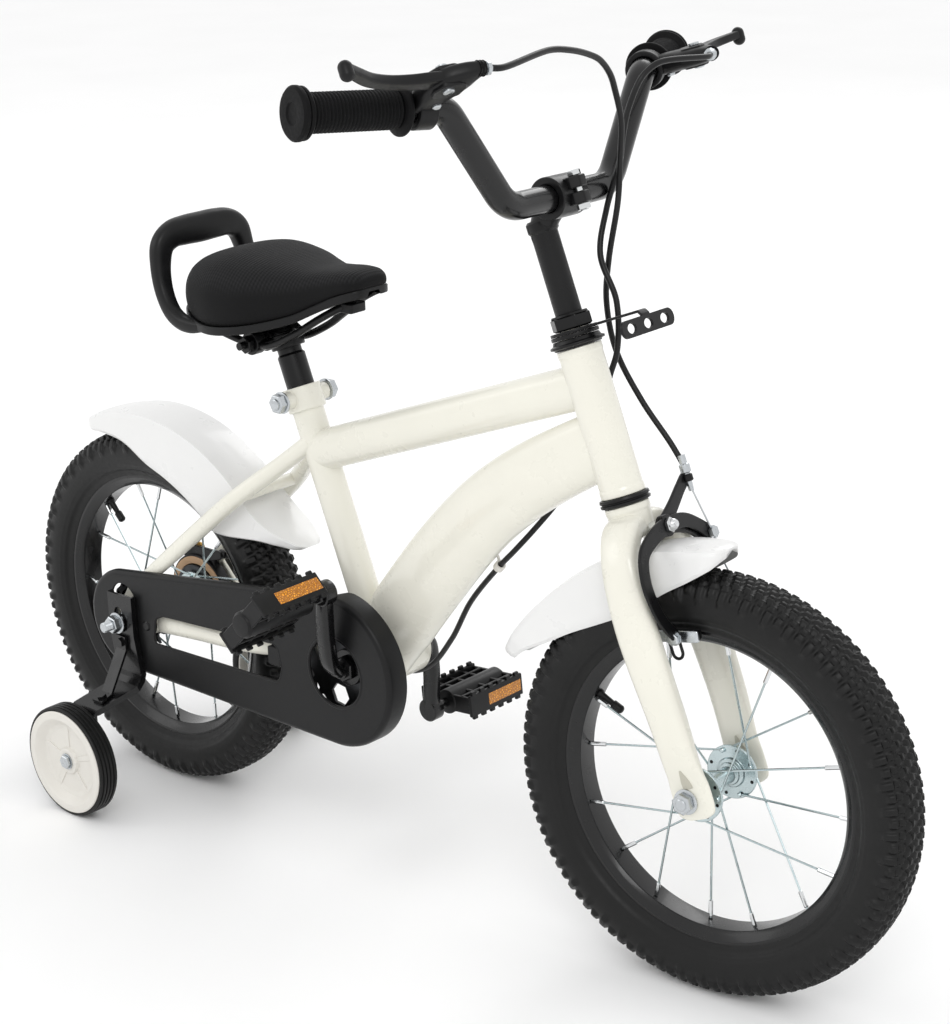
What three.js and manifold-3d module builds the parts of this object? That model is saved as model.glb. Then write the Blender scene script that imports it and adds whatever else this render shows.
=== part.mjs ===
// A child's bicycle with stabiliser wheels, as an assembly of its separate pieces.
// Lengths are millimetres and angles are degrees. X points forward, Y to the rider's left, Z up.
// The origin is on the floor, midway between the two axles.
import * as THREE from 'three';
import { mergeVertices } from 'three/addons/utils/BufferGeometryUtils.js';
import Module from 'manifold-3d';

const wasm = await Module();
wasm.setup();

// Driving dimensions
const wheelbase = 660;
const wheelRadius = 178;
const tyreWidth = 54;
const headAngleDeg = 69;
const seatAngleDeg = 69.2;
const forkRake = 4;
const restSteerDeg = 6.76;
const crankAtRestDeg = 82.5;
const bottomBracketBehind = 40.2;
const bottomBracketHeight = 198;
const crankLength = 84.6;
const pedalReachRight = 80;
const pedalReachLeft = 72;
const chainringTeethCount = 28;
const sprocketTeethCount = 16;
const chainPitch = 12.7;
const chainLinkCount = 68;
const saddleHeight = 558;
const stabiliserRadius = 55.2;
const stabiliserReach = 145;
const touchGap = 0.3;
const cutOverrun = 2;

// Axis names and small helpers
const X = new THREE.Vector3(1, 0, 0);
const Y = new THREE.Vector3(0, 1, 0);
const Z = new THREE.Vector3(0, 0, 1);
const rad = THREE.MathUtils.degToRad;
const at = (x, y, z) => new THREE.Vector3(x, y, z);
const both = [-1, 1];

// Surface finishes
const finish = (color, roughness, metalness) =>
  new THREE.MeshStandardMaterial({ color, roughness, metalness });
const ivoryPaint = finish(0xedebdf, 0.25, 0);
const blackPaint = finish(0x1c1c1d, 0.3, 0.1);
const blackSteel = finish(0x202022, 0.4, 0.6);
const blackPlastic = finish(0x1b1b1c, 0.5, 0);
const gripRubber = finish(0x161617, 0.75, 0);
const tyreRubber = finish(0x1d1d1e, 0.85, 0);
const zincSteel = finish(0xb9bcc0, 0.35, 0.9);
const chromeSteel = finish(0xd5d8da, 0.15, 1);
const brassMetal = finish(0xb08d4c, 0.35, 0.9);
const whitePlastic = finish(0xe9ecee, 0.4, 0);
const fenderPlastic = finish(0xdfe4e8, 0.3, 0);
const meshFabric = finish(0x222224, 0.9, 0);
const cableSkin = finish(0x151516, 0.5, 0);

// Signed volume of an indexed geometry, used to turn faces outward
const signedVolume = (geometry) => {
  const place = geometry.attributes.position;
  const index = geometry.index;
  const corners = [at(0, 0, 0), at(0, 0, 0), at(0, 0, 0)];
  let total = 0;
  for (let i = 0; i < index.count; i += 3) {
    corners.forEach((corner, k) => corner.fromBufferAttribute(place, index.getX(i + k)));
    total += corners[0].dot(corners[1].clone().cross(corners[2]));
  }
  return total / 6;
};

// Makes a closed geometry from points and triangles, with its faces pointing out
const closedBody = (points, triangles) => {
  const geometry = new THREE.BufferGeometry();
  geometry.setAttribute('position', new THREE.Float32BufferAttribute(points.flatMap((p) => [p.x, p.y, p.z]), 3));
  geometry.setIndex(triangles);
  if (signedVolume(geometry) < 0) {
    for (let i = 0; i < triangles.length; i += 3) {
      [triangles[i + 1], triangles[i + 2]] = [triangles[i + 2], triangles[i + 1]];
    }
    geometry.setIndex(triangles);
  }
  return geometry;
};

// Triangles that close one ring of a loft, whatever its outline
const capTriangles = (ring) => {
  const normal = at(0, 0, 0);
  ring.forEach((p, i) => {
    const q = ring[(i + 1) % ring.length];
    normal.add(p.clone().cross(q));
  });
  normal.normalize();
  const side = ring[1].clone().sub(ring[0]).normalize();
  const up = normal.clone().cross(side).normalize();
  const flat = ring.map((p) => new THREE.Vector2(p.clone().sub(ring[0]).dot(side), p.clone().sub(ring[0]).dot(up)));
  return THREE.ShapeUtils.triangulateShape(flat, []);
};

// Skins a row of rings that all have the same number of points, and closes both ends
const loft = (rings) => {
  const count = rings[0].length;
  const points = rings.flat();
  const triangles = [];
  for (let j = 0; j + 1 < rings.length; j += 1) {
    for (let i = 0; i < count; i += 1) {
      const a = j * count + i;
      const b = j * count + ((i + 1) % count);
      triangles.push(a, b, a + count, b, b + count, a + count);
    }
  }
  const last = (rings.length - 1) * count;
  capTriangles(rings[0]).forEach(([a, b, c]) => triangles.push(a, c, b));
  capTriangles(rings[rings.length - 1]).forEach(([a, b, c]) => triangles.push(last + a, last + b, last + c));
  const geometry = closedBody(points, triangles);
  return capFix(geometry, rings);
};

// Turns the end caps so that they agree with the skin between them
const capFix = (geometry, rings) => {
  const count = rings[0].length;
  const index = geometry.index.array;
  const skin = (rings.length - 1) * count * 6;
  const edges = new Set();
  for (let i = 0; i < skin; i += 3) {
    edges.add(`${index[i]},${index[i + 1]}`);
    edges.add(`${index[i + 1]},${index[i + 2]}`);
    edges.add(`${index[i + 2]},${index[i]}`);
  }
  const capSize = (index.length - skin) / 2;
  [skin, skin + capSize].forEach((start) => {
    let agrees = true;
    for (let i = start; i < start + capSize; i += 3) {
      for (let k = 0; k < 3; k += 1) {
        if (edges.has(`${index[i + k]},${index[i + ((k + 1) % 3)]}`)) {
          agrees = false;
        }
      }
    }
    if (!agrees) {
      for (let i = start; i < start + capSize; i += 3) {
        [index[i + 1], index[i + 2]] = [index[i + 2], index[i + 1]];
      }
    }
  });
  return geometry;
};

// A rounded outline of unit half sizes: roundness 2 is an ellipse, more is squarer
const ovalOutline = (sides, roundness = 2) => {
  const points = [];
  for (let i = 0; i < sides; i += 1) {
    const angle = ((i + 0.5) / sides) * 2 * Math.PI;
    const bend = (value) => Math.sign(value) * Math.abs(value) ** (2 / roundness);
    points.push([bend(Math.cos(angle)), bend(Math.sin(angle))]);
  }
  return points;
};

// Carries an outline along stations. Each station has its centre, its half size along the fixed
// direction and its half size across, which lies square to the path and to that direction.
const sweep = (stations, outline, fixed) => {
  const rings = stations.map((station, i) => {
    const before = stations[Math.max(i - 1, 0)].centre;
    const after = stations[Math.min(i + 1, stations.length - 1)].centre;
    const tangent = after.clone().sub(before).normalize();
    const across = tangent.clone().cross(fixed).normalize();
    return outline.map(([u, v]) =>
      station.centre.clone().addScaledVector(fixed, u * station.wide).addScaledVector(across, v * station.deep));
  });
  return loft(rings);
};

// A round tube through points, its rings turned as little as possible from one to the next
const tube = (points, radius, sides) => {
  let side = null;
  const rings = points.map((point, i) => {
    const before = points[Math.max(i - 1, 0)];
    const after = points[Math.min(i + 1, points.length - 1)];
    const tangent = after.clone().sub(before).normalize();
    if (!side) {
      side = Math.abs(tangent.dot(Z)) < 0.9 ? Z.clone() : X.clone();
    }
    side = side.clone().addScaledVector(tangent, -side.dot(tangent)).normalize();
    const up = tangent.clone().cross(side);
    const own = typeof radius === 'number' ? radius : radius[i];
    return ovalOutline(sides).map(([u, v]) => point.clone().addScaledVector(side, u * own).addScaledVector(up, v * own));
  });
  return loft(rings);
};

// Rounds the corners of a row of points with arcs, and gives the points of the whole path
const roundedPath = (corners, radii, arcSteps) => {
  const path = [corners[0]];
  for (let i = 1; i + 1 < corners.length; i += 1) {
    const back = corners[i - 1].clone().sub(corners[i]).normalize();
    const on = corners[i + 1].clone().sub(corners[i]).normalize();
    const half = Math.acos(THREE.MathUtils.clamp(back.dot(on), -1, 1)) / 2;
    const reach = radii[i - 1] / Math.tan(half);
    const middle = back.clone().add(on).normalize();
    const centre = corners[i].clone().addScaledVector(middle, radii[i - 1] / Math.sin(half));
    const start = corners[i].clone().addScaledVector(back, reach).sub(centre);
    const end = corners[i].clone().addScaledVector(on, reach).sub(centre);
    const turn = start.angleTo(end);
    for (let k = 0; k <= arcSteps; k += 1) {
      const t = k / arcSteps;
      const point = start.clone().multiplyScalar(Math.sin((1 - t) * turn) / Math.sin(turn));
      point.addScaledVector(end, Math.sin(t * turn) / Math.sin(turn));
      path.push(centre.clone().add(point));
    }
  }
  path.push(corners[corners.length - 1]);
  return path;
};

// Spreads points evenly along a smooth curve through the points given
const smoothPath = (points, steps) => new THREE.CatmullRomCurve3(points, false, 'centripetal').getSpacedPoints(steps);

// A solid of revolution about Y, from pairs of distance along the axis and radius
const turned = (profile, sides) => {
  const closed = profile[0][1] > 0 ? [...profile, profile[0]] : profile;
  const points = closed.map(([along, radius]) => new THREE.Vector2(radius, along));
  const geometry = mergeVertices(strip(new THREE.LatheGeometry(points, sides)), 1e-4);
  return closedBody(pointsOf(geometry), solidTriangles(geometry));
};
const strip = (geometry) => {
  geometry.deleteAttribute('normal');
  geometry.deleteAttribute('uv');
  return geometry;
};
const pointsOf = (geometry) => {
  const place = geometry.attributes.position;
  return Array.from({ length: place.count }, (_, i) => at(0, 0, 0).fromBufferAttribute(place, i));
};
const solidTriangles = (geometry) => {
  const index = geometry.index.array;
  const kept = [];
  for (let i = 0; i < index.length; i += 3) {
    const [a, b, c] = [index[i], index[i + 1], index[i + 2]];
    if (a !== b && b !== c && c !== a) {
      kept.push(a, b, c);
    }
  }
  return kept;
};

// The same solid turned about the line from one point towards another
const turnedAlong = (start, end, profile, sides) => {
  const geometry = turned(profile, sides);
  const direction = end.clone().sub(start).normalize();
  geometry.applyQuaternion(new THREE.Quaternion().setFromUnitVectors(Y, direction));
  return geometry.translate(start.x, start.y, start.z);
};

// A round bar between two points
const rod = (start, end, radius, sides) => {
  const length = end.distanceTo(start);
  return turnedAlong(start, end, [[0, 0], [0, radius], [length, radius], [length, 0]], sides);
};

// A box between two corners
const block = (low, high) => {
  const size = high.clone().sub(low);
  const middle = low.clone().add(high).multiplyScalar(0.5);
  return new THREE.BoxGeometry(size.x, size.y, size.z).translate(middle.x, middle.y, middle.z);
};

// A flat plate from an outline in the XZ plane, from one Y to another
const plate = (outline, holes, fromY, toY, curveSteps = 12) => {
  const shape = outline instanceof THREE.Shape ? outline : new THREE.Shape(outline.map(([x, z]) => new THREE.Vector2(x, z)));
  holes.forEach((hole) => shape.holes.push(hole instanceof THREE.Path ? hole : new THREE.Path(hole.map(([x, z]) => new THREE.Vector2(x, z)))));
  const depth = Math.abs(toY - fromY);
  const geometry = new THREE.ExtrudeGeometry(shape, { depth, bevelEnabled: false, curveSegments: curveSteps });
  geometry.rotateX(Math.PI / 2);
  return geometry.translate(0, Math.max(fromY, toY), 0);
};
const circleOutline = (x, z, radius, sides, turn = 0) =>
  Array.from({ length: sides }, (_, i) => {
    const angle = ((i + turn) / sides) * 2 * Math.PI;
    return [x + radius * Math.cos(angle), z + radius * Math.sin(angle)];
  });

// Joins and cuts
const solid = (geometry) => {
  const plain = strip(geometry.index ? geometry.clone() : mergeVertices(strip(geometry.clone()), 1e-4));
  const merged = mergeVertices(plain, 1e-4);
  return new wasm.Manifold(new wasm.Mesh({
    numProp: 3,
    vertProperties: new Float32Array(merged.attributes.position.array),
    triVerts: new Uint32Array(solidTriangles(merged)),
  }));
};
const joined = (...geometries) => geometries.map(solid).reduce((whole, next) => whole.add(next));
const cut = (whole, ...tools) => tools.map((tool) => (tool instanceof THREE.BufferGeometry ? solid(tool) : tool))
  .reduce((rest, tool) => rest.subtract(tool), whole);
const shapeOf = (manifold) => {
  const mesh = manifold.getMesh();
  const geometry = new THREE.BufferGeometry();
  geometry.setAttribute('position', new THREE.BufferAttribute(new Float32Array(mesh.vertProperties), 3));
  geometry.setIndex(new THREE.BufferAttribute(new Uint32Array(mesh.triVerts), 1));
  return geometry;
};

// Hangs a named mesh in a group
const add = (group, name, geometry, material) => {
  const shape = geometry instanceof THREE.BufferGeometry ? geometry : shapeOf(geometry);
  shape.computeVertexNormals();
  const mesh = new THREE.Mesh(shape, material);
  mesh.name = name;
  group.add(mesh);
  return mesh;
};
const sideName = (side) => (side < 0 ? 'right' : 'left');

// The whole bicycle and the groups that hold its turning parts
const bicycle = new THREE.Group();
const rearAxle = at(-wheelbase / 2, 0, wheelRadius);
const frontAxle = at(wheelbase / 2, 0, wheelRadius);
const bottomBracket = at(-bottomBracketBehind, 0, bottomBracketHeight);

// The steering group has its own Z along the steering axis and its own X forward of it
const headForward = at(Math.sin(rad(headAngleDeg)), 0, Math.cos(rad(headAngleDeg)));
const headUp = at(-Math.cos(rad(headAngleDeg)), 0, Math.sin(rad(headAngleDeg)));
const steerBase = frontAxle.clone().addScaledVector(headForward, -forkRake);
const onHead = (height) => steerBase.clone().addScaledVector(headUp, height);
const headGroup = new THREE.Group();
headGroup.position.copy(steerBase);
headGroup.rotation.y = -rad(90 - headAngleDeg);
const steering = new THREE.Group();
steering.rotation.z = rad(restSteerDeg);
headGroup.add(steering);
bicycle.add(headGroup);
const fromSteering = (x, y, z) => at(x, y, z).applyAxisAngle(Z, rad(restSteerDeg))
  .applyAxisAngle(Y, -rad(90 - headAngleDeg)).add(steerBase);

const rearWheel = new THREE.Group();
rearWheel.position.copy(rearAxle);
bicycle.add(rearWheel);
const frontWheel = new THREE.Group();
frontWheel.position.set(forkRake, 0, 0);
steering.add(frontWheel);

// Wheels: tyre, rim, and a hub with its spokes
const rimRadius = 137;
const rimDepth = 15;
const rimWidth = 33;
const rimWall = 1.8;
const rimWell = 7.5;
const rimSides = 22;
const knobCount = 20;
const knobDepth = 3;
const tyreSectionShares = [[0, 1], [0.5, 0.92], [0.94, 0.5], [0.7, 0]];
const raisedShares = [0, 0, 1, 0];

// The turn brings one flat of the crown to the floor
const makeTyre = (turnDeg) => {
  const footHalf = rimWidth / 2 - rimWall - touchGap;
  const steps = knobCount * 2;
  const footRadius = (rimRadius - rimWell + touchGap) / Math.cos(Math.PI / steps);
  const edgeRadius = (rimRadius + touchGap) / Math.cos(Math.PI / steps);
  const crownRadius = wheelRadius / Math.cos(Math.PI / steps);
  const height = crownRadius - edgeRadius;
  const right = tyreSectionShares.map(([across, up]) => [across * tyreWidth / 2, edgeRadius + up * height]);
  const section = [...right.slice(1).reverse().map(([y, r]) => [-y, r]), ...right];
  const raised = [...raisedShares.slice(1).reverse(), ...raisedShares];
  section.unshift([-footHalf, footRadius], [-footHalf, edgeRadius]);
  section.push([footHalf, edgeRadius], [footHalf, footRadius]);
  raised.unshift(0, 0);
  raised.push(0, 0);
  const points = [];
  const triangles = [];
  const count = section.length;
  for (let j = 0; j < steps; j += 1) {
    const angle = ((j + 0.5) / steps) * 2 * Math.PI + rad(turnDeg);
    section.forEach(([y, r], i) => {
      const radius = r - (raised[i] && j % 2 === 0 ? knobDepth : 0);
      points.push(at(radius * Math.sin(angle), y, -radius * Math.cos(angle)));
    });
  }
  for (let j = 0; j < steps; j += 1) {
    for (let i = 0; i < count; i += 1) {
      const a = j * count + i;
      const b = j * count + ((i + 1) % count);
      const c = ((j + 1) % steps) * count + i;
      const d = ((j + 1) % steps) * count + ((i + 1) % count);
      triangles.push(a, b, c, b, d, c);
    }
  }
  return closedBody(points, triangles);
};

const valveRadius = 3.2;
const valveLength = 24;
const valveAngleDeg = 134;
const makeRim = () => {
  const half = rimWidth / 2;
  const inner = rimRadius - rimDepth;
  const well = rimRadius - rimWell;
  const slope = rimDepth - rimWell;
  const ring = turned([
    [-half, rimRadius], [-half, well], [-half + slope / 2, inner], [half - slope / 2, inner], [half, well], [half, rimRadius],
    [half - rimWall, rimRadius], [half - rimWall, well], [-half + rimWall, well], [-half + rimWall, rimRadius],
  ], rimSides);
  const out = at(Math.cos(rad(valveAngleDeg)), 0, Math.sin(rad(valveAngleDeg)));
  const root = out.clone().multiplyScalar(inner + rimWall);
  const tip = out.clone().multiplyScalar(inner - valveLength);
  return joined(ring, rod(tip, root, valveRadius, 6));
};

const hubHalfWidth = 38;
const hubFlangeAt = 28;
const hubFlangeRadius = 20.5;
const hubFlangeThick = 3;
const hubBarrelRadius = 11;
const hubBoreRadius = 6;
const spokeCount = 8;
const spokeRadius = 1.1;
const nippleRadius = 2.1;
const nippleLength = 13;
const nippleClearance = 0.8;
const spokeHoleRadius = 17;
const spokeSweepDeg = 62;
const spokeRimOffset = 5;
const wheelAxleRadius = 5;

const makeSpokes = () => {
  const spokes = [];
  const rimInside = (rimRadius - rimDepth) * Math.cos(Math.PI / rimSides) - nippleClearance;
  both.forEach((side) => {
    for (let i = 0; i < spokeCount; i += 1) {
      const leading = i % 2 === 0 ? 1 : -1;
      const offset = side > 0 ? 0.5 : 0;
      const rimAngle = ((i + offset) / spokeCount) * 2 * Math.PI;
      const hubAngle = rimAngle + leading * rad(spokeSweepDeg);
      const skew = leading * hubFlangeThick / 2;
      const hubEnd = at(spokeHoleRadius * Math.cos(hubAngle), side * hubFlangeAt + skew, spokeHoleRadius * Math.sin(hubAngle));
      const rimEnd = at(rimInside * Math.cos(rimAngle), side * spokeRimOffset, rimInside * Math.sin(rimAngle));
      const direction = hubEnd.clone().sub(rimEnd).normalize();
      const nippleEnd = rimEnd.clone().addScaledVector(direction, nippleLength);
      spokes.push(tube([rimEnd, nippleEnd, hubEnd], [nippleRadius, spokeRadius, spokeRadius], 3));
    }
  });
  return spokes;
};

const makeHub = (extra) => {
  const inner = hubFlangeAt - hubFlangeThick / 2;
  const outer = hubFlangeAt + hubFlangeThick / 2;
  const bare = turned([
    [-hubHalfWidth, hubBoreRadius], [-hubHalfWidth, hubBarrelRadius], [-outer, hubBarrelRadius], [-outer, hubFlangeRadius],
    [-inner, hubFlangeRadius], [-inner, hubBarrelRadius], [inner, hubBarrelRadius], [inner, hubFlangeRadius],
    [outer, hubFlangeRadius], [outer, hubBarrelRadius], [hubHalfWidth, hubBarrelRadius], [hubHalfWidth, hubBoreRadius],
  ], 10);
  return joined(bare, ...makeSpokes(), ...extra);
};


const wheelAxleHalf = 55.3;
const axleNutRadius = 8.8;
const axleNutThick = 7.5;
const axleWasherRadius = 10.5;
const axleWasherThick = 1.6;
const axleConeRadius = 8;
const axleConeLength = 5;

// Threaded axle with its cones inside the hub ends, and a washer and nut outside each dropout
const makeAxle = (half, dropoutInside, dropoutOutside, packing) => {
  const pieces = [rod(at(0, -half, 0), at(0, half, 0), wheelAxleRadius, 6)];
  both.forEach((side) => {
    const start = dropoutOutside + touchGap;
    const end = start + packing + axleWasherThick;
    const along = (distance) => at(0, side * distance, 0);
    const coneEnd = dropoutInside - touchGap;
    pieces.push(rod(along(hubHalfWidth + touchGap), along(coneEnd), axleConeRadius, 6));
    pieces.push(rod(along(start), along(end), axleWasherRadius, 8));
    pieces.push(rod(along(end - touchGap), along(end + axleNutThick), axleNutRadius, 6));
  });
  return joined(...pieces);
};

const forkTipInside = 40.8;
const forkTipThick = 4.5;
const frontAxleWasherPack = 0;
add(frontWheel, 'front_tyre', makeTyre(headAngleDeg - 90), tyreRubber);
add(frontWheel, 'front_rim', makeRim(), blackPaint);
add(frontWheel, 'front_hub_spokes', makeHub([]), zincSteel);
add(frontWheel, 'front_axle', makeAxle(wheelAxleHalf, forkTipInside, forkTipInside + forkTipThick, frontAxleWasherPack), zincSteel);

// Fork: two flattened blades that meet in a crown, with a steerer tube above
const crownHeight = 218;
const crownDepth = 17;
const crownThick = 12;
const crownTop = 236;
const crownRaceRadius = 18;
const steererRadius = 12.7;
const steererBore = 11.6;
const steererTop = 387;
const stemFoot = 331;
const bladeSpread = 46;
const bladeDepth = 18;
const bladeThick = 9;
const bladeForward = 7;
const tipForward = 9.5;
const tipDepth = 19;
const tipBelow = 16;
const dropoutSlot = 5.4;
const brakeBoltHeight = 212;
const brakeBoltRadius = 3;
const brakeBoltHole = 3.6;
// height, distance from the middle, half depth, half thickness and place forward, as shares of
// the crown height, the blade spread, the blade depth, the blade thickness and the tip's offset
const bladeShares = [
  [-0.0734, 0.938, 0.5, 0.25, 1], [-0.04, 0.938, 1, 0.25, 1], [0.05, 0.938, 1.02, 0.25, 1], [0.14, 0.97, 0.92, 0.66, 1],
  [0.3, 1, 0.93, 0.97, 1.05], [0.66, 1, 1.03, 1, 0.7], [0.88, 0.87, 0.92, 1.13, 0.6], [0.98, 0.5, 0.93, 1.3, 0.25], [1, 0.2, 0.95, 1.33, 0],
];

const makeFork = () => {
  const half = bladeShares.map(([up, out, deep, thick, forward]) => ({
    centre: at(forward * tipForward, out * bladeSpread, up * crownHeight),
    wide: deep * bladeDepth,
    deep: thick * bladeThick,
  }));
  const other = half.map((station) => ({ ...station, centre: at(station.centre.x, -station.centre.y, station.centre.z) }));
  const blades = sweep([...half, ...other.reverse()], ovalOutline(8, 2.3), X);
  const steerer = turnedAlong(at(0, 0, crownHeight), at(0, 0, steererTop), [
    [0, 0], [0, crownRaceRadius - cutOverrun], [crownTop - crownHeight - cutOverrun, crownRaceRadius],
    [crownTop - crownHeight, crownRaceRadius], [crownTop - crownHeight, steererRadius],
    [steererTop - crownHeight, steererRadius], [steererTop - crownHeight, 0],
  ], 18);
  const bore = rod(at(0, 0, stemFoot - touchGap), at(0, 0, steererTop + cutOverrun), steererBore, 14);
  const boltHole = rod(at(-crownRaceRadius * 2, 0, brakeBoltHeight), at(crownRaceRadius * 2, 0, brakeBoltHeight), brakeBoltHole, 8);
  const slotLow = at(forkRake - dropoutSlot, -bladeSpread * 2, -tipBelow - cutOverrun);
  const slotHigh = at(forkRake + dropoutSlot, bladeSpread * 2, 0);
  const axleHole = rod(at(forkRake, -bladeSpread * 2, 0), at(forkRake, bladeSpread * 2, 0), dropoutSlot, 10);
  return cut(joined(blades, steerer), bore, boltHole, block(slotLow, slotHigh), axleHole);
};
add(steering, 'fork', makeFork(), ivoryPaint);

// Head tube bearings
const headTubeLow = 244;
const headTubeHigh = 367;
const headTubeRadius = 18;
const headTubeBore = 15.7;
const cupRadius = 20.5;
const lowerCupRadius = 18.6;
const cupBore = 13.2;
const cupSkirt = 8;
const upperCupTop = 375.5;
const cupLip = 3;
const headRaceTop = 379;
const headStripThick = 2.2;
const locknutTop = 390;
const locknutRadius = 18.5;
const threadRadius = 13.3;

const makeUpperCup = () => {
  const low = headTubeHigh + touchGap;
  const skirtRadius = headTubeBore - touchGap * 2;
  return turnedAlong(onHead(0), onHead(1), [
    [headTubeHigh - cupSkirt, cupBore], [headTubeHigh - cupSkirt, skirtRadius], [low, skirtRadius], [low, cupRadius],
    [upperCupTop - cupLip, cupRadius], [upperCupTop, cupRadius - cupLip / 2], [upperCupTop, cupBore],
  ], 16);
};
const makeLowerCup = () => {
  const high = headTubeLow - touchGap;
  const low = crownTop + touchGap;
  const middle = (high + low) / 2;
  const skirtRadius = headTubeBore - touchGap * 2;
  const waist = lowerCupRadius - cupLip / 2;
  return turnedAlong(onHead(0), onHead(1), [
    [low, cupBore], [low, lowerCupRadius], [middle, waist], [high, lowerCupRadius], [high, skirtRadius],
    [headTubeLow + cupSkirt, skirtRadius], [headTubeLow + cupSkirt, cupBore],
  ], 16);
};
add(bicycle, 'headset_upper_cup', makeUpperCup(), blackSteel);
add(bicycle, 'headset_lower_cup', makeLowerCup(), blackSteel);

const ring = (low, high, inner, outer, sides) =>
  turnedAlong(at(0, 0, low), at(0, 0, high), [[0, inner], [0, outer], [high - low, outer], [high - low, inner]], sides);
add(steering, 'headset_race', ring(upperCupTop + touchGap, headRaceTop, threadRadius, locknutRadius - cupLip / 2, 18), blackSteel);
const locknutLow = headRaceTop + headStripThick + touchGap * 2;
const makeLocknut = () => cut(
  solid(rod(at(0, 0, locknutLow), at(0, 0, locknutTop), locknutRadius, 6)),
  rod(at(0, 0, locknutLow - cutOverrun), at(0, 0, locknutTop + cutOverrun), threadRadius, 14),
);
add(steering, 'headset_locknut', makeLocknut(), blackSteel);

// Bracket with a cross plate in front of the head tube, for a reflector or a number
const stripLow = headRaceTop + touchGap;
const stripWidth = 12;
const stripReach = 70;
const crossPlateWidth = 75;
const crossPlateHeight = 14;
const crossPlateThick = 2.6;
const crossPlateHoleRadius = 3.6;
const crossPlateHoleApart = 24;
const crossPlateDrop = 12;
const makeFrontBracket = () => {
  const top = stripLow + headStripThick;
  const ringBody = ring(stripLow, top, threadRadius, locknutRadius, 18);
  const strap = block(at(threadRadius + cutOverrun, -stripWidth / 2, stripLow), at(stripReach, stripWidth / 2, top));
  const middle = top - crossPlateDrop;
  const tab = block(at(stripReach - crossPlateThick, -stripWidth / 2, middle), at(stripReach, stripWidth / 2, top));
  const outline = new THREE.Shape();
  const straight = (crossPlateWidth - crossPlateHeight) / 2;
  outline.absarc(straight, middle, crossPlateHeight / 2, -Math.PI / 2, Math.PI / 2);
  outline.absarc(-straight, middle, crossPlateHeight / 2, Math.PI / 2, Math.PI * 1.5);
  const holes = [-1, 0, 1].map((place) => circleOutline(place * crossPlateHoleApart, middle, crossPlateHoleRadius, 6));
  const face = plate(outline, holes, -crossPlateThick / 2, crossPlateThick / 2, 4);
  face.rotateZ(Math.PI / 2);
  face.translate(stripReach - crossPlateThick / 2, 0, 0);
  return joined(ringBody, strap, tab, face);
};
add(steering, 'front_bracket', makeFrontBracket(), blackSteel);

// Stem: a quill in the steerer, a flared top and a split clamp for the bar
const stemRadius = 11.1;
const stemTop = 470;
const stemFlareRadius = 13.6;
const stemFlareLength = 9;
const barRadius = 11;
const barForward = 24;
const barHeight = 484.5;
const clampRadius = 17;
const clampHalfWidth = 18;
const clampSlit = 3;
const earReach = 50;
const earHalfWidth = 9;
const earThick = 11;
const stemBoltForward = 43.4;
const stemBoltRadius = 3;
const stemBoltHole = 3.4;
const stemBoltHeadRadius = 5.6;
const stemBoltHead = 5;
const makeStem = () => {
  const quill = turnedAlong(at(0, 0, stemFoot), at(0, 0, stemTop), [
    [0, 0], [0, stemRadius], [stemTop - stemFoot - stemFlareLength - cutOverrun, stemRadius],
    [stemTop - stemFoot - stemFlareLength, stemFlareRadius], [stemTop - stemFoot, stemFlareRadius], [stemTop - stemFoot, 0],
  ], 16);
  const neckStart = at(0, 0, stemTop - stemFlareLength / 2);
  const neck = rod(neckStart, at(barForward, 0, barHeight), stemRadius, 8);
  const clamp = rod(at(barForward, -clampHalfWidth, barHeight), at(barForward, clampHalfWidth, barHeight), clampRadius, 14);
  const ears = block(at(barForward, -earHalfWidth, barHeight - earThick), at(earReach, earHalfWidth, barHeight + earThick));
  const bore = rod(at(barForward, -clampHalfWidth * 2, barHeight), at(barForward, clampHalfWidth * 2, barHeight), barRadius + touchGap * 3, 12);
  const slit = block(at(barForward, -clampHalfWidth * 2, barHeight - clampSlit / 2), at(earReach * 2, clampHalfWidth * 2, barHeight + clampSlit / 2));
  const hole = rod(at(stemBoltForward, 0, barHeight - earThick * 2), at(stemBoltForward, 0, barHeight + earThick * 2), stemBoltHole, 8);
  return cut(joined(quill, neck, clamp, ears), bore, slit, hole);
};
add(steering, 'stem', makeStem(), blackSteel);
const makeClampBolt = (low, high, radius, headRadius, head) => joined(
  rod(low, high, radius, 8),
  rod(high, high.clone().add(high.clone().sub(low).setLength(head)), headRadius, 10),
  rod(low, low.clone().add(low.clone().sub(high).setLength(head)), headRadius, 6),
);
const stemBoltLow = at(stemBoltForward, 0, barHeight - earThick - touchGap);
const stemBoltHigh = at(stemBoltForward, 0, barHeight + earThick + touchGap);
add(steering, 'stem_bolt', makeClampBolt(stemBoltLow, stemBoltHigh, stemBoltRadius, stemBoltHeadRadius, stemBoltHead), chromeSteel);

// Handlebar: a straight middle, two rises and two grips that sweep back
const barMiddleHalf = 72;
const barRiseForward = 43;
const barRiseHalf = 137;
const barRiseHeight = 565.5;
const barEndForward = 2.5;
const barEndHalf = 251;
const barEndHeight = 585.2;
const barBendRadius = 34;
const barSweepRadius = 24;
const gripLength = 90;
const gripRadius = 14.8;
const gripFlangeRadius = 20;
const gripFlangeThick = 4;
const gripBore = barRadius + touchGap * 4;
const gripRibCount = 4;
const gripRibDepth = 0.9;
const gripEndWall = 3;
const barPath = () => {
  const half = (side) => [
    at(barForward, side * barMiddleHalf, barHeight),
    at(barRiseForward, side * barRiseHalf, barRiseHeight),
    at(barEndForward, side * barEndHalf, barEndHeight),
  ];
  return roundedPath([...half(-1).reverse(), ...half(1)], [barSweepRadius, barBendRadius, barBendRadius, barSweepRadius], 3);
};
add(steering, 'handlebar', tube(barPath(), barRadius, 8), blackPaint);

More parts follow.
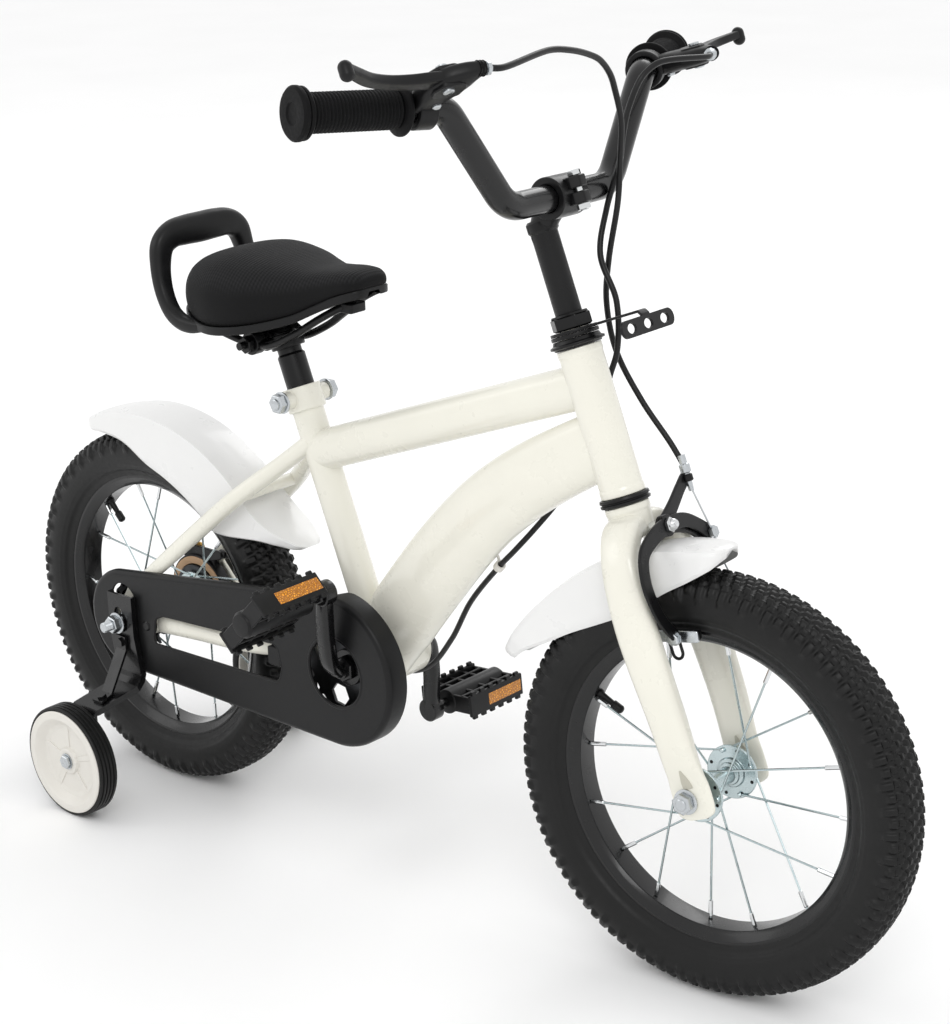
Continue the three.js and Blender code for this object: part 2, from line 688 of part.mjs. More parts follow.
// The grip line is the outer straight of the bar, from its bend to its end
const gripLine = (side) => {
  const rise = at(barRiseForward, side * barRiseHalf, barRiseHeight);
  const end = at(barEndForward, side * barEndHalf, barEndHeight);
  return { rise, end, out: end.clone().sub(rise).normalize() };
};
const makeGrip = (side) => {
  const line = gripLine(side);
  const outer = line.end.clone().addScaledVector(line.out, touchGap + gripEndWall);
  const start = outer.clone().addScaledVector(line.out, -gripLength);
  const length = gripLength;
  const profile = [[0, gripBore], [0, gripFlangeRadius], [gripFlangeThick, gripFlangeRadius], [gripFlangeThick, gripRadius]];
  const ribbed = length - gripFlangeThick * 3;
  for (let i = 0; i < gripRibCount; i += 1) {
    const low = gripFlangeThick + ((i + 0.5) / gripRibCount) * ribbed;
    const step = ribbed / gripRibCount / 4;
    profile.push([low, gripRadius], [low + step, gripRadius - gripRibDepth], [low + step * 2, gripRadius]);
  }
  profile.push([length - gripFlangeThick * 2, gripRadius], [length - gripFlangeThick * 2, gripFlangeRadius]);
  profile.push([length - gripFlangeThick / 2, gripFlangeRadius], [length, gripFlangeRadius - gripFlangeThick / 2]);
  profile.push([length, 0]);
  const body = turnedAlong(start, outer, [[0, 0], ...profile.slice(1)], 9);
  const hollow = rod(start.clone().addScaledVector(line.out, -cutOverrun), outer.clone().addScaledVector(line.out, -gripEndWall), gripBore, 8);
  return cut(solid(body), hollow);
};
both.forEach((side) => add(steering, `grip_${sideName(side)}`, makeGrip(side), gripRubber));

// Brake levers: a clamp body on the bar with a pivot ahead of it, and a blade along the grip
const leverClampHalf = 156;
const leverTiltRightDeg = 9.4;
const leverTiltLeftDeg = -6.3;
const leverClampRadius = 16;
const leverClampWidth = 16;
const leverPivotForward = 44;
const leverPivotOut = 2;
const leverPinRadius = 2.4;
const leverPinHole = 2.9;
const leverBodyHeight = 17;
const leverCheekGap = 8.4;
const leverBladeThick = 7.6;
const adjusterForward = 60;
const adjusterIn = 20;
const adjusterRadius = 4.6;
const adjusterNeckRadius = 3.4;
const leverTipOut = 92;
const leverTipForward = 66;

// A group at the bar under the clamp: its X is the bar's outward line, Y forward, Z up
const leverGroup = (side) => {
  const line = gripLine(side);
  const share = (leverClampHalf - barRiseHalf) / (barEndHalf - barRiseHalf);
  const place = line.rise.clone().lerp(line.end, share);
  const tilt = rad(side < 0 ? leverTiltRightDeg : leverTiltLeftDeg);
  const forward = at(Math.cos(tilt), 0, Math.sin(tilt));
  forward.addScaledVector(line.out, -forward.dot(line.out)).normalize();
  const up = line.out.clone().cross(forward).multiplyScalar(side);
  return { place, out: line.out, forward, up };
};
const inLever = (frame, out, forward, up) => frame.place.clone()
  .addScaledVector(frame.out, out).addScaledVector(frame.forward, forward).addScaledVector(frame.up, up);

// A slab whose outline lies in the lever's own plane
const leverSlab = (frame, outline, low, high) => loft([low, high].map((level) =>
  outline.map(([out, forward]) => inLever(frame, out, forward, level))));
const leverRound = (out, forward, radius, from, to, steps) => Array.from({ length: steps + 1 }, (_, i) => {
  const angle = rad(from + ((to - from) * i) / steps);
  return [out + radius * Math.cos(angle), forward + radius * Math.sin(angle)];
});

const makeLeverBody = (side) => {
  const frame = leverGroup(side);
  const point = (out, forward, up) => inLever(frame, out, forward, up);
  const half = leverClampWidth / 2;
  const clamp = rod(point(-half, 0, 0), point(half, 0, 0), leverClampRadius, 10);
  const outline = [
    [half, leverClampRadius / 2], [half, leverPivotForward - half], ...leverRound(leverPivotOut, leverPivotForward, half, 0, 90, 2),
    [-adjusterIn + half, adjusterForward + adjusterRadius], [-adjusterIn, adjusterForward + adjusterRadius],
    [-adjusterIn, adjusterForward - adjusterRadius], [-half, leverPivotForward - half], [-half, leverClampRadius / 2],
  ];
  const arm = leverSlab(frame, outline, -leverBodyHeight / 2, leverBodyHeight / 2);
  const boss = rod(point(-adjusterIn + half, adjusterForward, 0), point(-adjusterIn - half, adjusterForward, 0), adjusterRadius, 6);
  const gap = [
    [-adjusterIn + half, leverPivotForward - half - cutOverrun], [leverClampWidth * 2, leverPivotForward - half - cutOverrun],
    [leverClampWidth * 2, leverPivotForward * 2], [-adjusterIn + half, leverPivotForward * 2],
  ];
  const slot = leverSlab(frame, gap, -leverCheekGap / 2, leverCheekGap / 2);
  const pin = rod(point(leverPivotOut, leverPivotForward, -leverBodyHeight / 2), point(leverPivotOut, leverPivotForward, leverBodyHeight / 2), leverPinRadius, 6);
  const bore = rod(point(-leverClampWidth, 0, 0), point(leverClampWidth, 0, 0), barRadius + touchGap * 3, 10);
  return cut(joined(clamp, arm, boss), bore, slot).add(solid(pin));
};
// Blade centre line as shares of the tip's reach outward and of the tip's distance forward
const bladeLineShares = [[0, 0.667], [0.12, 0.66], [0.3, 0.635], [0.5, 0.65], [0.7, 0.73], [0.86, 0.87], [0.96, 0.97]];
const bladeWidthShares = [1, 0.95, 0.85, 0.8, 0.8, 0.75, 0.6];
const bladeHalfWidth = 6.4;
const leverBallRadius = 6.5;
const makeLeverBlade = (side) => {
  const frame = leverGroup(side);
  const stations = bladeLineShares.map(([out, forward], i) => ({
    centre: inLever(frame, leverPivotOut + out * leverTipOut, forward * leverTipForward, 0),
    wide: leverBladeThick / 2,
    deep: bladeHalfWidth * bladeWidthShares[i],
  }));
  const blade = sweep(stations, ovalOutline(6, 3), frame.up);
  const ball = new THREE.SphereGeometry(leverBallRadius, 6, 5);
  const tip = inLever(frame, leverPivotOut + leverTipOut, leverTipForward, 0);
  ball.translate(tip.x, tip.y, tip.z);
  const eye = rod(inLever(frame, leverPivotOut, leverPivotForward, -leverBladeThick / 2), inLever(frame, leverPivotOut, leverPivotForward, leverBladeThick / 2), bladeHalfWidth, 8);
  const hole = rod(inLever(frame, leverPivotOut, leverPivotForward, -leverBodyHeight), inLever(frame, leverPivotOut, leverPivotForward, leverBodyHeight), leverPinHole, 6);
  return cut(joined(blade, eye, ball), hole);
};
both.forEach((side) => {
  add(steering, `brake_lever_body_${sideName(side)}`, makeLeverBody(side), blackPlastic);
  add(steering, `brake_lever_${sideName(side)}`, makeLeverBlade(side), blackPlastic);
});

// Frame
const seatUp = at(-Math.cos(rad(seatAngleDeg)), 0, Math.sin(rad(seatAngleDeg)));
const onSeatTube = (distance) => bottomBracket.clone().addScaledVector(seatUp, distance);
const seatTubeLength = 251;
const seatTubeRadius = 14.5;
const seatTubeBore = 13.3;
const collarRadius = 17.5;
const collarLength = 21;
const shellRadius = 28.5;
const shellBore = 26;
const shellHalf = 34;
const topTubeOnSeat = 190.6;
const topTubeOnHead = 335.7;
const topTubeHalfHeight = 18.5;
const topTubeHalfWidth = 14.5;
const downTubeOnHead = 288;
const downTubeUpperX = 100.5;
const downTubeUpperZ = 367;
const downTubeLowerX = -7.4;
const downTubeLowerZ = 246.4;
const downTubeHalfWidth = 19;
const downTubeHalfHeight = 32;
const downTubeHeightShares = [0.86, 0.94, 1.01, 1.08, 1.09, 0.92];
const downTubeWidthShares = [0.76, 0.99, 1, 1, 1, 1];
const dropoutInside = 50;
const dropoutThick = 4;
const dropoutOutside = dropoutInside + dropoutThick;
const dropoutReach = 40;
const dropoutShares = [
  [-0.5, -0.36], [0.55, -0.34], [1, -0.14], [1, 0.3], [0.45, 0.88], [0.05, 0.92], [-0.28, 0.42], [-0.5, 0.36],
];
const stayRadius = 9;
const seatStayRadius = 8;
const seatStayOnTube = 200.8;
const seatStayEndForward = 5;
const seatStayEndUp = 29;
// Stays: place along, place sideways, half depth sideways and half height, each as a share
const chainStayShares = [
  [0.05, 0.44, 1, 1], [0.24, 0.53, 1, 1], [0.42, 0.83, 1, 1], [0.7, 0.9, 0.85, 1], [0.86, 0.955, 0.46, 1.05], [0.95, 0.96, 0.44, 1.1],
];
const seatStayShares = [
  [0, 0.15, 0.9, 1], [0.13, 0.34, 1, 1], [0.34, 0.76, 1, 1], [0.6, 0.9, 0.9, 1], [0.85, 0.965, 0.52, 0.92], [1, 0.97, 0.45, 0.85],
];
const bridgeRadius = 6;
const bridgeTurnDeg = 45.3;
const chainStayBridgeShare = 0.27;
const seatBoltFromTop = 9.4;
const seatBoltBossRadius = 8;
const seatBoltBossReach = 26;
const seatBoltRadius = 4;

const downTubeCurve = new THREE.CatmullRomCurve3([
  onHead(downTubeOnHead), at(downTubeUpperX, 0, downTubeUpperZ), at(downTubeLowerX, 0, downTubeLowerZ), bottomBracket,
], false, 'centripetal');
const stayPath = (from, to, sideways, shares, side) => shares.map(([along, out]) => {
  const point = from.clone().lerp(to, along);
  point.y = side * out * sideways;
  return point;
});
const makeFrame = () => {
  const headTube = rod(onHead(headTubeLow), onHead(headTubeHigh), headTubeRadius, 12);
  const seatTube = rod(bottomBracket, onSeatTube(seatTubeLength), seatTubeRadius, 10);
  const collar = rod(onSeatTube(seatTubeLength - collarLength), onSeatTube(seatTubeLength), collarRadius, 10);
  const shell = rod(at(bottomBracket.x, -shellHalf, bottomBracket.z), at(bottomBracket.x, shellHalf, bottomBracket.z), shellRadius, 12);
  const topStart = onSeatTube(topTubeOnSeat);
  const topEnd = onHead(topTubeOnHead);
  const topTube = sweep([0, 0.5, 1].map((share) => (
    { centre: topStart.clone().lerp(topEnd, share), wide: topTubeHalfWidth, deep: topTubeHalfHeight }
  )), ovalOutline(10, 2.4), Y);
  const spots = downTubeCurve.getSpacedPoints(downTubeHeightShares.length - 1);
  const downTube = sweep(spots.map((centre, i) => ({
    centre,
    wide: downTubeHalfWidth * downTubeWidthShares[i],
    deep: downTubeHalfHeight * downTubeHeightShares[i],
  })), ovalOutline(10, 2.5), Y);
  const dropoutMiddle = dropoutInside + dropoutThick / 2;
  const pieces = [seatTube, collar, shell, topTube, downTube];
  const cuts = [];
  both.forEach((side) => {
    const chainPath = stayPath(bottomBracket, rearAxle, dropoutMiddle, chainStayShares, side);
    pieces.push(sweep(chainPath.map((centre, i) => (
      { centre, wide: stayRadius * chainStayShares[i][3], deep: stayRadius * chainStayShares[i][2] }
    )), ovalOutline(6), Z));
    const stayEnd = rearAxle.clone().add(at(seatStayEndForward, 0, seatStayEndUp));
    const seatPath = stayPath(onSeatTube(seatStayOnTube), stayEnd, dropoutMiddle, seatStayShares, side);
    pieces.push(sweep(seatPath.map((centre, i) => (
      { centre, wide: seatStayRadius * seatStayShares[i][2], deep: seatStayRadius * seatStayShares[i][3] }
    )), ovalOutline(6), Y));
    const outline = dropoutShares.map(([x, z]) => [rearAxle.x + x * dropoutReach, rearAxle.z + z * dropoutReach]);
    const inside = side * dropoutInside;
    pieces.push(plate(outline, [], inside, inside + side * dropoutThick));
    const boltPlace = onSeatTube(seatTubeLength - seatBoltFromTop);
    pieces.push(rod(boltPlace, boltPlace.clone().setY(side * seatBoltBossReach), seatBoltBossRadius, 6));
  });
  const bridgeOut = wheelRadius + fenderGap + fenderThick + fenderRidge + touchGap + bridgeRadius;
  const bridge = rearAxle.clone().add(at(Math.cos(rad(bridgeTurnDeg)) * bridgeOut, 0, Math.sin(rad(bridgeTurnDeg)) * bridgeOut));
  const bridgeHalf = dropoutMiddle * seatStayShares[2][1];
  pieces.push(rod(bridge.clone().setY(-bridgeHalf), bridge.clone().setY(bridgeHalf), bridgeRadius, 6));
  const low = bottomBracket.clone().lerp(rearAxle, chainStayBridgeShare);
  const lowHalf = dropoutMiddle * chainStayShares[1][1];
  pieces.push(rod(low.clone().setY(-lowHalf), low.clone().setY(lowHalf), bridgeRadius, 6));
  cuts.push(rod(onHead(headTubeLow - cutOverrun), onHead(headTubeHigh + cutOverrun), headTubeBore, 14));
  cuts.push(rod(onSeatTube(shellRadius + stayRadius), onSeatTube(seatTubeLength + cutOverrun), seatTubeBore, 12));
  cuts.push(rod(at(bottomBracket.x, -shellHalf - cutOverrun, bottomBracket.z), at(bottomBracket.x, shellHalf + cutOverrun, bottomBracket.z), shellBore, 14));
  cuts.push(rod(rearAxle.clone().setY(-dropoutInside * 2), rearAxle.clone().setY(dropoutInside * 2), dropoutSlot, 10));
  cuts.push(block(
    at(rearAxle.x - dropoutReach, -dropoutInside * 2, rearAxle.z - dropoutSlot),
    at(rearAxle.x, dropoutInside * 2, rearAxle.z + dropoutSlot),
  ));
  both.forEach((side) => {
    const boltPlace = onSeatTube(seatTubeLength - seatBoltFromTop);
    cuts.push(rod(boltPlace, boltPlace.clone().setY(side * seatBoltBossReach * 2), seatBoltRadius + touchGap * 3, 6));
  });
  return cut(joined(headTube, ...pieces), ...cuts);
};

// Fenders: a ridged strip round part of each wheel
const fenderGap = 17;
const fenderThick = 2;
const fenderRidge = 5;
const fenderLip = 9;
// sideways place and height of the outer skin, as shares of the half width and of lip and ridge
const fenderSkinShares = [[-1, -1], [-0.84, 0], [-0.24, 1], [0.24, 1], [0.84, 0], [1, -1]];
const fenderRings = (middle, turns, radii, widths) => turns.map((turn, i) => {
  const outward = at(Math.cos(rad(turn)), 0, Math.sin(rad(turn)));
  const place = (across, radius) => middle.clone().addScaledVector(outward, radius).setY(across);
  const skin = (inset) => fenderSkinShares.map(([out, up]) => {
    const height = up > 0 ? up * fenderRidge : up * fenderLip;
    return place(out * (widths[i] - inset), radii[i] + fenderThick + height - inset);
  });
  return [...skin(0), ...skin(fenderThick).reverse()];
});
const rearFenderTurnsDeg = [116.2, 108, 98, 87, 76, 65, 54, 45, 38, 33, 29, 26.8];
const rearFenderHalfWidth = 31;
const rearFenderWidthShares = [0.7, 0.95, 1, 1, 1, 1, 1, 1, 1, 0.9, 0.62, 0.35];
const rearFenderFlare = 32;
const rearFenderFlareShares = [0, 0, 0, 0, 0, 0, 0, 0, 0.15, 0.45, 0.8, 1];
const makeRearFender = () => {
  const radii = rearFenderFlareShares.map((share) => wheelRadius + fenderGap + share * rearFenderFlare);
  const rings = fenderRings(rearAxle, rearFenderTurnsDeg, radii, rearFenderWidthShares.map((share) => share * rearFenderHalfWidth));
  return loft(rings);
};
const frontFenderTurnsDeg = [67.3, 73, 81, 90, 99, 108, 117, 126, 134, 138.8];
const frontFenderHalfWidth = 28;
const frontFenderWidthShares = [0.45, 0.88, 1, 1, 1, 1, 1, 1, 0.88, 0.5];
const frontFenderFlare = 12;
const frontFenderFlareShares = [0, 0, 0, 0, 0, 0.1, 0.27, 0.55, 0.85, 1];
const fenderTabHalfWidth = 7;
const fenderTabAbove = 7;
const makeFrontFender = () => {
  const radii = frontFenderFlareShares.map((share) => wheelRadius + fenderGap + share * frontFenderFlare);
  const rings = fenderRings(at(forkRake, 0, 0), frontFenderTurnsDeg, radii, frontFenderWidthShares.map((share) => share * frontFenderHalfWidth));
  const tabBack = -crownDepth - touchGap - fenderThick;
  const tab = block(
    at(tabBack, -fenderTabHalfWidth, wheelRadius + fenderGap),
    at(tabBack + fenderThick, fenderTabHalfWidth, brakeBoltHeight + fenderTabAbove),
  );
  const hole = rod(at(tabBack - cutOverrun, 0, brakeBoltHeight), at(tabBack + fenderThick + cutOverrun, 0, brakeBoltHeight), brakeBoltHole, 8);
  return cut(joined(loft(rings), tab), hole);
};
add(bicycle, 'frame', makeFrame(), ivoryPaint);
add(bicycle, 'rear_fender', makeRearFender(), fenderPlastic);
add(steering, 'front_fender', makeFrontFender(), fenderPlastic);

// Seat clamp bolts, one on each side of the collar
const seatPostRadius = 12.7;
const seatBoltHeadRadius = 9;
const seatBoltHead = 9;
const seatBoltWasher = 2;
both.forEach((side) => {
  const place = onSeatTube(seatTubeLength - seatBoltFromTop);
  const along = (distance) => place.clone().setY(side * distance);
  const face = seatBoltBossReach + touchGap;
  const bolt = joined(
    rod(along(seatPostRadius + touchGap * 2), along(face + seatBoltWasher), seatBoltRadius, 6),
    rod(along(face), along(face + seatBoltWasher), seatBoltHeadRadius + seatBoltWasher / 2, 10),
    rod(along(face + seatBoltWasher - touchGap), along(face + seatBoltWasher + seatBoltHead), seatBoltHeadRadius, 6),
  );
  add(bicycle, `seat_clamp_bolt_${sideName(side)}`, bolt, zincSteel);
});

// Caliper brake on the fork crown, its shapes given in the steering group
const caliperPivotRadius = 9;
const caliperSpacerRadius = 6;
const backArmAt = 26;
const frontArmAt = 30;
const caliperArmThick = 3;
const caliperNutLength = 8.7;
const caliperNutRadius = 6.5;
const caliperReach = 84;
const caliperSpread = 50;
const caliperArmHalfWidth = 6;
const shoeForward = 28;
const shoeOut = 32;
const shoeBossRadius = 5;
const padFace = 18.3;
const padThick = 8;
const padLength = 38;
const padHeight = 8;
const padPinRadius = 3;
const wireRadius = 0.8;
const wireBore = 2.2;
const caliperAdjusterRadius = 5;
const caliperAdjusterLow = 236;
const caliperAdjusterHigh = 246;
const anchorRadius = 4.5;
const anchorReach = 4.5;
const wireForward = 35;
// sideways place, height above the pivot and half width, as shares of spread, reach and arm width
const armDownShares = [[0, 0, 1.2], [0.45, -0.05, 1.1], [0.85, -0.17, 1], [1, -0.38, 1], [0.98, -0.62, 0.95], [0.84, -0.84, 0.9], [0.64, -1, 0.8]];
const adjusterArmShares = [[0, 0, 1.2], [0.4, 0.13, 1], [0.75, 0.26, 0.9], [1, 0.345, 0.8]];
const anchorArmShares = [[0, 0, 1.2], [0.5, -0.02, 1], [0.85, -0.12, 0.95], [1.12, -0.24, 0.9]];

const caliperArm = (shares, side, forward) => sweep(shares.map(([out, up, wide]) => ({
  centre: at(forward + caliperArmThick / 2, side * out * caliperSpread, brakeBoltHeight + up * caliperReach),
  wide: caliperArmThick / 2,
  deep: wide * caliperArmHalfWidth,
})), ovalOutline(6, 4), X);
const caliperShoe = (side) => {
  const height = brakeBoltHeight - caliperReach;
  const turn = Math.atan2(shoeForward - forkRake, height);
  const pad = block(at(-padLength / 2, -padThick / 2, -padHeight / 2), at(padLength / 2, padThick / 2, padHeight / 2));
  pad.rotateY(turn);
  pad.translate(shoeForward, side * (padFace + padThick / 2), height);
  const boss = rod(at(backArmAt, side * shoeOut, height), at(frontArmAt + caliperArmThick, side * shoeOut, height), shoeBossRadius, 6);
  const pin = rod(at(shoeForward, side * (padFace + padThick / 2), height), at(shoeForward, side * (shoeOut + padThick), height), padPinRadius, 6);
  return [pad, boss, pin];
};
const pivotHole = rod(at(backArmAt - cutOverrun, 0, brakeBoltHeight), at(frontArmAt + caliperArmThick + cutOverrun, 0, brakeBoltHeight), brakeBoltHole, 6);
const pivotRound = (forward) => rod(at(forward, 0, brakeBoltHeight), at(forward + caliperArmThick, 0, brakeBoltHeight), caliperPivotRadius, 8);
const makeLeftArm = () => {
  const boss = rod(at(frontArmAt, caliperSpread, caliperAdjusterLow), at(frontArmAt, caliperSpread, caliperAdjusterHigh), caliperAdjusterRadius, 6);
  const bore = rod(at(frontArmAt, caliperSpread, caliperAdjusterLow - cutOverrun), at(frontArmAt, caliperSpread, caliperAdjusterHigh + cutOverrun), wireBore, 6);
  const whole = joined(pivotRound(backArmAt), caliperArm(armDownShares, 1, backArmAt), caliperArm(adjusterArmShares, 1, backArmAt), boss, ...caliperShoe(1));
  return cut(whole, pivotHole, bore);
};
const anchorPlace = at(frontArmAt, caliperSpread + wireRadius + anchorRadius + touchGap * 2, brakeBoltHeight - anchorArmShares[3][1] * -caliperReach);
const makeRightArm = () => {
  const anchor = rod(anchorPlace, anchorPlace.clone().add(at(caliperArmThick + anchorReach, 0, 0)), anchorRadius, 6);
  const whole = joined(pivotRound(frontArmAt), caliperArm(armDownShares, -1, frontArmAt), caliperArm(anchorArmShares, 1, frontArmAt), anchor, ...caliperShoe(-1));
  return cut(whole, pivotHole);
};
const makeCaliperBolt = () => {
  const spot = (forward) => at(forward, 0, brakeBoltHeight);
  const back = -crownDepth - touchGap * 2 - fenderThick;
  const front = frontArmAt + caliperArmThick;
  return joined(
    rod(spot(back - axleNutThick), spot(front + caliperNutLength), brakeBoltRadius, 6),
    rod(spot(back - axleNutThick), spot(back), caliperNutRadius, 6),
    rod(spot(crownDepth + touchGap * 2), spot(backArmAt - touchGap), caliperSpacerRadius, 6),
    rod(spot(front + touchGap), spot(front + caliperNutLength), caliperNutRadius, 6),
  );
};
add(steering, 'caliper_bolt', makeCaliperBolt(), chromeSteel);
add(steering, 'caliper_arm_left', makeLeftArm(), blackSteel);
add(steering, 'caliper_arm_right', makeRightArm(), blackSteel);

// Brake cables, along their real routes
const cableRadius = 2.5;
const cableSides = 6;
const cableStepLength = 32;
const cableTube = (points) => {
  const curve = new THREE.CatmullRomCurve3(points, false, 'centripetal');
  return tube(curve.getSpacedPoints(Math.round(curve.getLength() / cableStepLength)), cableRadius, cableSides);
};
const leverEnd = (side, beyond) => inLever(leverGroup(side), -adjusterIn - leverClampWidth / 2 - beyond, adjusterForward, 0);
const frontCableRoute = [
  leverEnd(-1, touchGap * 3), leverEnd(-1, adjusterRadius * 2),
  at(105.3, -75, 583.3), at(105.6, -50, 581), at(103.5, -25, 576.4), at(101.3, -8, 570.9), at(96.1, 8, 560.1),
  at(89.9, 18, 548.3), at(79.6, 30, 526.1), at(61.7, 40, 497.8), at(46.5, 44, 468.8), at(18.2, 49, 426), at(4.2, 50, 396),
  at(-1, 50, 355.6), at(8.7, 50, 310.6), at(24, 50, 270), at(frontArmAt, caliperSpread, caliperAdjusterHigh + touchGap * 3),
];
const wireRoute = [
  at(frontArmAt, caliperSpread, caliperAdjusterHigh + touchGap + cableRadius), at(frontArmAt, caliperSpread, caliperAdjusterLow),
  at(wireForward, caliperSpread, brakeBoltHeight - caliperArmHalfWidth), at(wireForward, caliperSpread, brakeBoltHeight - caliperReach / 2),
];
add(steering, 'front_brake_cable', joined(cableTube(frontCableRoute), tube(wireRoute, wireRadius, 4)), cableSkin);

// Band brake on the left of the rear hub: drum, cover, band and arm
const drumRadius = 34;
const drumWall = 2;
const drumInside = 31;
const drumOutside = 43;
const coverFace = 45.2;
const coverWall = 1.6;
const coverInside = 34;
const coverRadius = 39;
const coverHole = 8.7;
const bandEarIn = 36.5;
const bandEarOut = 40;
const bandArmThick = 3;
const bandPinRadius = 2;
const bandPinHole = 2.5;
const bandLine = 42;
const bandLineUp = 45;
const bandStopRadius = 4;
const bandStopShares = [-0.82, -0.6];
const bandTipShares = [0, 0.25];
const bandPivotBehind = 22;
const bandPivotUp = 39;
const makeDrum = () => turned([
  [drumInside, hubBarrelRadius - drumWall], [drumInside, drumRadius], [drumOutside, drumRadius],
  [drumOutside, drumRadius - drumWall], [drumInside + drumWall, drumRadius - drumWall], [drumInside + drumWall, hubBarrelRadius - drumWall],
], 16);
add(rearWheel, 'rear_tyre', makeTyre(0), tyreRubber);
add(rearWheel, 'rear_rim', makeRim(), blackPaint);
add(rearWheel, 'rear_hub_spokes', makeHub([makeDrum()]), zincSteel);

const rearAxleHalf = 88.7;
const bracketFace = 69;
const bracketThick = 3;
const rearNutThick = 7.5;
const makeRearAxle = () => {
  const pieces = [rod(at(0, -rearAxleHalf, 0), at(0, rearAxleHalf, 0), wheelAxleRadius, 6)];
  both.forEach((side) => {
    const along = (distance) => at(0, side * distance, 0);
    const washer = dropoutOutside + touchGap + axleWasherThick;
    const outer = bracketFace + touchGap + axleWasherThick;
    pieces.push(rod(along(hubHalfWidth + touchGap), along(dropoutInside - touchGap), axleConeRadius, 6));
    pieces.push(rod(along(dropoutOutside + touchGap), along(washer), axleWasherRadius, 8));
    pieces.push(rod(along(washer - touchGap), along(bracketFace - bracketThick - touchGap), axleNutRadius, 6));
    pieces.push(rod(along(bracketFace + touchGap), along(outer), axleWasherRadius, 8));
    pieces.push(rod(along(outer - touchGap), along(outer + rearNutThick), axleNutRadius, 6));
  });
  return joined(...pieces);
};
add(rearWheel, 'rear_axle', makeRearAxle(), zincSteel);

const fromRearAxle = (x, y, z) => at(rearAxle.x + x, y, rearAxle.z + z);
const makeBandCover = () => {
  const dish = turned([
    [coverFace, coverHole], [coverFace, coverRadius], [coverInside, coverRadius], [coverInside, coverRadius - coverWall],
    [coverFace - coverWall, coverRadius - coverWall], [coverFace - coverWall, coverHole],
  ], 16);
  dish.translate(rearAxle.x, 0, rearAxle.z);
  const rimPoint = (deg, radius) => [rearAxle.x + radius * Math.cos(rad(deg)), rearAxle.z + radius * Math.sin(rad(deg))];
  const stopX = bandStopShares.map((share) => -share * bandLineUp);
  const stopEar = plate([
    rimPoint(34, coverRadius - coverWall / 2), [rearAxle.x + stopX[0], rearAxle.z + bandLineUp - bandStopRadius],
    [rearAxle.x + stopX[0], rearAxle.z + bandLineUp], [rearAxle.x + stopX[1], rearAxle.z + bandLineUp], rimPoint(62, coverRadius - coverWall / 2),
  ], [], bandEarIn, bandEarOut);
  const stop = rod(fromRearAxle(stopX[1], bandLine, bandLineUp), fromRearAxle(stopX[0], bandLine, bandLineUp), bandStopRadius, 6);
  const stopBore = rod(fromRearAxle(stopX[1] - cutOverrun, bandLine, bandLineUp), fromRearAxle(stopX[0] + cutOverrun, bandLine, bandLineUp), wireRadius * 2, 6);
  const pivotEar = plate([
    rimPoint(100, coverRadius - coverWall / 2), rimPoint(108, bandLineUp + bandStopRadius / 2), [rearAxle.x - bandPivotBehind, rearAxle.z + bandPivotUp + bandStopRadius],
    [rearAxle.x - bandPivotBehind - bandStopRadius, rearAxle.z + bandPivotUp], rimPoint(132, coverRadius - coverWall / 2),
  ], [], bandEarIn, bandEarOut);
  const pin = rod(fromRearAxle(-bandPivotBehind, bandEarOut - touchGap, bandPivotUp), fromRearAxle(-bandPivotBehind, bandEarOut + touchGap * 2 + bandArmThick, bandPivotUp), bandPinRadius, 8);
  return cut(joined(dish, stopEar, stop, pivotEar, pin), stopBore);
};
add(bicycle, 'band_brake_cover', makeBandCover(), blackSteel);
const makeBandArm = () => {
  const face = bandEarOut + touchGap;
  const tip = bandTipShares.map((share) => -share * bandLineUp);
  const outline = [
    ...circleOutline(rearAxle.x - bandPivotBehind, rearAxle.z + bandPivotUp, bandStopRadius * 1.2, 12, 3).slice(0, 8),
    [rearAxle.x + tip[1], rearAxle.z + bandLineUp - bandStopRadius], [rearAxle.x + tip[0], rearAxle.z + bandLineUp - bandStopRadius],
    [rearAxle.x + tip[0], rearAxle.z + bandLineUp + bandStopRadius],
  ];
  const arm = plate(outline, [], face, face + bandArmThick);
  const knob = rod(fromRearAxle(tip[1], bandLine, bandLineUp), fromRearAxle(tip[0], bandLine, bandLineUp), bandStopRadius, 6);
  const hole = rod(fromRearAxle(-bandPivotBehind, bandEarIn, bandPivotUp), fromRearAxle(-bandPivotBehind, coverFace, bandPivotUp), bandPinHole, 6);
  const wireHole = rod(fromRearAxle(tip[1] - cutOverrun, bandLine, bandLineUp), fromRearAxle(tip[0] + cutOverrun, bandLine, bandLineUp), wireBore, 6);
  return cut(joined(arm, knob), hole, wireHole);
};
add(bicycle, 'band_brake_arm', makeBandArm(), brassMetal);

const stopEnd = -bandStopShares[0] * bandLineUp;
const rearCableRoute = [
  leverEnd(1, touchGap * 3), leverEnd(1, adjusterRadius * 2), fromSteering(90.6, 92, 563.7), fromSteering(84, 82, 560.1), fromSteering(78.6, 75, 554.3),
  fromSteering(65.5, 66, 534.6), fromSteering(58.2, 60, 516.9), fromSteering(51.3, 56, 498.8), fromSteering(28, 52, 465), fromSteering(18, 40, 432),
  fromSteering(22, 37, 392.7), at(208, 32, 511.7), at(204, 27, 490), at(193, 25.5, 450), at(172, 24.5, 408), at(150, 23, 374), at(130, 17.5, 348),
  at(112.8, 10.5, 326.5), at(91.2, 14, 306), at(47, 24.5, 260), at(13, 34, 212.6), at(-25, 43, 173.5), at(-58, 46, 160), at(-110, 44, 162),
  at(-160, 41, 167), at(-205, 34.5, 178), at(-240, 33.5, 195), at(-268, 37, 213),
  fromRearAxle(stopEnd + cableRadius * 4, bandLine, bandLineUp), fromRearAxle(stopEnd + touchGap * 4, bandLine, bandLineUp),
];
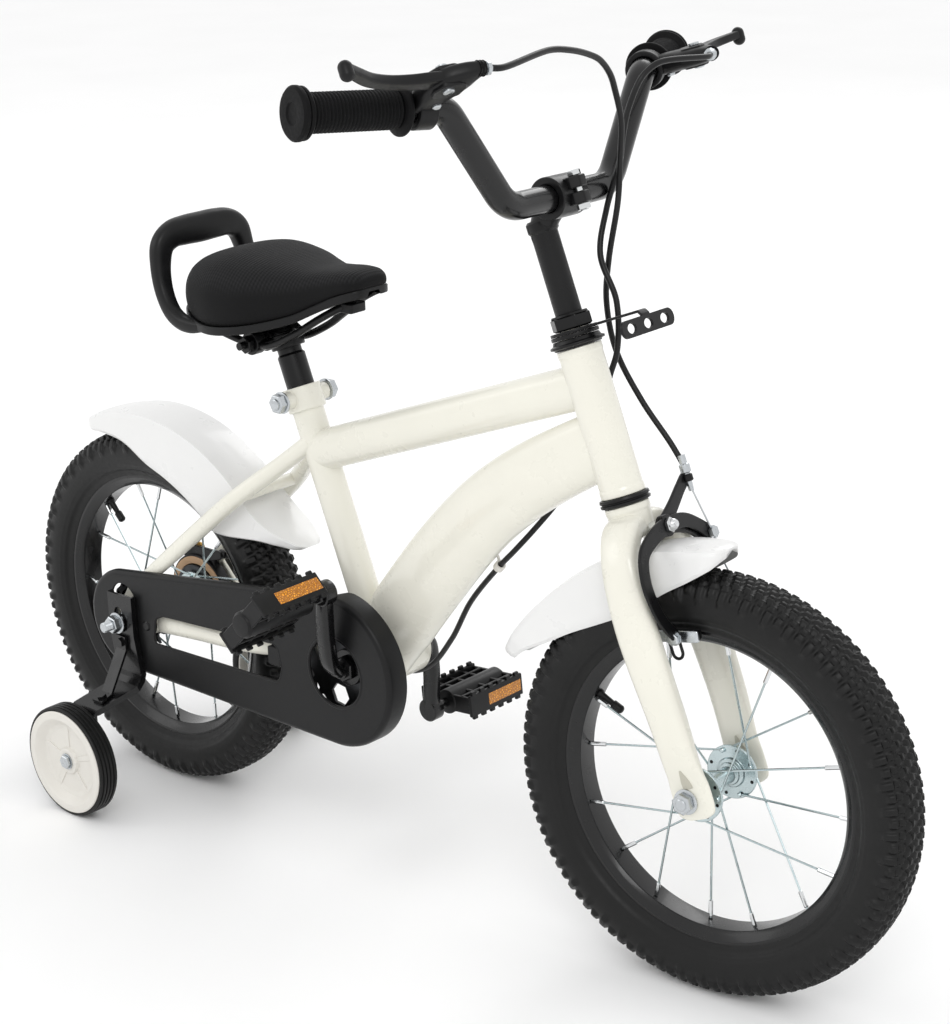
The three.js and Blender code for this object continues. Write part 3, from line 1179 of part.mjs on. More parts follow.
const rearWireRoute = [
  fromRearAxle(stopEnd + touchGap * 4 + cableRadius, bandLine, bandLineUp),
  fromRearAxle(-bandTipShares[1] * bandLineUp, bandLine, bandLineUp),
];
add(bicycle, 'rear_brake_cable', joined(cableTube(rearCableRoute), tube(rearWireRoute, wireRadius, 4)), cableSkin);
const clipHalf = 3.5;
const clipRadius = 5.2;
const clipBore = 3;
const makeClip = () => {
  const spot = rearCableRoute.findIndex((point) => point.y === 14);
  const middle = rearCableRoute[spot];
  const along = rearCableRoute[spot + 1].clone().sub(rearCableRoute[spot - 1]).setLength(clipHalf);
  const low = middle.clone().sub(along);
  const high = middle.clone().add(along);
  const beyond = along.clone().multiplyScalar(2);
  return cut(solid(rod(low, high, clipRadius, 10)), rod(middle.clone().sub(beyond), middle.clone().add(beyond), clipBore, 10));
};
add(bicycle, 'cable_clip', makeClip(), whitePlastic);

// Saddle: post, clamp, wire rails, a hard base with its carrying handle, and the padded top
const postLow = 110;
const postStep = 281;
const postTop = 301.7;
const postTopRadius = 11;
const saddleFront = -31;
const saddleLength = 219;
const saddleHalfWidth = 68;
const saddleDepth = 70;
const saddleRimRise = 42.5;
const saddleRimHeight = 7.5;
const saddleRimOverhang = 1.5;
const saddleRimWall = 4;
const saddleShell = 3;
const saddleUnderSlope = 2;
// place along, half width, height of the rim's lower edge and height of the crown, as shares of
// the saddle's length, half width, rim rise and depth
const saddleShares = [
  [0.009, 0.088, 1.000, 0.757], [0.037, 0.162, 0.969, 0.793], [0.096, 0.309, 0.835, 0.850],
  [0.187, 0.500, 0.612, 0.883], [0.279, 0.662, 0.376, 0.890], [0.370, 0.809, 0.224, 0.907],
  [0.498, 0.956, 0.082, 0.971], [0.644, 1.000, 0.000, 0.994], [0.772, 0.882, 0.024, 0.914],
  [0.863, 0.706, 0.071, 0.814], [0.936, 0.500, 0.101, 0.671], [0.993, 0.132, 0.153, 0.379],
];
// sideways and upward places round half the padding, drawn in at its foot and crowned at its top
const padSectionShares = [
  [0.955, 0], [1, 0.16], [1, 0.34], [0.965, 0.52], [0.88, 0.7], [0.72, 0.85], [0.48, 0.95], [0.24, 0.99], [0, 1],
];
const saddleLow = saddleHeight - saddleDepth;
const saddleStations = saddleShares.map(([along, wide, rim, top]) => ({
  x: saddleFront - along * saddleLength,
  wide: wide * saddleHalfWidth,
  rim: saddleLow + rim * saddleRimRise,
  top: saddleLow + top * saddleDepth,
}));
const makePad = () => loft(saddleStations.map(({ x, wide, rim, top }) => {
  const foot = rim + saddleRimHeight + touchGap;
  const half = padSectionShares.map(([out, up]) => at(x, out * wide, foot + up * (top - foot)));
  const other = half.slice(0, -1).reverse().map((point) => at(point.x, -point.y, point.z));
  return [...half, ...other];
}));
const railRadius = 3.5;
const railOut = 22;
const railClampBehind = 164;
const railClampHeight = 472;
const barrelRadius = 10.5;
const barrelHalf = 27;
const clampBoltRadius = 4;
const clampBoltRight = 40;
const clampBoltLeft = 35;
const clampBoltHeadRadius = 8;
const clampBoltHead = 5;
const clampRingLow = 287;
const clampRingHigh = 300;
const clampRingRadius = 15.5;
const railHalf = [
  at(-217, 38, 492.4), at(-205, 34, 484), at(-182, railOut, railClampHeight), at(-railClampBehind, railOut, railClampHeight),
  at(-146, railOut, railClampHeight), at(-112, 20, 487), at(-86, 16, 503), at(-70, 11, 512.5), at(-62, 6, 517),
];
const railRoute = () => {
  const mirrored = railHalf.map((point) => at(point.x, -point.y, point.z));
  return smoothPath([...railHalf, at(-59.5, 0, 518), ...mirrored.reverse()], 30);
};
const frontSocketBack = 70;
const frontSocketFront = 51;
const frontSocketHalf = 10;
const frontSocketLow = 511.5;
const frontSocketHigh = 520;
const rearSocketBack = 224;
const rearSocketFront = 205;
const rearSocketHalf = 8;
const rearSocketLow = 484;
const rearSocketHigh = 495;
const handleLegRadius = 7;
const handleBarHalfHeight = 14;
const handleBarHalfDepth = 8.5;
const handleRootX = -205;
const handleReach = 47;
const handleRootHalf = 62;
const handleRootHeight = 489.5;
const handleRise = 74.5;
// back, out and up along one leg of the handle, as shares of its reach, half width and rise
const handleShares = [[0, 0.95, 0], [0.45, 0.93, 0.08], [0.85, 0.82, 0.45], [1, 0.68, 0.92]];
const handleBarShares = [[-0.78, 0.4], [-0.7, 0.8], [-0.45, 1], [0.45, 1], [0.7, 0.8], [0.78, 0.4]];
const makeSaddleBase = () => {
  const shell = loft(saddleStations.map(({ x, wide, rim }) => {
    const out = wide + saddleRimOverhang;
    const wall = Math.min(saddleRimWall, out / 3);
    const inner = out - wall;
    const slope = Math.min(saddleUnderSlope, inner / 3);
    const half = [
      [out, 0], [out, saddleRimHeight], [-out, saddleRimHeight], [-out, 0], [-inner, 0],
      [-inner + slope, saddleRimHeight - saddleShell], [inner - slope, saddleRimHeight - saddleShell], [inner, 0],
    ];
    return half.map(([y, z]) => at(x, y, rim + z));
  }));
  const pieces = [];
  both.forEach((side) => {
    const leg = handleShares.map(([back, out, up]) => (
      at(handleRootX - back * handleReach, side * out * handleRootHalf, handleRootHeight + up * handleRise)
    ));
    pieces.push(tube(leg, handleLegRadius, 8));
    pieces.push(block(at(-rearSocketBack, side * railHalf[0].y - rearSocketHalf, rearSocketLow), at(-rearSocketFront, side * railHalf[0].y + rearSocketHalf, rearSocketHigh)));
  });
  pieces.push(sweep(handleBarShares.map(([out, size]) => ({
    centre: at(handleRootX - handleReach, out * handleRootHalf, handleRootHeight + handleRise),
    wide: size * handleBarHalfDepth,
    deep: size * handleBarHalfHeight,
  })), ovalOutline(8, 2.8), X));
  pieces.push(block(at(-frontSocketBack, -frontSocketHalf, frontSocketLow), at(-frontSocketFront, frontSocketHalf, frontSocketHigh)));
  return cut(joined(shell, ...pieces), tube(railRoute(), railRadius + touchGap, 5));
};
const makeSaddleClamp = () => {
  const ringBody = rod(onSeatTube(clampRingLow), onSeatTube(clampRingHigh), clampRingRadius, 10);
  const bore = rod(onSeatTube(clampRingLow - cutOverrun), onSeatTube(clampRingHigh + cutOverrun), postTopRadius + touchGap * 4, 8);
  const spot = (y) => at(-railClampBehind, y, railClampHeight);
  const whole = joined(
    ringBody, rod(spot(-barrelHalf), spot(barrelHalf), barrelRadius, 8),
    rod(spot(-clampBoltRight), spot(clampBoltLeft), clampBoltRadius, 6),
    rod(spot(-barrelHalf - clampBoltHead), spot(-barrelHalf + touchGap), clampBoltHeadRadius, 6),
    rod(spot(barrelHalf - touchGap), spot(barrelHalf + clampBoltHead), clampBoltHeadRadius, 6),
  );
  const tunnels = both.map((side) => rod(
    at(-railClampBehind - barrelRadius * 2, side * railOut, railClampHeight),
    at(-railClampBehind + barrelRadius * 2, side * railOut, railClampHeight), railRadius * 1.3, 6,
  ));
  return cut(whole, bore, ...tunnels);
};
add(bicycle, 'seat_post', turnedAlong(onSeatTube(0), onSeatTube(1), [
  [postLow, 0], [postLow, seatPostRadius], [postStep - cutOverrun, seatPostRadius], [postStep, postTopRadius], [postTop, postTopRadius], [postTop, 0],
], 14), zincSteel);
add(bicycle, 'saddle_clamp', makeSaddleClamp(), blackSteel);
add(bicycle, 'saddle_rails', tube(railRoute(), railRadius, 5), blackSteel);
add(bicycle, 'saddle_base', makeSaddleBase(), blackPlastic);
add(bicycle, 'saddle_pad', makePad(), meshFabric);

// Bottom bracket cups and the crank, forged in one piece with its two arms and pedal spindles
const cupFlangeRadius = 28.5;
const cupFlangeOut = 36.5;
const cupInside = 22;
const cupThroat = 16.5;
const makeBottomCup = (side) => turnedAlong(bottomBracket, bottomBracket.clone().setY(side), [
  [cupInside, cupThroat], [cupInside, shellBore - touchGap * 3], [shellHalf + touchGap, shellBore - touchGap * 3],
  [shellHalf + touchGap, cupFlangeRadius], [cupFlangeOut, cupFlangeRadius], [cupFlangeOut, cupThroat],
], 16);
both.forEach((side) => add(bicycle, `bottom_bracket_cup_${sideName(side)}`, makeBottomCup(side), blackSteel));

const crankGroup = new THREE.Group();
crankGroup.position.copy(bottomBracket);
crankGroup.rotation.y = rad(90 - crankAtRestDeg);
bicycle.add(crankGroup);
const armHalfWide = 8;
const armHalfThick = 6.5;
const eyeRadius = 11;
const eyeHalf = 6.5;
const spindleRadius = 8;
const spindleStraight = 50;
const pedalSpindleRadius = 4.5;
const pedalShoulderRadius = 8;
const pedalShoulder = 4;
const crankConeRadius = 15.6;
const crankConeInside = 26;
const crankConeOutside = 36.6;
const rightDiscOut = 47;
const rightDiscRadius = 17;
const rightNutOut = 53;
const rightNutRadius = 12.5;
const leftNutOut = 46;
const leftNutRadius = 14;
// distance out along an arm and sideways place, as shares of the crank length and of the pedal reach
const crankArmShares = [[0, 0.7], [0.14, 0.85], [0.41, 0.925], [0.71, 0.97], [1, 1]];
const pedalLength = 75;
const pedalInRight = 103;
const pedalInLeft = 92;
const makeCrank = () => {
  const half = (side, reach) => crankArmShares.map(([out, aside]) => at(0, side * aside * reach, -side * out * crankLength));
  const path = [...half(-1, pedalReachRight).reverse(), ...half(1, pedalReachLeft)];
  const last = path.length - 1;
  const bar = sweep(path.map((centre, i) => ({
    centre,
    wide: i === 0 || i === last ? armHalfWide * 0.8 : armHalfWide,
    deep: armHalfThick,
  })), ovalOutline(6, 3), X);
  const spot = (y) => at(0, y, 0);
  const pieces = [
    rod(spot(-spindleStraight), spot(spindleStraight), spindleRadius, 6),
    rod(spot(-crankConeOutside), spot(-crankConeInside), crankConeRadius, 8),
    rod(spot(crankConeInside), spot(crankConeOutside), crankConeRadius, 8),
    rod(spot(-rightDiscOut), spot(-chainLine - toothThick / 2 - touchGap), rightDiscRadius, 8),
    rod(spot(-rightNutOut), spot(-rightDiscOut + touchGap), rightNutRadius, 6),
    rod(spot(crankConeOutside - touchGap), spot(leftNutOut), leftNutRadius, 6),
  ];
  [[-1, pedalReachRight, pedalInRight], [1, pedalReachLeft, pedalInLeft]].forEach(([side, reach, start]) => {
    const eye = (out) => at(0, side * out, -side * crankLength);
    pieces.push(rod(eye(reach - eyeHalf), eye(reach + eyeHalf), eyeRadius, 8));
    pieces.push(rod(eye(reach), eye(reach + eyeHalf + pedalShoulder), pedalShoulderRadius, 6));
    pieces.push(rod(eye(reach), eye(start + pedalLength - pedalShoulder), pedalSpindleRadius, 6));
  });
  return joined(bar, ...pieces);
};

// Chain drive: chainring, freewheel sprocket and chain in one plane on the right
const chainLine = 40.2;
const toothThick = 2.8;
const rollerRadius = 3.9;
const toothTip = 3.2;
const rollerSeat = 0.35;
const ringHoleCount = 5;
const ringHoleRadius = 11;
const ringHoleAt = 35;
const chainringRadius = chainPitch / (2 * Math.sin(Math.PI / chainringTeethCount));
const sprocketRadius = chainPitch / (2 * Math.sin(Math.PI / sprocketTeethCount));
// place within one tooth and height above the roller's seat, as shares of the tooth's own arc and rise
const toothShares = [[-0.2, 0], [0.2, 0], [0.5, 1]];
const toothOutline = (count, radius, phase) => {
  const seat = radius - rollerRadius - rollerSeat;
  const points = [];
  for (let i = 0; i < count; i += 1) {
    toothShares.forEach(([share, rise]) => {
      const angle = phase + ((i + share) / count) * 2 * Math.PI;
      const reach = seat + rise * (toothTip + rollerRadius + rollerSeat);
      points.push([reach * Math.cos(angle), reach * Math.sin(angle)]);
    });
  }
  return points;
};
// The chain's path: rollers one pitch apart round both wheels, with a straight run between them
const driveSpan = rearAxle.distanceTo(bottomBracket);
const driveTilt = Math.atan2(bottomBracket.z - rearAxle.z, bottomBracket.x - rearAxle.x);
const beltTilt = Math.asin((chainringRadius - sprocketRadius) / driveSpan);
const runLength = driveSpan * Math.cos(beltTilt);
const ringArc = chainringRadius * (Math.PI + 2 * beltTilt);
const sprocketArc = sprocketRadius * (Math.PI - 2 * beltTilt);
const loopLength = 2 * runLength + ringArc + sprocketArc;
const onChain = (share) => {
  let left = share * loopLength;
  const start = driveTilt + Math.PI / 2 + beltTilt;
  const round = (centre, radius, angle) => at(centre.x + radius * Math.cos(angle), 0, centre.z + radius * Math.sin(angle));
  if (left < ringArc) {
    return round(bottomBracket, chainringRadius, start - left / chainringRadius);
  }
  left -= ringArc;
  const lowAngle = driveTilt - Math.PI / 2 - beltTilt;
  if (left < runLength) {
    return round(bottomBracket, chainringRadius, lowAngle).lerp(round(rearAxle, sprocketRadius, lowAngle), left / runLength);
  }
  left -= runLength;
  if (left < sprocketArc) {
    return round(rearAxle, sprocketRadius, lowAngle - left / sprocketRadius);
  }
  left -= sprocketArc;
  return round(rearAxle, sprocketRadius, start).lerp(round(bottomBracket, chainringRadius, start), left / runLength);
};
const chainringPhase = driveTilt + Math.PI / 2 + beltTilt;
const firstOnSprocket = Math.ceil(((ringArc + runLength) / loopLength) * chainLinkCount);
const firstRoller = onChain(firstOnSprocket / chainLinkCount).sub(rearAxle);
const sprocketPhase = Math.atan2(firstRoller.z, firstRoller.x);
const makeChainring = () => {
  const phase = chainringPhase - rad(crankAtRestDeg) + Math.PI / 2;
  const hole = circleOutline(0, 0, spindleRadius + touchGap * 3, 10);
  const holes = Array.from({ length: ringHoleCount }, (_, i) => {
    const angle = ((i + 0.5) / ringHoleCount) * 2 * Math.PI;
    return circleOutline(ringHoleAt * Math.cos(angle), ringHoleAt * Math.sin(angle), ringHoleRadius, 6);
  });
  return plate(toothOutline(chainringTeethCount, chainringRadius, phase), [hole, ...holes], -chainLine - toothThick / 2, -chainLine + toothThick / 2);
};
add(crankGroup, 'crank', makeCrank(), blackSteel);
add(crankGroup, 'chainring', makeChainring(), blackSteel);
const freewheelInside = 31;
const freewheelOutside = 45.3;
const freewheelRadius = 22;
const makeFreewheel = () => {
  const disc = plate(toothOutline(sprocketTeethCount, sprocketRadius, sprocketPhase), [circleOutline(0, 0, hubBarrelRadius + touchGap * 3, 10)],
    -chainLine - toothThick / 2, -chainLine + toothThick / 2);
  const body = turned([
    [-freewheelOutside, hubBarrelRadius + touchGap * 3], [-freewheelOutside, freewheelRadius - toothThick], [-chainLine, freewheelRadius],
    [-freewheelInside, freewheelRadius], [-freewheelInside, hubBarrelRadius + touchGap * 3],
  ], 10);
  return joined(disc, body);
};
add(rearWheel, 'freewheel_sprocket', makeFreewheel(), zincSteel);
const chainHalfWidth = 4.4;
const chainHalfHeight = 4.3;
const chainInsideHalf = 2;
const rollerStep = 4;
const rollerHalfShare = 0.8;
// One side of the chain, bending only where the rollers lie on a wheel
const makeBelt = (from, to) => {
  const all = Array.from({ length: chainLinkCount }, (_, i) => onChain(i / chainLinkCount));
  const neighbours = (i) => [all[(i + chainLinkCount - 1) % chainLinkCount], all[(i + 1) % chainLinkCount]];
  const bends = (spot, i) => {
    const [before, after] = neighbours(i);
    return spot.clone().sub(before).angleTo(after.clone().sub(spot)) > rad(1);
  };
  const rings = all.map((spot, i) => {
    const [before, after] = neighbours(i);
    const along = after.clone().sub(before).normalize();
    const out = at(-along.z, 0, along.x);
    return bends(spot, i) ? [[from, 1], [to, 1], [to, -1], [from, -1]].map(([aside, up]) => (
      spot.clone().addScaledVector(out, up * chainHalfHeight).setY(-chainLine + aside))) : [];
  }).filter((ring) => ring.length > 0);
  const count = rings.length;
  const triangles = [];
  for (let j = 0; j < count; j += 1) {
    for (let i = 0; i < 4; i += 1) {
      const a = j * 4 + i;
      const b = j * 4 + ((i + 1) % 4);
      const c = ((j + 1) % count) * 4 + i;
      const d = ((j + 1) % count) * 4 + ((i + 1) % 4);
      triangles.push(a, b, c, b, d, c);
    }
  }
  return closedBody(rings.flat(), triangles);
};
const makeChain = () => {
  const belts = [makeBelt(-chainHalfWidth, -chainInsideHalf), makeBelt(chainInsideHalf, chainHalfWidth)];
  const rollers = [];
  for (let i = 0; i < chainLinkCount; i += rollerStep) {
    const spot = onChain(i / chainLinkCount);
    const half = (chainInsideHalf + chainHalfWidth) / 2;
    rollers.push(rod(spot.clone().setY(-chainLine - half), spot.clone().setY(-chainLine + half), rollerRadius * rollerHalfShare, 6));
  }
  return joined(...belts, ...rollers);
};

// Pedals: a barrel on the spindle, a plate in front and one behind, cross ribs and gripping teeth
const pedalHalfDepth = 32;
const pedalPlateThick = 3.5;
const pedalHalfHeight = 11;
const pedalTooth = 3;
const pedalToothCount = 3;
const pedalToothWide = 5;
const pedalBarrelRadius = 9;
const pedalBore = 5.4;
const pedalRibHalfHeight = 8;
const pedalRibThick = 4;
const pedalCapRadius = 12;
const pedalTiltRightDeg = 45;
const pedalTiltLeftDeg = 5;
const makePedal = (side, start) => {
  const end = start + pedalLength;
  const span = (from, to) => (side < 0 ? [-to, -from] : [from, to]);
  const slab = (lowX, highX, from, to, lowZ, highZ) => {
    const [a, b] = span(from, to);
    return block(at(lowX, a, lowZ), at(highX, b, highZ));
  };
  const pieces = [rod(at(0, side * start, 0), at(0, side * end, 0), pedalCapRadius, 8)];
  const plateIn = pedalHalfDepth - pedalPlateThick;
  both.forEach((way) => {
    const [lowX, highX] = way < 0 ? [-pedalHalfDepth, -plateIn] : [plateIn, pedalHalfDepth];
    pieces.push(slab(lowX, highX, start, end - pedalRibThick, -pedalHalfHeight, pedalHalfHeight));
    for (let i = 0; i < pedalToothCount; i += 1) {
      const place = start + ((i + 0.5) / pedalToothCount) * (pedalLength - pedalRibThick);
      pieces.push(slab(lowX, highX, place - pedalToothWide / 2, place + pedalToothWide / 2, -pedalHalfHeight - pedalTooth, pedalHalfHeight + pedalTooth));
    }
  });
  [0, 0.55].forEach((share) => {
    const from = start + share * (pedalLength - pedalRibThick * 3);
    pieces.push(slab(-plateIn - pedalPlateThick / 2, plateIn + pedalPlateThick / 2, from + pedalRibThick, from + pedalRibThick * 2, -pedalRibHalfHeight, pedalRibHalfHeight));
  });
  return cut(joined(...pieces), rod(at(0, side * (start - cutOverrun), 0), at(0, side * (end - pedalPlateThick), 0), pedalBore, 6));
};
both.forEach((side) => {
  const group = new THREE.Group();
  const tilt = side < 0 ? pedalTiltRightDeg : pedalTiltLeftDeg;
  group.position.set(0, 0, -side * crankLength);
  group.rotation.y = -rad(tilt) - rad(90 - crankAtRestDeg);
  crankGroup.add(group);
  add(group, `pedal_${sideName(side)}`, makePedal(side, side < 0 ? pedalInRight : pedalInLeft), blackPlastic);
});
add(bicycle, 'chain', makeChain(), zincSteel);

// Chain guard: a plate over the drive with a turned-in rim, deeper round its front end
const guardRearRadius = 50;
const guardFrontRadius = 71;
const guardFrontForward = -2.8;
const guardFace = 62;
const guardThick = 2.5;
const guardRim = 8;
const guardDeepRim = 22;
const guardRimThick = 2;
const guardHoleRadius = 33;
const guardSlotShares = [[0.145, -0.03], [0.152, -0.049], [0.745, -0.031], [0.762, 0.02], [0.745, 0.1], [0.2, 0.063], [0.158, 0.045]];
const guardArchHalf = 21;
const guardArchBehind = 4;
const guardArchLow = -13;
const guardArchHigh = 20;
const guardBossRadius = 7;
const guardBossForward = 33;
const guardBossUp = 2;
const guardStrapFront = 112;
const guardStrapRear = 128;
const guardStrapLow = 184;
const guardStrapHigh = 202;
const guardStrapEnd = 43.6;
const guardScrewRadius = 2.5;
const guardSideCount = 12;
const guardOutline = (rear, front) => {
  const frontX = bottomBracket.x + guardFrontForward;
  const span = Math.hypot(frontX - rearAxle.x, bottomBracket.z - rearAxle.z);
  const tilt = Math.atan2(bottomBracket.z - rearAxle.z, frontX - rearAxle.x);
  const lean = Math.asin((front - rear) / span);
  const points = [];
  const turn = Math.PI / 2 + lean;
  for (let i = 0; i <= guardSideCount; i += 1) {
    const angle = tilt - turn + (i / guardSideCount) * 2 * turn;
    points.push([frontX + front * Math.cos(angle), bottomBracket.z + front * Math.sin(angle)]);
  }
  for (let i = 0; i <= guardSideCount; i += 1) {
    const angle = tilt + turn + (i / guardSideCount) * 2 * (Math.PI - turn);
    points.push([rearAxle.x + rear * Math.cos(angle), rearAxle.z + rear * Math.sin(angle)]);
  }
  return points;
};
const makeGuard = () => {
  const outer = guardOutline(guardRearRadius, guardFrontRadius);
  const inner = guardOutline(guardRearRadius - guardRimThick, guardFrontRadius - guardRimThick);
  const back = -guardFace + guardThick;
  const deep = plate(outer, [], -guardFace, -guardFace + guardDeepRim);
  const behind = block(
    at(rearAxle.x - guardRearRadius - cutOverrun, -guardFace + guardRim, 0),
    at(bottomBracket.x, -guardFace + guardDeepRim + cutOverrun, guardFrontRadius * 4),
  );
  const hollow = plate(inner, [], back, -guardFace + guardDeepRim + cutOverrun);
  const through = (outline) => plate(outline, [], -guardFace - cutOverrun, back + cutOverrun);
  const slot = guardSlotShares.map(([along, up]) => [rearAxle.x + along * driveSpan, rearAxle.z + up * driveSpan]);
  const archX = rearAxle.x + guardArchBehind;
  const arch = [[archX - guardArchHalf, rearAxle.z + guardArchLow], [archX + guardArchHalf, rearAxle.z + guardArchLow],
    ...circleOutline(archX, rearAxle.z + guardArchHigh, guardArchHalf, 16).slice(0, 9)];
  const bossPlace = fromRearAxle(guardBossForward, 0, guardBossUp);
  const boss = rod(bossPlace.clone().setY(-guardFace + guardThick / 2), bossPlace.clone().setY(-dropoutOutside - touchGap), guardBossRadius, 6);
  const strap = block(at(-guardStrapRear, -guardFace + guardThick / 2, guardStrapLow), at(-guardStrapFront, -guardStrapEnd, guardStrapHigh));
  const screw = rod(bossPlace.clone().setY(-guardFace - cutOverrun), bossPlace.clone().setY(-dropoutInside), guardScrewRadius, 6);
  const shell = cut(solid(deep), behind, hollow, through(slot), through(arch), through(circleOutline(bottomBracket.x, bottomBracket.z, guardHoleRadius, 16)));
  return cut(shell.add(solid(boss)).add(solid(strap)), screw);
};
add(bicycle, 'chain_guard', makeGuard(), blackPlastic);

// Stabilisers: a bent channel bracket with a brace, and a wheel on a bolt at its foot
const bracketHalfWide = 17.5;
const bracketRoll = 3.5;
const bracketMiddle = bracketFace - bracketThick / 2;
const bracketTop = 207;
const bracketBend = 122;
const bracketFootFace = 120;
const bracketFootMiddle = bracketFootFace - bracketThick / 2;
const bracketFootLow = 40;
const bracketFootTop = 98;
const bracketFootBend = 104;
const bracketX = -327;
const bracketBendX = -320;
const bracketFootX = -336;
const bracketSlotLow = 168;
const bracketSlotHigh = 194;
const bracketSlotHalf = 5.8;
const footHoleRadius = 4.7;
const footBoltRadius = 4;
const braceHalfWide = 7;
const braceThick = 3;
const braceRoll = 2.5;
const braceTop = 166;
const braceBoltHeight = 159;
const braceBoltRadius = 2.5;
const braceBoltHole = 3;
const braceHeadRadius = 5;
const braceHead = 2.5;
const braceX = -326;
const braceLowX = -323;
const channelRings = (stations, half, thick, roll, side) => stations.map(([x, out, z], i) => {
  const before = stations[Math.max(i - 1, 0)];
  const after = stations[Math.min(i + 1, stations.length - 1)];
  const along = at(0, after[1] - before[1], after[2] - before[2]).normalize();
  const outward = at(0, -along.z, along.y);
  const section = [
    [-half, 0.5], [half, 0.5], [half, -0.5 - roll / thick], [half - thick, -0.5 - roll / thick], [half - thick, -0.5],
    [-half + thick, -0.5], [-half + thick, -0.5 - roll / thick], [-half, -0.5 - roll / thick],
  ];
  return section.map(([aside, share]) => {
    const place = at(x + aside, out, z).addScaledVector(outward, share * thick);
    return at(place.x, side * place.y, place.z);
  });
});
const slopeStart = at(0, bracketMiddle + bracketRoll * 2, bracketBend - bracketRoll);
const slope = at(0, bracketFootMiddle - bracketRoll, bracketFootBend).sub(slopeStart).normalize();
const slopeOut = at(0, -slope.z, slope.y);
const bracketStations = [
  [bracketX, bracketMiddle, bracketTop], [bracketX, bracketMiddle, bracketSlotLow], [bracketBendX, bracketMiddle, bracketBend + bracketRoll * 2],
  [bracketBendX, bracketMiddle + bracketRoll / 2, bracketBend + bracketRoll / 2], [bracketBendX, slopeStart.y, slopeStart.z],
  [bracketFootX + bracketRoll, bracketFootMiddle - bracketRoll, bracketFootBend], [bracketFootX, bracketFootMiddle, bracketFootTop],
  [bracketFootX, bracketFootMiddle, bracketFootLow],
];
const bracePlace = (distance) => slopeStart.clone().setX(braceLowX).addScaledVector(slope, distance)
  .addScaledVector(slopeOut, bracketThick / 2 + touchGap + braceThick / 2);
const braceLand = 21;
const braceLandLength = 14;
const makeBracket = (side) => {
  const body = loft(channelRings(bracketStations, bracketHalfWide, bracketThick, bracketRoll, side));
  const across = (y) => side * y;
  const bore = (x, z, radius, sides) => rod(at(x, across(bracketFace - bracketThick * 3), z), at(x, across(bracketFace + cutOverrun), z), radius, sides);
  const slot = [bore(rearAxle.x, bracketSlotLow + bracketSlotHalf, bracketSlotHalf, 8), bore(rearAxle.x, bracketSlotHigh - bracketSlotHalf, bracketSlotHalf, 8)];
  const low = at(rearAxle.x - bracketSlotHalf, bracketFace - bracketThick * 3, bracketSlotLow + bracketSlotHalf);
  const high = at(rearAxle.x + bracketSlotHalf, bracketFace + cutOverrun, bracketSlotHigh - bracketSlotHalf);
  const middle = side < 0 ? block(low.clone().setY(-high.y), high.clone().setY(-low.y)) : block(low, high);
  const foot = rod(at(bracketFootX, across(bracketFootFace - bracketThick * 3), stabiliserRadius), at(bracketFootX, across(bracketFootFace + cutOverrun), stabiliserRadius), footHoleRadius, 6);
  const spot = bracePlace(braceLand + braceLandLength / 2);
  const drill = (reach) => at(spot.x, side * (spot.y + slopeOut.y * reach), spot.z + slopeOut.z * reach);
  return cut(solid(body), ...slot, middle, foot, bore(braceX, braceBoltHeight, braceBoltHole, 8), rod(drill(-bracketThick * 4), drill(bracketThick), braceBoltHole, 6));
};
const makeBrace = (side) => {
  const out = bracketFace + touchGap + braceThick / 2;
  const start = bracePlace(braceLand);
  const end = bracePlace(braceLand + braceLandLength);
  const stations = [[braceX, out, braceTop], [braceX, out, braceBoltHeight - braceHalfWide], [start.x, start.y, start.z], [end.x, end.y, end.z]];
  const body = loft(channelRings(stations, braceHalfWide, braceThick, -touchGap, side));
  const upper = (y) => at(braceX, side * y, braceBoltHeight);
  const face = bracketFace + touchGap + braceThick;
  const behind = bracketFace - bracketThick - touchGap;
  const spot = bracePlace(braceLand + braceLandLength / 2);
  const lower = (reach) => at(spot.x, side * (spot.y + slopeOut.y * reach), spot.z + slopeOut.z * reach);
  const under = braceThick / 2 + touchGap * 2 + bracketThick;
  return joined(
    body, rod(upper(behind - braceHead), upper(face + braceHead), braceBoltRadius, 6),
    rod(upper(face - touchGap), upper(face + braceHead), braceHeadRadius, 6), rod(upper(behind - braceHead), upper(behind), braceHeadRadius, 6),
    rod(lower(-under - braceHead), lower(braceThick / 2 + braceHead), braceBoltRadius, 6),
    rod(lower(braceThick / 2 - touchGap), lower(braceThick / 2 + braceHead), braceHeadRadius, 6), rod(lower(-under - braceHead), lower(-under), braceHeadRadius, 6),
  );
};
const stabiliserTyreInside = 44;
const stabiliserInside = 122;
const stabiliserWebHalf = 3;
const stabiliserHubRadius = 12;
const stabiliserBore = 5.4;
const stabiliserShaft = 4.8;
const stabiliserRecess = 4;
const stabiliserHeadRadius = 8;
const stabiliserRimWall = 3.5;
const stabiliserGroove = 1.2;
const stabiliserShoulder = 3;
const stabiliserSides = 16;
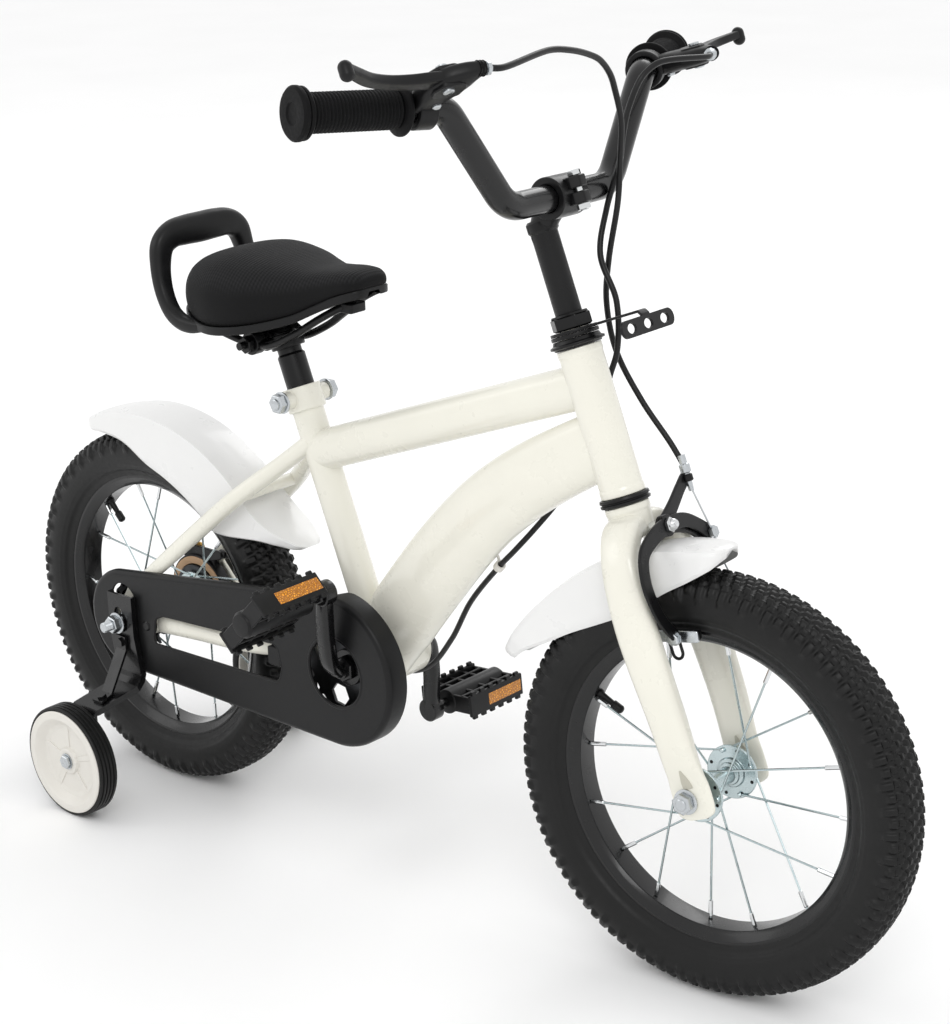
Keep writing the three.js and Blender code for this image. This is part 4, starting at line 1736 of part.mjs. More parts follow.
// places across the tread, as shares of its width, and how deep each lies, in groove depths
const treadShares = [[0.13, 0], [0.42, 0], [0.46, 1], [0.54, 1], [0.58, 0], [0.87, 0]];
const stabiliserWidth = stabiliserReach - stabiliserInside;
const stabiliserTread = stabiliserRadius / Math.cos(Math.PI / stabiliserSides);
const makeStabiliserTyre = () => turned([
  [stabiliserInside, stabiliserTyreInside + touchGap], [stabiliserInside, stabiliserRadius - stabiliserShoulder],
  ...treadShares.map(([across, deep]) => [stabiliserInside + across * stabiliserWidth, stabiliserTread - deep * stabiliserGroove]),
  [stabiliserReach, stabiliserRadius - stabiliserShoulder], [stabiliserReach, stabiliserTyreInside + touchGap],
], stabiliserSides);
const makeStabiliserDisc = () => {
  const middle = (stabiliserInside + stabiliserReach) / 2;
  const inner = stabiliserTyreInside - stabiliserRimWall;
  const low = stabiliserInside + touchGap * 2;
  const high = stabiliserReach - touchGap * 2;
  return turned([
    [low, stabiliserBore], [low, stabiliserHubRadius], [middle - stabiliserWebHalf, stabiliserHubRadius], [middle - stabiliserWebHalf, inner],
    [low, inner], [low, stabiliserTyreInside], [high, stabiliserTyreInside], [high, inner], [middle + stabiliserWebHalf, inner],
    [middle + stabiliserWebHalf, stabiliserHubRadius], [high - stabiliserRecess, stabiliserHubRadius], [high - stabiliserRecess, stabiliserBore],
  ], stabiliserSides);
};
const makeFootBolt = () => {
  const behind = bracketFootFace - bracketThick - touchGap;
  const recess = stabiliserReach - touchGap * 2 - stabiliserRecess + touchGap;
  const spot = (y) => at(0, y, 0);
  return joined(
    rod(spot(behind - stabiliserShoulder * 2), spot(recess + touchGap), footBoltRadius, 6),
    rod(spot(behind - stabiliserShoulder * 2), spot(behind), stabiliserHeadRadius, 6),
    rod(spot(bracketFootFace + touchGap), spot(recess + touchGap), stabiliserShaft, 8),
    rod(spot(recess), spot(recess + stabiliserRecess), stabiliserHeadRadius, 6),
  );
};
both.forEach((side) => {
  const group = new THREE.Group();
  group.position.set(bracketFootX, 0, stabiliserRadius);
  if (side < 0) {
    group.rotation.z = Math.PI;
  }
  bicycle.add(group);
  add(bicycle, `stabiliser_bracket_${sideName(side)}`, makeBracket(side), blackPaint);
  add(bicycle, `stabiliser_brace_${sideName(side)}`, makeBrace(side), blackPaint);
  add(group, `stabiliser_bolt_${sideName(side)}`, makeFootBolt(), zincSteel);
  add(group, `stabiliser_disc_${sideName(side)}`, makeStabiliserDisc().rotateY(Math.PI / stabiliserSides), whitePlastic);
  add(group, `stabiliser_tyre_${sideName(side)}`, makeStabiliserTyre().rotateY(Math.PI / stabiliserSides), tyreRubber);
});

export default bicycle;
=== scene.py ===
import math
import bpy
import numpy as np
from mathutils import Matrix


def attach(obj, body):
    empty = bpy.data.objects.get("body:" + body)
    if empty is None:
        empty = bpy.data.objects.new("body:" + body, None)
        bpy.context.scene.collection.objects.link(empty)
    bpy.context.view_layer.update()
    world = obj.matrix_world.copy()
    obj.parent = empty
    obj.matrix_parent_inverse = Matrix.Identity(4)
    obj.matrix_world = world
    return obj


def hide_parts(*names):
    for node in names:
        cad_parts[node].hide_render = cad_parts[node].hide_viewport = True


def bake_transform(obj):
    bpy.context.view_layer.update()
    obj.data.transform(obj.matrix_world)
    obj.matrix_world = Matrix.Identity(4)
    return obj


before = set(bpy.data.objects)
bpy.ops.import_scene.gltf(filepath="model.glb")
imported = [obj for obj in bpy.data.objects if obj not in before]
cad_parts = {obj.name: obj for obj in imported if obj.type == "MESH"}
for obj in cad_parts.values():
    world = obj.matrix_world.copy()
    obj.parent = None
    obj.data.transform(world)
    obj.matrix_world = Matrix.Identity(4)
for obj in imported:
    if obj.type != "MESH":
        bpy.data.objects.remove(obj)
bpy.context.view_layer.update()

bl_info = {
    "name": "Kids bike with training wheels",
    "version": (1, 0, 0),
    "blender": (4, 5, 0),
    "location": "3D Viewport > Sidebar > Kids Bike",
    "description": "Builds a kids bike with training wheels, piece by piece, on its packed frame",
    "category": "Add Mesh",
}

MM = 0.001
TAU = 2 * math.pi

# Where the steering's own frame lies, in mm: its origin on the head's line level with the front axle, and its
# forward, left and up directions. The bar rests turned a little to the left.
STEER_ORIGIN = np.array([326.266, 0.0, 176.567])
STEER_AXES = np.array([
    [0.92709, 0.117711, 0.355877],
    [-0.109892, 0.993048, -0.042184],
    [-0.358368, 0.0, 0.93358],
])
HEAD = STEER_AXES[2]
SEAT_LINE = np.array([-0.35511, 0.0, 0.93483])
BRACKET = np.array([-40.2, 0.0, 198.0])
REAR_AXLE = np.array([-330.0, 0.0, 178.0])
X = np.array([1.0, 0.0, 0.0])
Y = np.array([0.0, 1.0, 0.0])
Z = np.array([0.0, 0.0, 1.0])
WHEELS = ("front", "rear")
SIDES = ((-1, "right"), (1, "left"))

# Counts, and measures in mm that more than one place keeps to.
SPOKES_A_SIDE = 8
LINKS = 68
CLAMP_HEIGHT = 484.5  # of the handlebar, in the steering's frame
PIVOT_HEIGHT = 212  # of the caliper, there too
PAD_HEIGHT = 128  # of the caliper's pads, there too
SPOKE_CIRCLE = 19.5  # radius of the spoke heads' circle in a hub's flange
DROPOUT_OFF = 52  # from the middle plane to a rear dropout
CRANK_LENGTH = 84.6  # from the bracket's line to a pedal's
CHAIN_OFF = 40.2  # from the middle plane to the chain's
RING_PITCH_RADIUS = 56.7
SPROCKET_PITCH_RADIUS = 32.55
GUARD_FACE = -62  # Y of the chain guard's outer face
CRANK_HOLE = 33  # radius of the hole in it
BAND_LINE = (42, 223)  # Y and Z of the line along which the rear brake wire ends


# ---------------------------------------------------------------- sizes and colours

def size(name, millimetres, description):
    """A length in millimetres as a property, which Blender keeps in metres."""
    return bpy.props.FloatProperty(
        name=name, description=description, default=millimetres * MM, min=0.0, unit="LENGTH",
        subtype="DISTANCE", precision=4,
    )


def linear(code):
    """A colour code of six hexadecimal digits as three linear shares of light."""
    values = [int(code[i:i + 2], 16) / 255 for i in (0, 2, 4)]
    return tuple(v / 12.92 if v <= 0.04045 else ((v + 0.055) / 1.055) ** 2.4 for v in values)


def paint(name, code, description):
    """A colour as a property."""
    return bpy.props.FloatVectorProperty(
        name=name, description=description, default=linear(code), size=3, min=0.0, max=1.0, subtype="COLOR",
    )


class BikeSizes(bpy.types.PropertyGroup):
    """The bike's main sizes."""
    wheel_radius: size("Wheel radius", 178, "From the axle to the top of the tread")
    tyre_half: size("Tyre half width", 25.4, "From the wheel's middle to its sidewall")
    knob: size("Knob depth", 2.6, "How far the tread's blocks stand up")
    rim_radius: size("Rim radius", 137, "Outer edge of the rim")
    rim_half: size("Rim half width", 16.5, "From the wheel's middle to the rim's side")
    spoke: size("Spoke radius", 0.95, "Radius of a spoke")
    nipple: size("Nipple radius", 1.9, "Radius of a spoke's nipple")
    hub_half: size("Hub half width", 38, "From the wheel's middle to the end of the hub")
    flange: size("Flange radius", 23, "Radius of a hub flange")
    bar: size("Bar radius", 11, "Radius of the handlebar's tube")
    grip: size("Grip radius", 14.8, "Radius of a grip at its ribs")
    grip_length: size("Grip length", 90, "Length of a grip")
    cable: size("Cable radius", 2.5, "Radius of a brake cable's housing")
    wire: size("Wire radius", 0.8, "Radius of a bare brake wire")
    seat_tube: size("Seat tube radius", 14.5, "Radius of the seat tube")
    head_tube: size("Head tube radius", 18, "Radius of the head tube")
    shell: size("Bracket shell radius", 28.5, "Radius of the bottom bracket shell")
    stay: size("Chain stay half height", 9, "Half height of a chain stay")
    seat_stay: size("Seat stay radius", 8, "Radius of a seat stay")
    fender: size("Fender gap radius", 197, "Radius of a fender's edge round its wheel")
    skin: size("Fender thickness", 2, "Thickness of a fender")
    saddle_length: size("Saddle length", 219, "Length of the saddle")
    saddle_half: size("Saddle half width", 68, "Half width of the saddle")
    pedal_length: size("Pedal length", 75, "Length of a pedal along its spindle")
    stabiliser: size("Stabiliser radius", 55.2, "Radius of a training wheel's tread")


class BikeColours(bpy.types.PropertyGroup):
    """The bike's colours."""
    ivory_paint: paint("Ivory paint", "e4e2d6", "Frame and fork")
    black_paint: paint("Black paint", "0b0b0c", "Rims, handlebar and stabiliser brackets")
    black_steel: paint("Black steel", "0d0d0e", "Stem, headset, post and rails")
    black_plastic: paint("Black plastic", "0f0f10", "Chain guard, levers, pedals and saddle base")
    grip_rubber: paint("Grip rubber", "0d0d0e", "Grips")
    tyre_rubber: paint("Tyre rubber", "0f0f0f", "Tyres")
    zinc_steel: paint("Zinc steel", "bfc3c6", "Hubs, spokes, nuts and bolts")
    chrome_steel: paint("Chromed steel", "d9dbdc", "Stem bolt, caliper bolt")
    brass_metal: paint("Brass", "b08a48", "Band brake lever and knob")
    white_plastic: paint("White plastic", "d8d5ce", "Stabiliser discs and cable clip")
    fender_plastic: paint("Fender plastic", "e2e2e1", "Fenders")
    mesh_fabric: paint("Mesh fabric", "111112", "Saddle cover")
    cable_skin: paint("Cable skin", "0e0e0f", "Brake cable housing")
    amber: paint("Amber reflector", "f79a12", "Pedal reflectors")
    hub_steel: paint("Hub steel", "bcc9cb", "Hub shells and spokes")
    zinc_dark: paint("Dark zinc", "4a4b4d", "Chain, chainring, sprocket and brake drum")
    copper_lining: paint("Brake lining", "c4a07c", "Band brake lining")
    # ivory_shade is painted shade: the darker ivory of the pressed keyhole marks on the fork's tips stands in
    # for the shade inside their recess
    ivory_shade: paint("Ivory in shade", "b9b6a8", "Pressed marks in the fork's tips")


def in_mm(group):
    """The lengths of a property group in millimetres, by name."""
    return {key: getattr(group, key) / MM for key in group.__annotations__}


# ---------------------------------------------------------------- shapes

def unit(vectors):
    """Vectors at length one."""
    vectors = np.asarray(vectors, float)
    return vectors / np.linalg.norm(vectors, axis=-1, keepdims=True)


def columns(*parts):
    """Numbers or arrays side by side, as the last axis of one array."""
    return np.stack(np.broadcast_arrays(*parts), axis=-1)


def around(axes, angle):
    """The direction at an angle in the plane of the first and last of three axes."""
    return np.cos(angle) * axes[0] + np.sin(angle) * axes[2]


def steered(points):
    """Points of the steering's frame in the bike's frame."""
    return STEER_ORIGIN + np.asarray(points, float) @ STEER_AXES


def on_head(heights):
    """Points on the head's line at these heights above its origin."""
    return STEER_ORIGIN + np.asarray(heights, float)[..., None] * HEAD


def on_seat_tube(distances):
    """Points on the seat tube's line at these distances from the bottom bracket."""
    return BRACKET + np.asarray(distances, float)[..., None] * SEAT_LINE


def smooth(stations, count, knots=None):
    """A curve through rows of numbers, as count rows: cubic steps whose slopes at each row are those of the
    parabola through it and its neighbours, over a parameter that grows by the square root of the distance
    between rows, or over the given knots."""
    rows = np.asarray(stations, float)
    if knots is None:
        gaps = np.linalg.norm(np.diff(rows[:, :3], axis=0), axis=1)
        knots = np.concatenate([[0], np.cumsum(np.sqrt(gaps))])
    knots = np.asarray(knots, float)
    width = np.diff(knots)
    rise = np.diff(rows, axis=0) / width[:, None]
    slope = np.empty_like(rows)
    slope[1:-1] = rise[:-1] * width[1:, None] + rise[1:] * width[:-1, None]
    slope[1:-1] /= (width[1:] + width[:-1])[:, None]
    slope[0] = 1.5 * rise[0] - 0.5 * slope[1]
    slope[-1] = 1.5 * rise[-1] - 0.5 * slope[-2]
    at = np.linspace(knots[0], knots[-1], count)
    step = np.clip(np.searchsorted(knots, at, side="right") - 1, 0, len(width) - 1)
    gap = width[step][:, None]
    t = (at - knots[step])[:, None] / gap
    start, end = rows[step], rows[step + 1]
    return (
        (2 * t ** 3 - 3 * t ** 2 + 1) * start + (t ** 3 - 2 * t ** 2 + t) * gap * slope[step]
        + (3 * t ** 2 - 2 * t ** 3) * end + (t ** 3 - t ** 2) * gap * slope[step + 1]
    )


def eased(points, radius, steps=5, loop=False):
    """An outline or path with round corners: at each corner an arc of this radius, or a smaller one where its
    sides are short, that touches both sides. The arc's points are the blend of its first and last spoke by
    sines: (sin((1-t)w) first + sin(tw) last) / sin w, round the arc's centre."""
    p = np.asarray(points, float)
    before = np.roll(p, 1, axis=0) - p
    after = np.roll(p, -1, axis=0) - p
    reach = 0.48 * np.minimum(np.linalg.norm(before, axis=-1), np.linalg.norm(after, axis=-1))
    before, after = unit(before), unit(after)
    corner = np.arccos(np.clip((before * after).sum(-1), -0.99999, 0.99999))
    radius = np.broadcast_to(np.asarray(radius, float), len(p))
    radius = np.minimum(radius, reach * np.tan(corner / 2))
    middle = p + unit(before + after + 1e-9) * (radius / np.sin(corner / 2))[:, None]
    length = (radius / np.tan(corner / 2))[:, None]
    first, last = p + before * length - middle, p + after * length - middle
    swing = np.maximum(np.pi - corner, 1e-3)[:, None, None]
    t = np.linspace(0, 1, steps)[None, :, None]
    bend = np.sin((1 - t) * swing) * first[:, None] + np.sin(t * swing) * last[:, None]
    arc = middle[:, None] + bend / np.sin(swing)
    if loop:
        return arc.reshape(-1, p.shape[1])
    return np.concatenate([p[:1], arc[1:-1].reshape(-1, p.shape[1]), p[-1:]])


def oblong(width, height, radius=1.0, steps=4):
    """A rectangle with round corners, about its middle."""
    x, y = width / 2, height / 2
    return eased([[x, -y], [x, y], [-x, y], [-x, -y]], radius, steps, loop=True)


def ring_of(count, radius=1.0, turn=0.0):
    """Points round a circle."""
    t = np.arange(count) * TAU / count + turn
    return radius * columns(np.cos(t), np.sin(t))


def directions(path, loop):
    """The unit direction of a path at each of its points."""
    if loop:
        return unit(np.roll(path, -1, axis=0) - np.roll(path, 1, axis=0))
    return unit(np.gradient(path, axis=0))


def carried(path, loop=False):
    """A direction square to each step of a path, carried along it with as little turn as possible."""
    along = directions(path, loop)
    side = [unit(np.cross(along[0], [0.31, 0.22, 0.92]))]
    for step in along[1:]:
        side.append(unit(side[-1] - step * (side[-1] @ step)))
    return np.array(side)


def sweep(path, wide, across=None, ref=None, roundness=2.0, sides=32, loop=False):
    """Rings square to a path: centre + wide c(t) a + across s(t) b, where c and s are cosine and sine with
    their size raised to 2 / roundness, a is the part of ref that is square to the path, and b is the path's
    direction crossed with a."""
    path = np.asarray(path, float)
    along = directions(path, loop)
    ref = carried(path, loop) if ref is None else np.broadcast_to(np.asarray(ref, float), path.shape)
    a = unit(ref - (ref * along).sum(-1, keepdims=True) * along)
    b = np.cross(along, a)
    across = wide if across is None else across
    wide, across = (np.broadcast_to(np.asarray(v, float), len(path))[:, None, None] for v in (wide, across))
    t = np.arange(sides) * TAU / sides
    c = (np.sign(np.cos(t)) * np.abs(np.cos(t)) ** (2 / roundness))[None, :, None]
    s = (np.sign(np.sin(t)) * np.abs(np.sin(t)) ** (2 / roundness))[None, :, None]
    return path[:, None] + wide * c * a[:, None] + across * s * b[:, None]


def lathe(profile, centre, axis, sides=64, turn=0.0):
    """Rings of a turned shape: centre + along axis + radius (cos t a + sin t b) for each (along, radius) of
    the profile, where a and b are square to the axis."""
    profile = np.asarray(profile, float)
    axis = unit(axis)
    a = unit(np.cross(np.cross(axis, Z if abs(axis[2]) < 0.95 else X), axis))
    b = np.cross(axis, a)
    t = np.arange(sides) * TAU / sides + turn
    round_ = np.cos(t)[:, None] * a + np.sin(t)[:, None] * b
    return np.asarray(centre, float) + profile[:, 0, None, None] * axis + profile[:, 1, None, None] * round_


def rod(start, end, radius, sides=16, bevel=0.0):
    """Rings of a straight round bar, its ends eased by bevel."""
    start, end = np.asarray(start, float), np.asarray(end, float)
    length = np.linalg.norm(end - start)
    if not bevel:
        return lathe([[0, radius], [length, radius]], start, end - start, sides)
    profile = [[0, radius - bevel], [bevel, radius], [length - bevel, radius], [length, radius - bevel]]
    return lathe(profile, start, end - start, sides)


def slab(outline, low, high, origin, x_axis, y_axis, bevel=0.4):
    """Rings of a flat piece with eased edges: the outline drawn in by bevel at the low face, full just above
    it, full just below the high face and drawn in there, along the direction square to both axes."""
    outline = np.asarray(outline, float)
    x, y = outline[:, 0], outline[:, 1]
    turn = np.sign((x * np.roll(y, -1) - np.roll(x, -1) * y).sum())
    side = np.roll(outline, -1, axis=0) - np.roll(outline, 1, axis=0)
    inward = turn * unit(columns(-side[:, 1], side[:, 0]))
    inner = outline + inward * bevel
    rings = np.stack([inner, outline, outline, inner])
    heights = np.array([low, low + bevel, high - bevel, high])
    x_axis, y_axis = np.asarray(x_axis, float), np.asarray(y_axis, float)
    normal = np.cross(x_axis, y_axis)
    flat = np.asarray(origin, float) + rings[..., :1] * x_axis + rings[..., 1:] * y_axis
    return flat + heights[:, None, None] * normal


def nut(centre, axis, radius, low, high, turn=0.0):
    """Rings of a six-sided nut or bolt head with its corners turned off: the hexagon's points, drawn in at
    both ends."""
    ease, face = radius * 0.08, radius * 0.88
    profile = [[low, face], [low + ease, radius], [high - ease, radius], [high, face]]
    return lathe(profile, centre, axis, 6, turn)


def acorn(centre, axis, radius, low, high, sides=24):
    """Rings of a dome: radius times the cosine of a quarter turn, as the height goes from low to high."""
    t = np.linspace(0, 1.5, 7)
    return lathe(columns(low + (high - low) * np.sin(t), radius * np.cos(t)), centre, axis, sides)


def shell(rings, loop=False):
    """A closed surface over rings of points, as its points, four-sided faces and triangles. Neighbours along
    and round each ring are joined, and the end rings are closed with a fan to their middle, unless the rings
    run in a loop. The faces are turned outward by the sign of the volume they enclose."""
    m, n = rings.shape[:2]
    here = np.arange(m * n).reshape(m, n)
    if loop:
        here = np.vstack([here, here[:1]])
    beside = np.roll(here, -1, axis=1)
    quads = columns(here[:-1], beside[:-1], beside[1:], here[1:]).reshape(-1, 4)
    points = rings.reshape(-1, 3)
    triangles = np.empty((0, 3), int)
    if not loop:
        first, last = np.full(n, m * n), np.full(n, m * n + 1)
        triangles = np.concatenate([
            columns(first, beside[0], here[0]), columns(last, here[-1], beside[-1]),
        ])
        points = np.concatenate([points, [rings[0].mean(0), rings[-1].mean(0)]])
    split = np.concatenate([quads[:, [0, 1, 2]], quads[:, [0, 2, 3]], triangles])
    a, b, c = (points[split[:, i]] - points[0] for i in range(3))
    if (a * np.cross(b, c)).sum() < 0:
        quads, triangles = quads[:, ::-1], triangles[:, ::-1]
    return points, quads, triangles


def piece(name, shells, finish, body, replaces=(), slot=None, sharp=35.0):
    """One Blender object from closed surfaces in millimetres: its points and faces in metres, its finish by
    name, the CAD body it rides on and the CAD nodes it stands for. The slot argument is not used."""
    parts = [item if isinstance(item, tuple) else shell(item) for item in shells]
    bases = np.cumsum([0] + [len(part[0]) for part in parts])
    points = np.concatenate([part[0] for part in parts]) * MM
    quads, triangles = (
        np.concatenate([part[kind] + base for part, base in zip(parts, bases)]) for kind in (1, 2)
    )
    slot = slot or finish
    mesh = bpy.data.meshes.new(name)
    mesh.vertices.add(len(points))
    mesh.vertices.foreach_set("co", points.astype(np.float32).ravel())
    loops = np.concatenate([quads.ravel(), triangles.ravel()]).astype(np.int32)
    mesh.loops.add(len(loops))
    mesh.loops.foreach_set("vertex_index", loops)
    starts = np.concatenate([np.arange(len(quads)) * 4, len(quads) * 4 + np.arange(len(triangles)) * 3])
    mesh.polygons.add(len(starts))
    mesh.polygons.foreach_set("loop_start", starts.astype(np.int32))
    mesh.polygons.foreach_set("use_smooth", np.ones(len(starts), bool))
    mesh.update(calc_edges=True)
    mesh.validate()
    mesh.set_sharp_from_angle(angle=math.radians(sharp))
    mesh.materials.append(MATERIALS[finish])
    made = bpy.data.objects.new(name, mesh)
    bpy.context.scene.collection.objects.link(made)
    if body:
        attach(made, body)
    if replaces:
        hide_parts(*replaces)
    return made


# ---------------------------------------------------------------- materials

class Nodes:
    """A material's node tree under construction."""

    def __init__(self, name):
        self.material = bpy.data.materials.new(name)
        self.material.use_nodes = True
        self.tree = self.material.node_tree
        self.shader = next(n for n in self.tree.nodes if n.type == "BSDF_PRINCIPLED")
        self.place = self.add("ShaderNodeTexCoord").outputs["Object"]

    def add(self, kind, values=(), **settings):
        """A node of this kind with these settings, its inputs set or linked by name or number."""
        node = self.tree.nodes.new(kind)
        for key, value in settings.items():
            setattr(node, key, value)
        for key, value in dict(values).items():
            self.set(node.inputs[key], value)
        return node

    def set(self, socket, value):
        """An input linked to another node's output, or given a value."""
        if isinstance(value, bpy.types.NodeSocket):
            self.tree.links.new(value, socket)
        else:
            socket.default_value = value

    def noise(self, scale, detail=3.0, rough=0.5):
        """Noise over the object's own coordinates."""
        values = {"Vector": self.place, "Scale": scale, "Detail": detail, "Roughness": rough}
        return self.add("ShaderNodeTexNoise", values).outputs["Fac"]

    def math(self, operation, first, second=0.0, third=0.0):
        """A sum, product or other function of one to three values."""
        return self.add("ShaderNodeMath", {0: first, 1: second, 2: third}, operation=operation).outputs[0]

    def spread(self, value, low, high):
        """A value from 0 to 1 stretched to run from low to high."""
        values = {"Value": value, "From Min": 0.3, "From Max": 0.7, "To Min": low, "To Max": high}
        return self.add("ShaderNodeMapRange", values).outputs[0]

    def surface(self, colour, roughness):
        """The shader's colour and roughness."""
        self.set(self.shader.inputs["Base Color"], colour)
        self.set(self.shader.inputs["Roughness"], roughness)

    def mix(self, share, first, second):
        """A colour between two."""
        node = self.add("ShaderNodeMix", data_type="RGBA")
        self.set(node.inputs[0], share)
        self.set(node.inputs[6], first)
        self.set(node.inputs[7], second)
        return node.outputs[2]

    def bump(self, height, strength, distance):
        """The surface's own direction bent by a height field."""
        node = self.add("ShaderNodeBump", {"Height": height, "Strength": strength, "Distance": distance})
        self.set(self.shader.inputs["Normal"], node.outputs[0])


def tone(colour, share):
    """A colour made lighter or darker by a share, with its alpha."""
    return tuple(min(1.0, c * share) for c in colour) + (1.0,)


def finish(
    name, colour, low, high, metallic=0.0, grain=350.0, bump=0.12, depth=0.0002, change=0.07, coat=0.0,
    shine=0.5,
):
    """A material whose colour wanders by a small share with broad noise, whose roughness runs from low to
    high with a finer one, and whose surface is bent by a fine grain."""
    n = Nodes(name)
    broad = n.spread(n.noise(18.0, 4.0), 0.0, 1.0)
    n.surface(
        n.mix(broad, tone(colour, 1 - change), tone(colour, 1 + change)),
        n.spread(n.noise(grain * 0.35, 5.0, 0.6), low, high),
    )
    n.bump(n.noise(grain, 3.0), bump, depth)
    n.shader.inputs["Metallic"].default_value = metallic
    n.shader.inputs["Specular IOR Level"].default_value = shine
    n.shader.inputs["Coat Weight"].default_value = coat
    n.shader.inputs["Coat Roughness"].default_value = 0.06
    return n.material


FINISHES = {
    "ivory_paint": (0.24, 0.34, dict(grain=120.0, bump=0.05, depth=0.0003, change=0.015, coat=0.5)),
    "ivory_shade": (0.4, 0.5, dict(grain=120.0, bump=0.05, change=0.03)),
    "black_paint": (0.18, 0.3, dict(grain=160.0, bump=0.04, change=0.12, coat=0.15, shine=0.35)),
    "black_steel": (0.24, 0.38, dict(grain=260.0, bump=0.06, change=0.12, shine=0.28)),
    "black_plastic": (0.32, 0.44, dict(grain=900.0, bump=0.1, depth=0.00012, change=0.1, shine=0.25)),
    "grip_rubber": (0.5, 0.66, dict(grain=1100.0, bump=0.2, depth=0.00015, change=0.12, shine=0.12)),
    "zinc_steel": (0.22, 0.36, dict(metallic=1.0, grain=420.0, bump=0.08, change=0.08)),
    "zinc_dark": (0.3, 0.45, dict(metallic=1.0, grain=420.0, bump=0.1, change=0.12)),
    "hub_steel": (0.2, 0.32, dict(metallic=1.0, grain=300.0, bump=0.05, change=0.06)),
    "chrome_steel": (0.1, 0.18, dict(metallic=1.0, grain=300.0, bump=0.04, change=0.05)),
    "brass_metal": (0.24, 0.4, dict(metallic=1.0, grain=420.0, bump=0.1, change=0.12)),
    "copper_lining": (0.45, 0.6, dict(grain=600.0, bump=0.2, change=0.14)),
    "white_plastic": (0.36, 0.46, dict(grain=500.0, bump=0.06, change=0.02, coat=0.1)),
    "cable_skin": (0.3, 0.42, dict(grain=900.0, bump=0.12, change=0.12, shine=0.3)),
}


def make_materials(colours):
    """Every finish by its name."""
    c = {key: tuple(getattr(colours, key)) for key in colours.__annotations__}
    made = {name: finish(name, c[name], low, high, **rest) for name, (low, high, rest) in FINISHES.items()}
    made["tyre_rubber"] = rubber(c["tyre_rubber"])
    made["fender_plastic"] = fender_skin(c["fender_plastic"])
    made["mesh_fabric"] = spacer_mesh(c["mesh_fabric"])
    made["amber"] = reflector(c["amber"])
    return made


def rubber(colour):
    """Tyre rubber: fine moulded grain, and a dusty bloom in broad patches."""
    n = Nodes("tyre_rubber")
    bloom = n.spread(n.noise(26.0, 5.0, 0.6), 0.0, 1.0)
    n.surface(n.mix(bloom, tone(colour, 0.82), tone(colour, 1.22)), n.spread(n.noise(240.0, 4.0), 0.38, 0.5))
    grain = n.math("ADD", n.noise(1400.0, 2.0), n.math("MULTIPLY", n.noise(320.0, 3.0), 0.8))
    n.bump(grain, 0.22, 0.00018)
    n.shader.inputs["Specular IOR Level"].default_value = 0.27
    return n.material


def fender_skin(colour):
    """White plastic: smooth, with a slight waviness from the mould."""
    n = Nodes("fender_plastic")
    broad = n.spread(n.noise(14.0, 3.0), 0.0, 1.0)
    n.surface(n.mix(broad, tone(colour, 0.985), tone(colour, 1.02)), n.spread(n.noise(60.0, 3.0), 0.26, 0.36))
    n.bump(n.noise(45.0, 2.0), 0.08, 0.0008)
    n.shader.inputs["Coat Weight"].default_value = 0.2
    return n.material


def spacer_mesh(colour):
    """Knitted spacer mesh: ribs across the saddle, one sine in X, cut into cells by a finer sine in Y. They
    fade to plain cloth where the surface stands upright, by the height share of its own direction. The same
    mask makes the upward faces lighter than the upright sides, which is painted light from above."""
    rib_pitch, cell_pitch = 0.0031, 0.0022
    n = Nodes("mesh_fabric")
    x, y, _ = n.add("ShaderNodeSeparateXYZ", {"Vector": n.place}).outputs
    rib = n.math("SINE", n.math("MULTIPLY", x, TAU / rib_pitch))
    cell = n.math("SINE", n.math("MULTIPLY", y, TAU / cell_pitch))
    weave = n.math("MULTIPLY_ADD", n.math("ADD", rib, n.math("MULTIPLY", cell, 0.5)), 0.33, 0.5)
    normal = n.add("ShaderNodeTexCoord").outputs["Normal"]
    upward = n.add("ShaderNodeSeparateXYZ", {"Vector": normal}).outputs[2]
    top = n.add("ShaderNodeMapRange", {"Value": upward, "From Min": 0.2, "From Max": 0.6}).outputs[0]
    fuzz = n.noise(2600.0, 3.0)
    # the colour runs from 0.7 to 2.6 times the base by the weave times the upward mask: the ribs and cells
    # are the cloth's own pattern, and the lighter upward faces against the darker upright sides are painted
    # light from above
    share = n.math("MULTIPLY", weave, top)
    n.surface(n.mix(share, tone(colour, 0.7), tone(colour, 2.6)), n.spread(fuzz, 0.72, 0.9))
    n.bump(n.math("ADD", share, n.math("MULTIPLY", fuzz, 0.2)), 0.6, 0.0006)
    n.shader.inputs["Specular IOR Level"].default_value = 0.2
    n.shader.inputs["Sheen Weight"].default_value = 0.02
    n.shader.inputs["Sheen Roughness"].default_value = 0.45
    return n.material


def reflector(colour):
    """Amber reflector: a honeycomb of small cells under a clear face."""
    n = Nodes("amber_reflector")
    values = {"Vector": n.place, "Scale": 520.0}
    cells = n.add("ShaderNodeTexVoronoi", values, feature="DISTANCE_TO_EDGE").outputs["Distance"]
    share = n.spread(n.math("MULTIPLY", cells, 2.2), 0.0, 1.0)
    n.surface(n.mix(share, tone(colour, 0.42), tone(colour, 1.2)), n.spread(n.noise(500.0), 0.2, 0.3))
    n.bump(share, 0.5, 0.0005)
    n.shader.inputs["Coat Weight"].default_value = 0.3
    n.shader.inputs["Coat Roughness"].default_value = 0.04
    return n.material


MATERIALS = {}


# ---------------------------------------------------------------- wheels

def wheel_place(word):
    """A wheel's centre and the directions of its own forward, axle and up axes."""
    if word == "front":
        return steered([4.0, 0.0, 0.0]), STEER_AXES
    return REAR_AXLE, np.eye(3)


def turned_about(place, profile, sides=64, loop=False):
    """A shape turned about a wheel's axle from its (along the axle, radius) profile."""
    centre, axes = place
    return shell(lathe(profile, centre, axes[1], sides), loop)


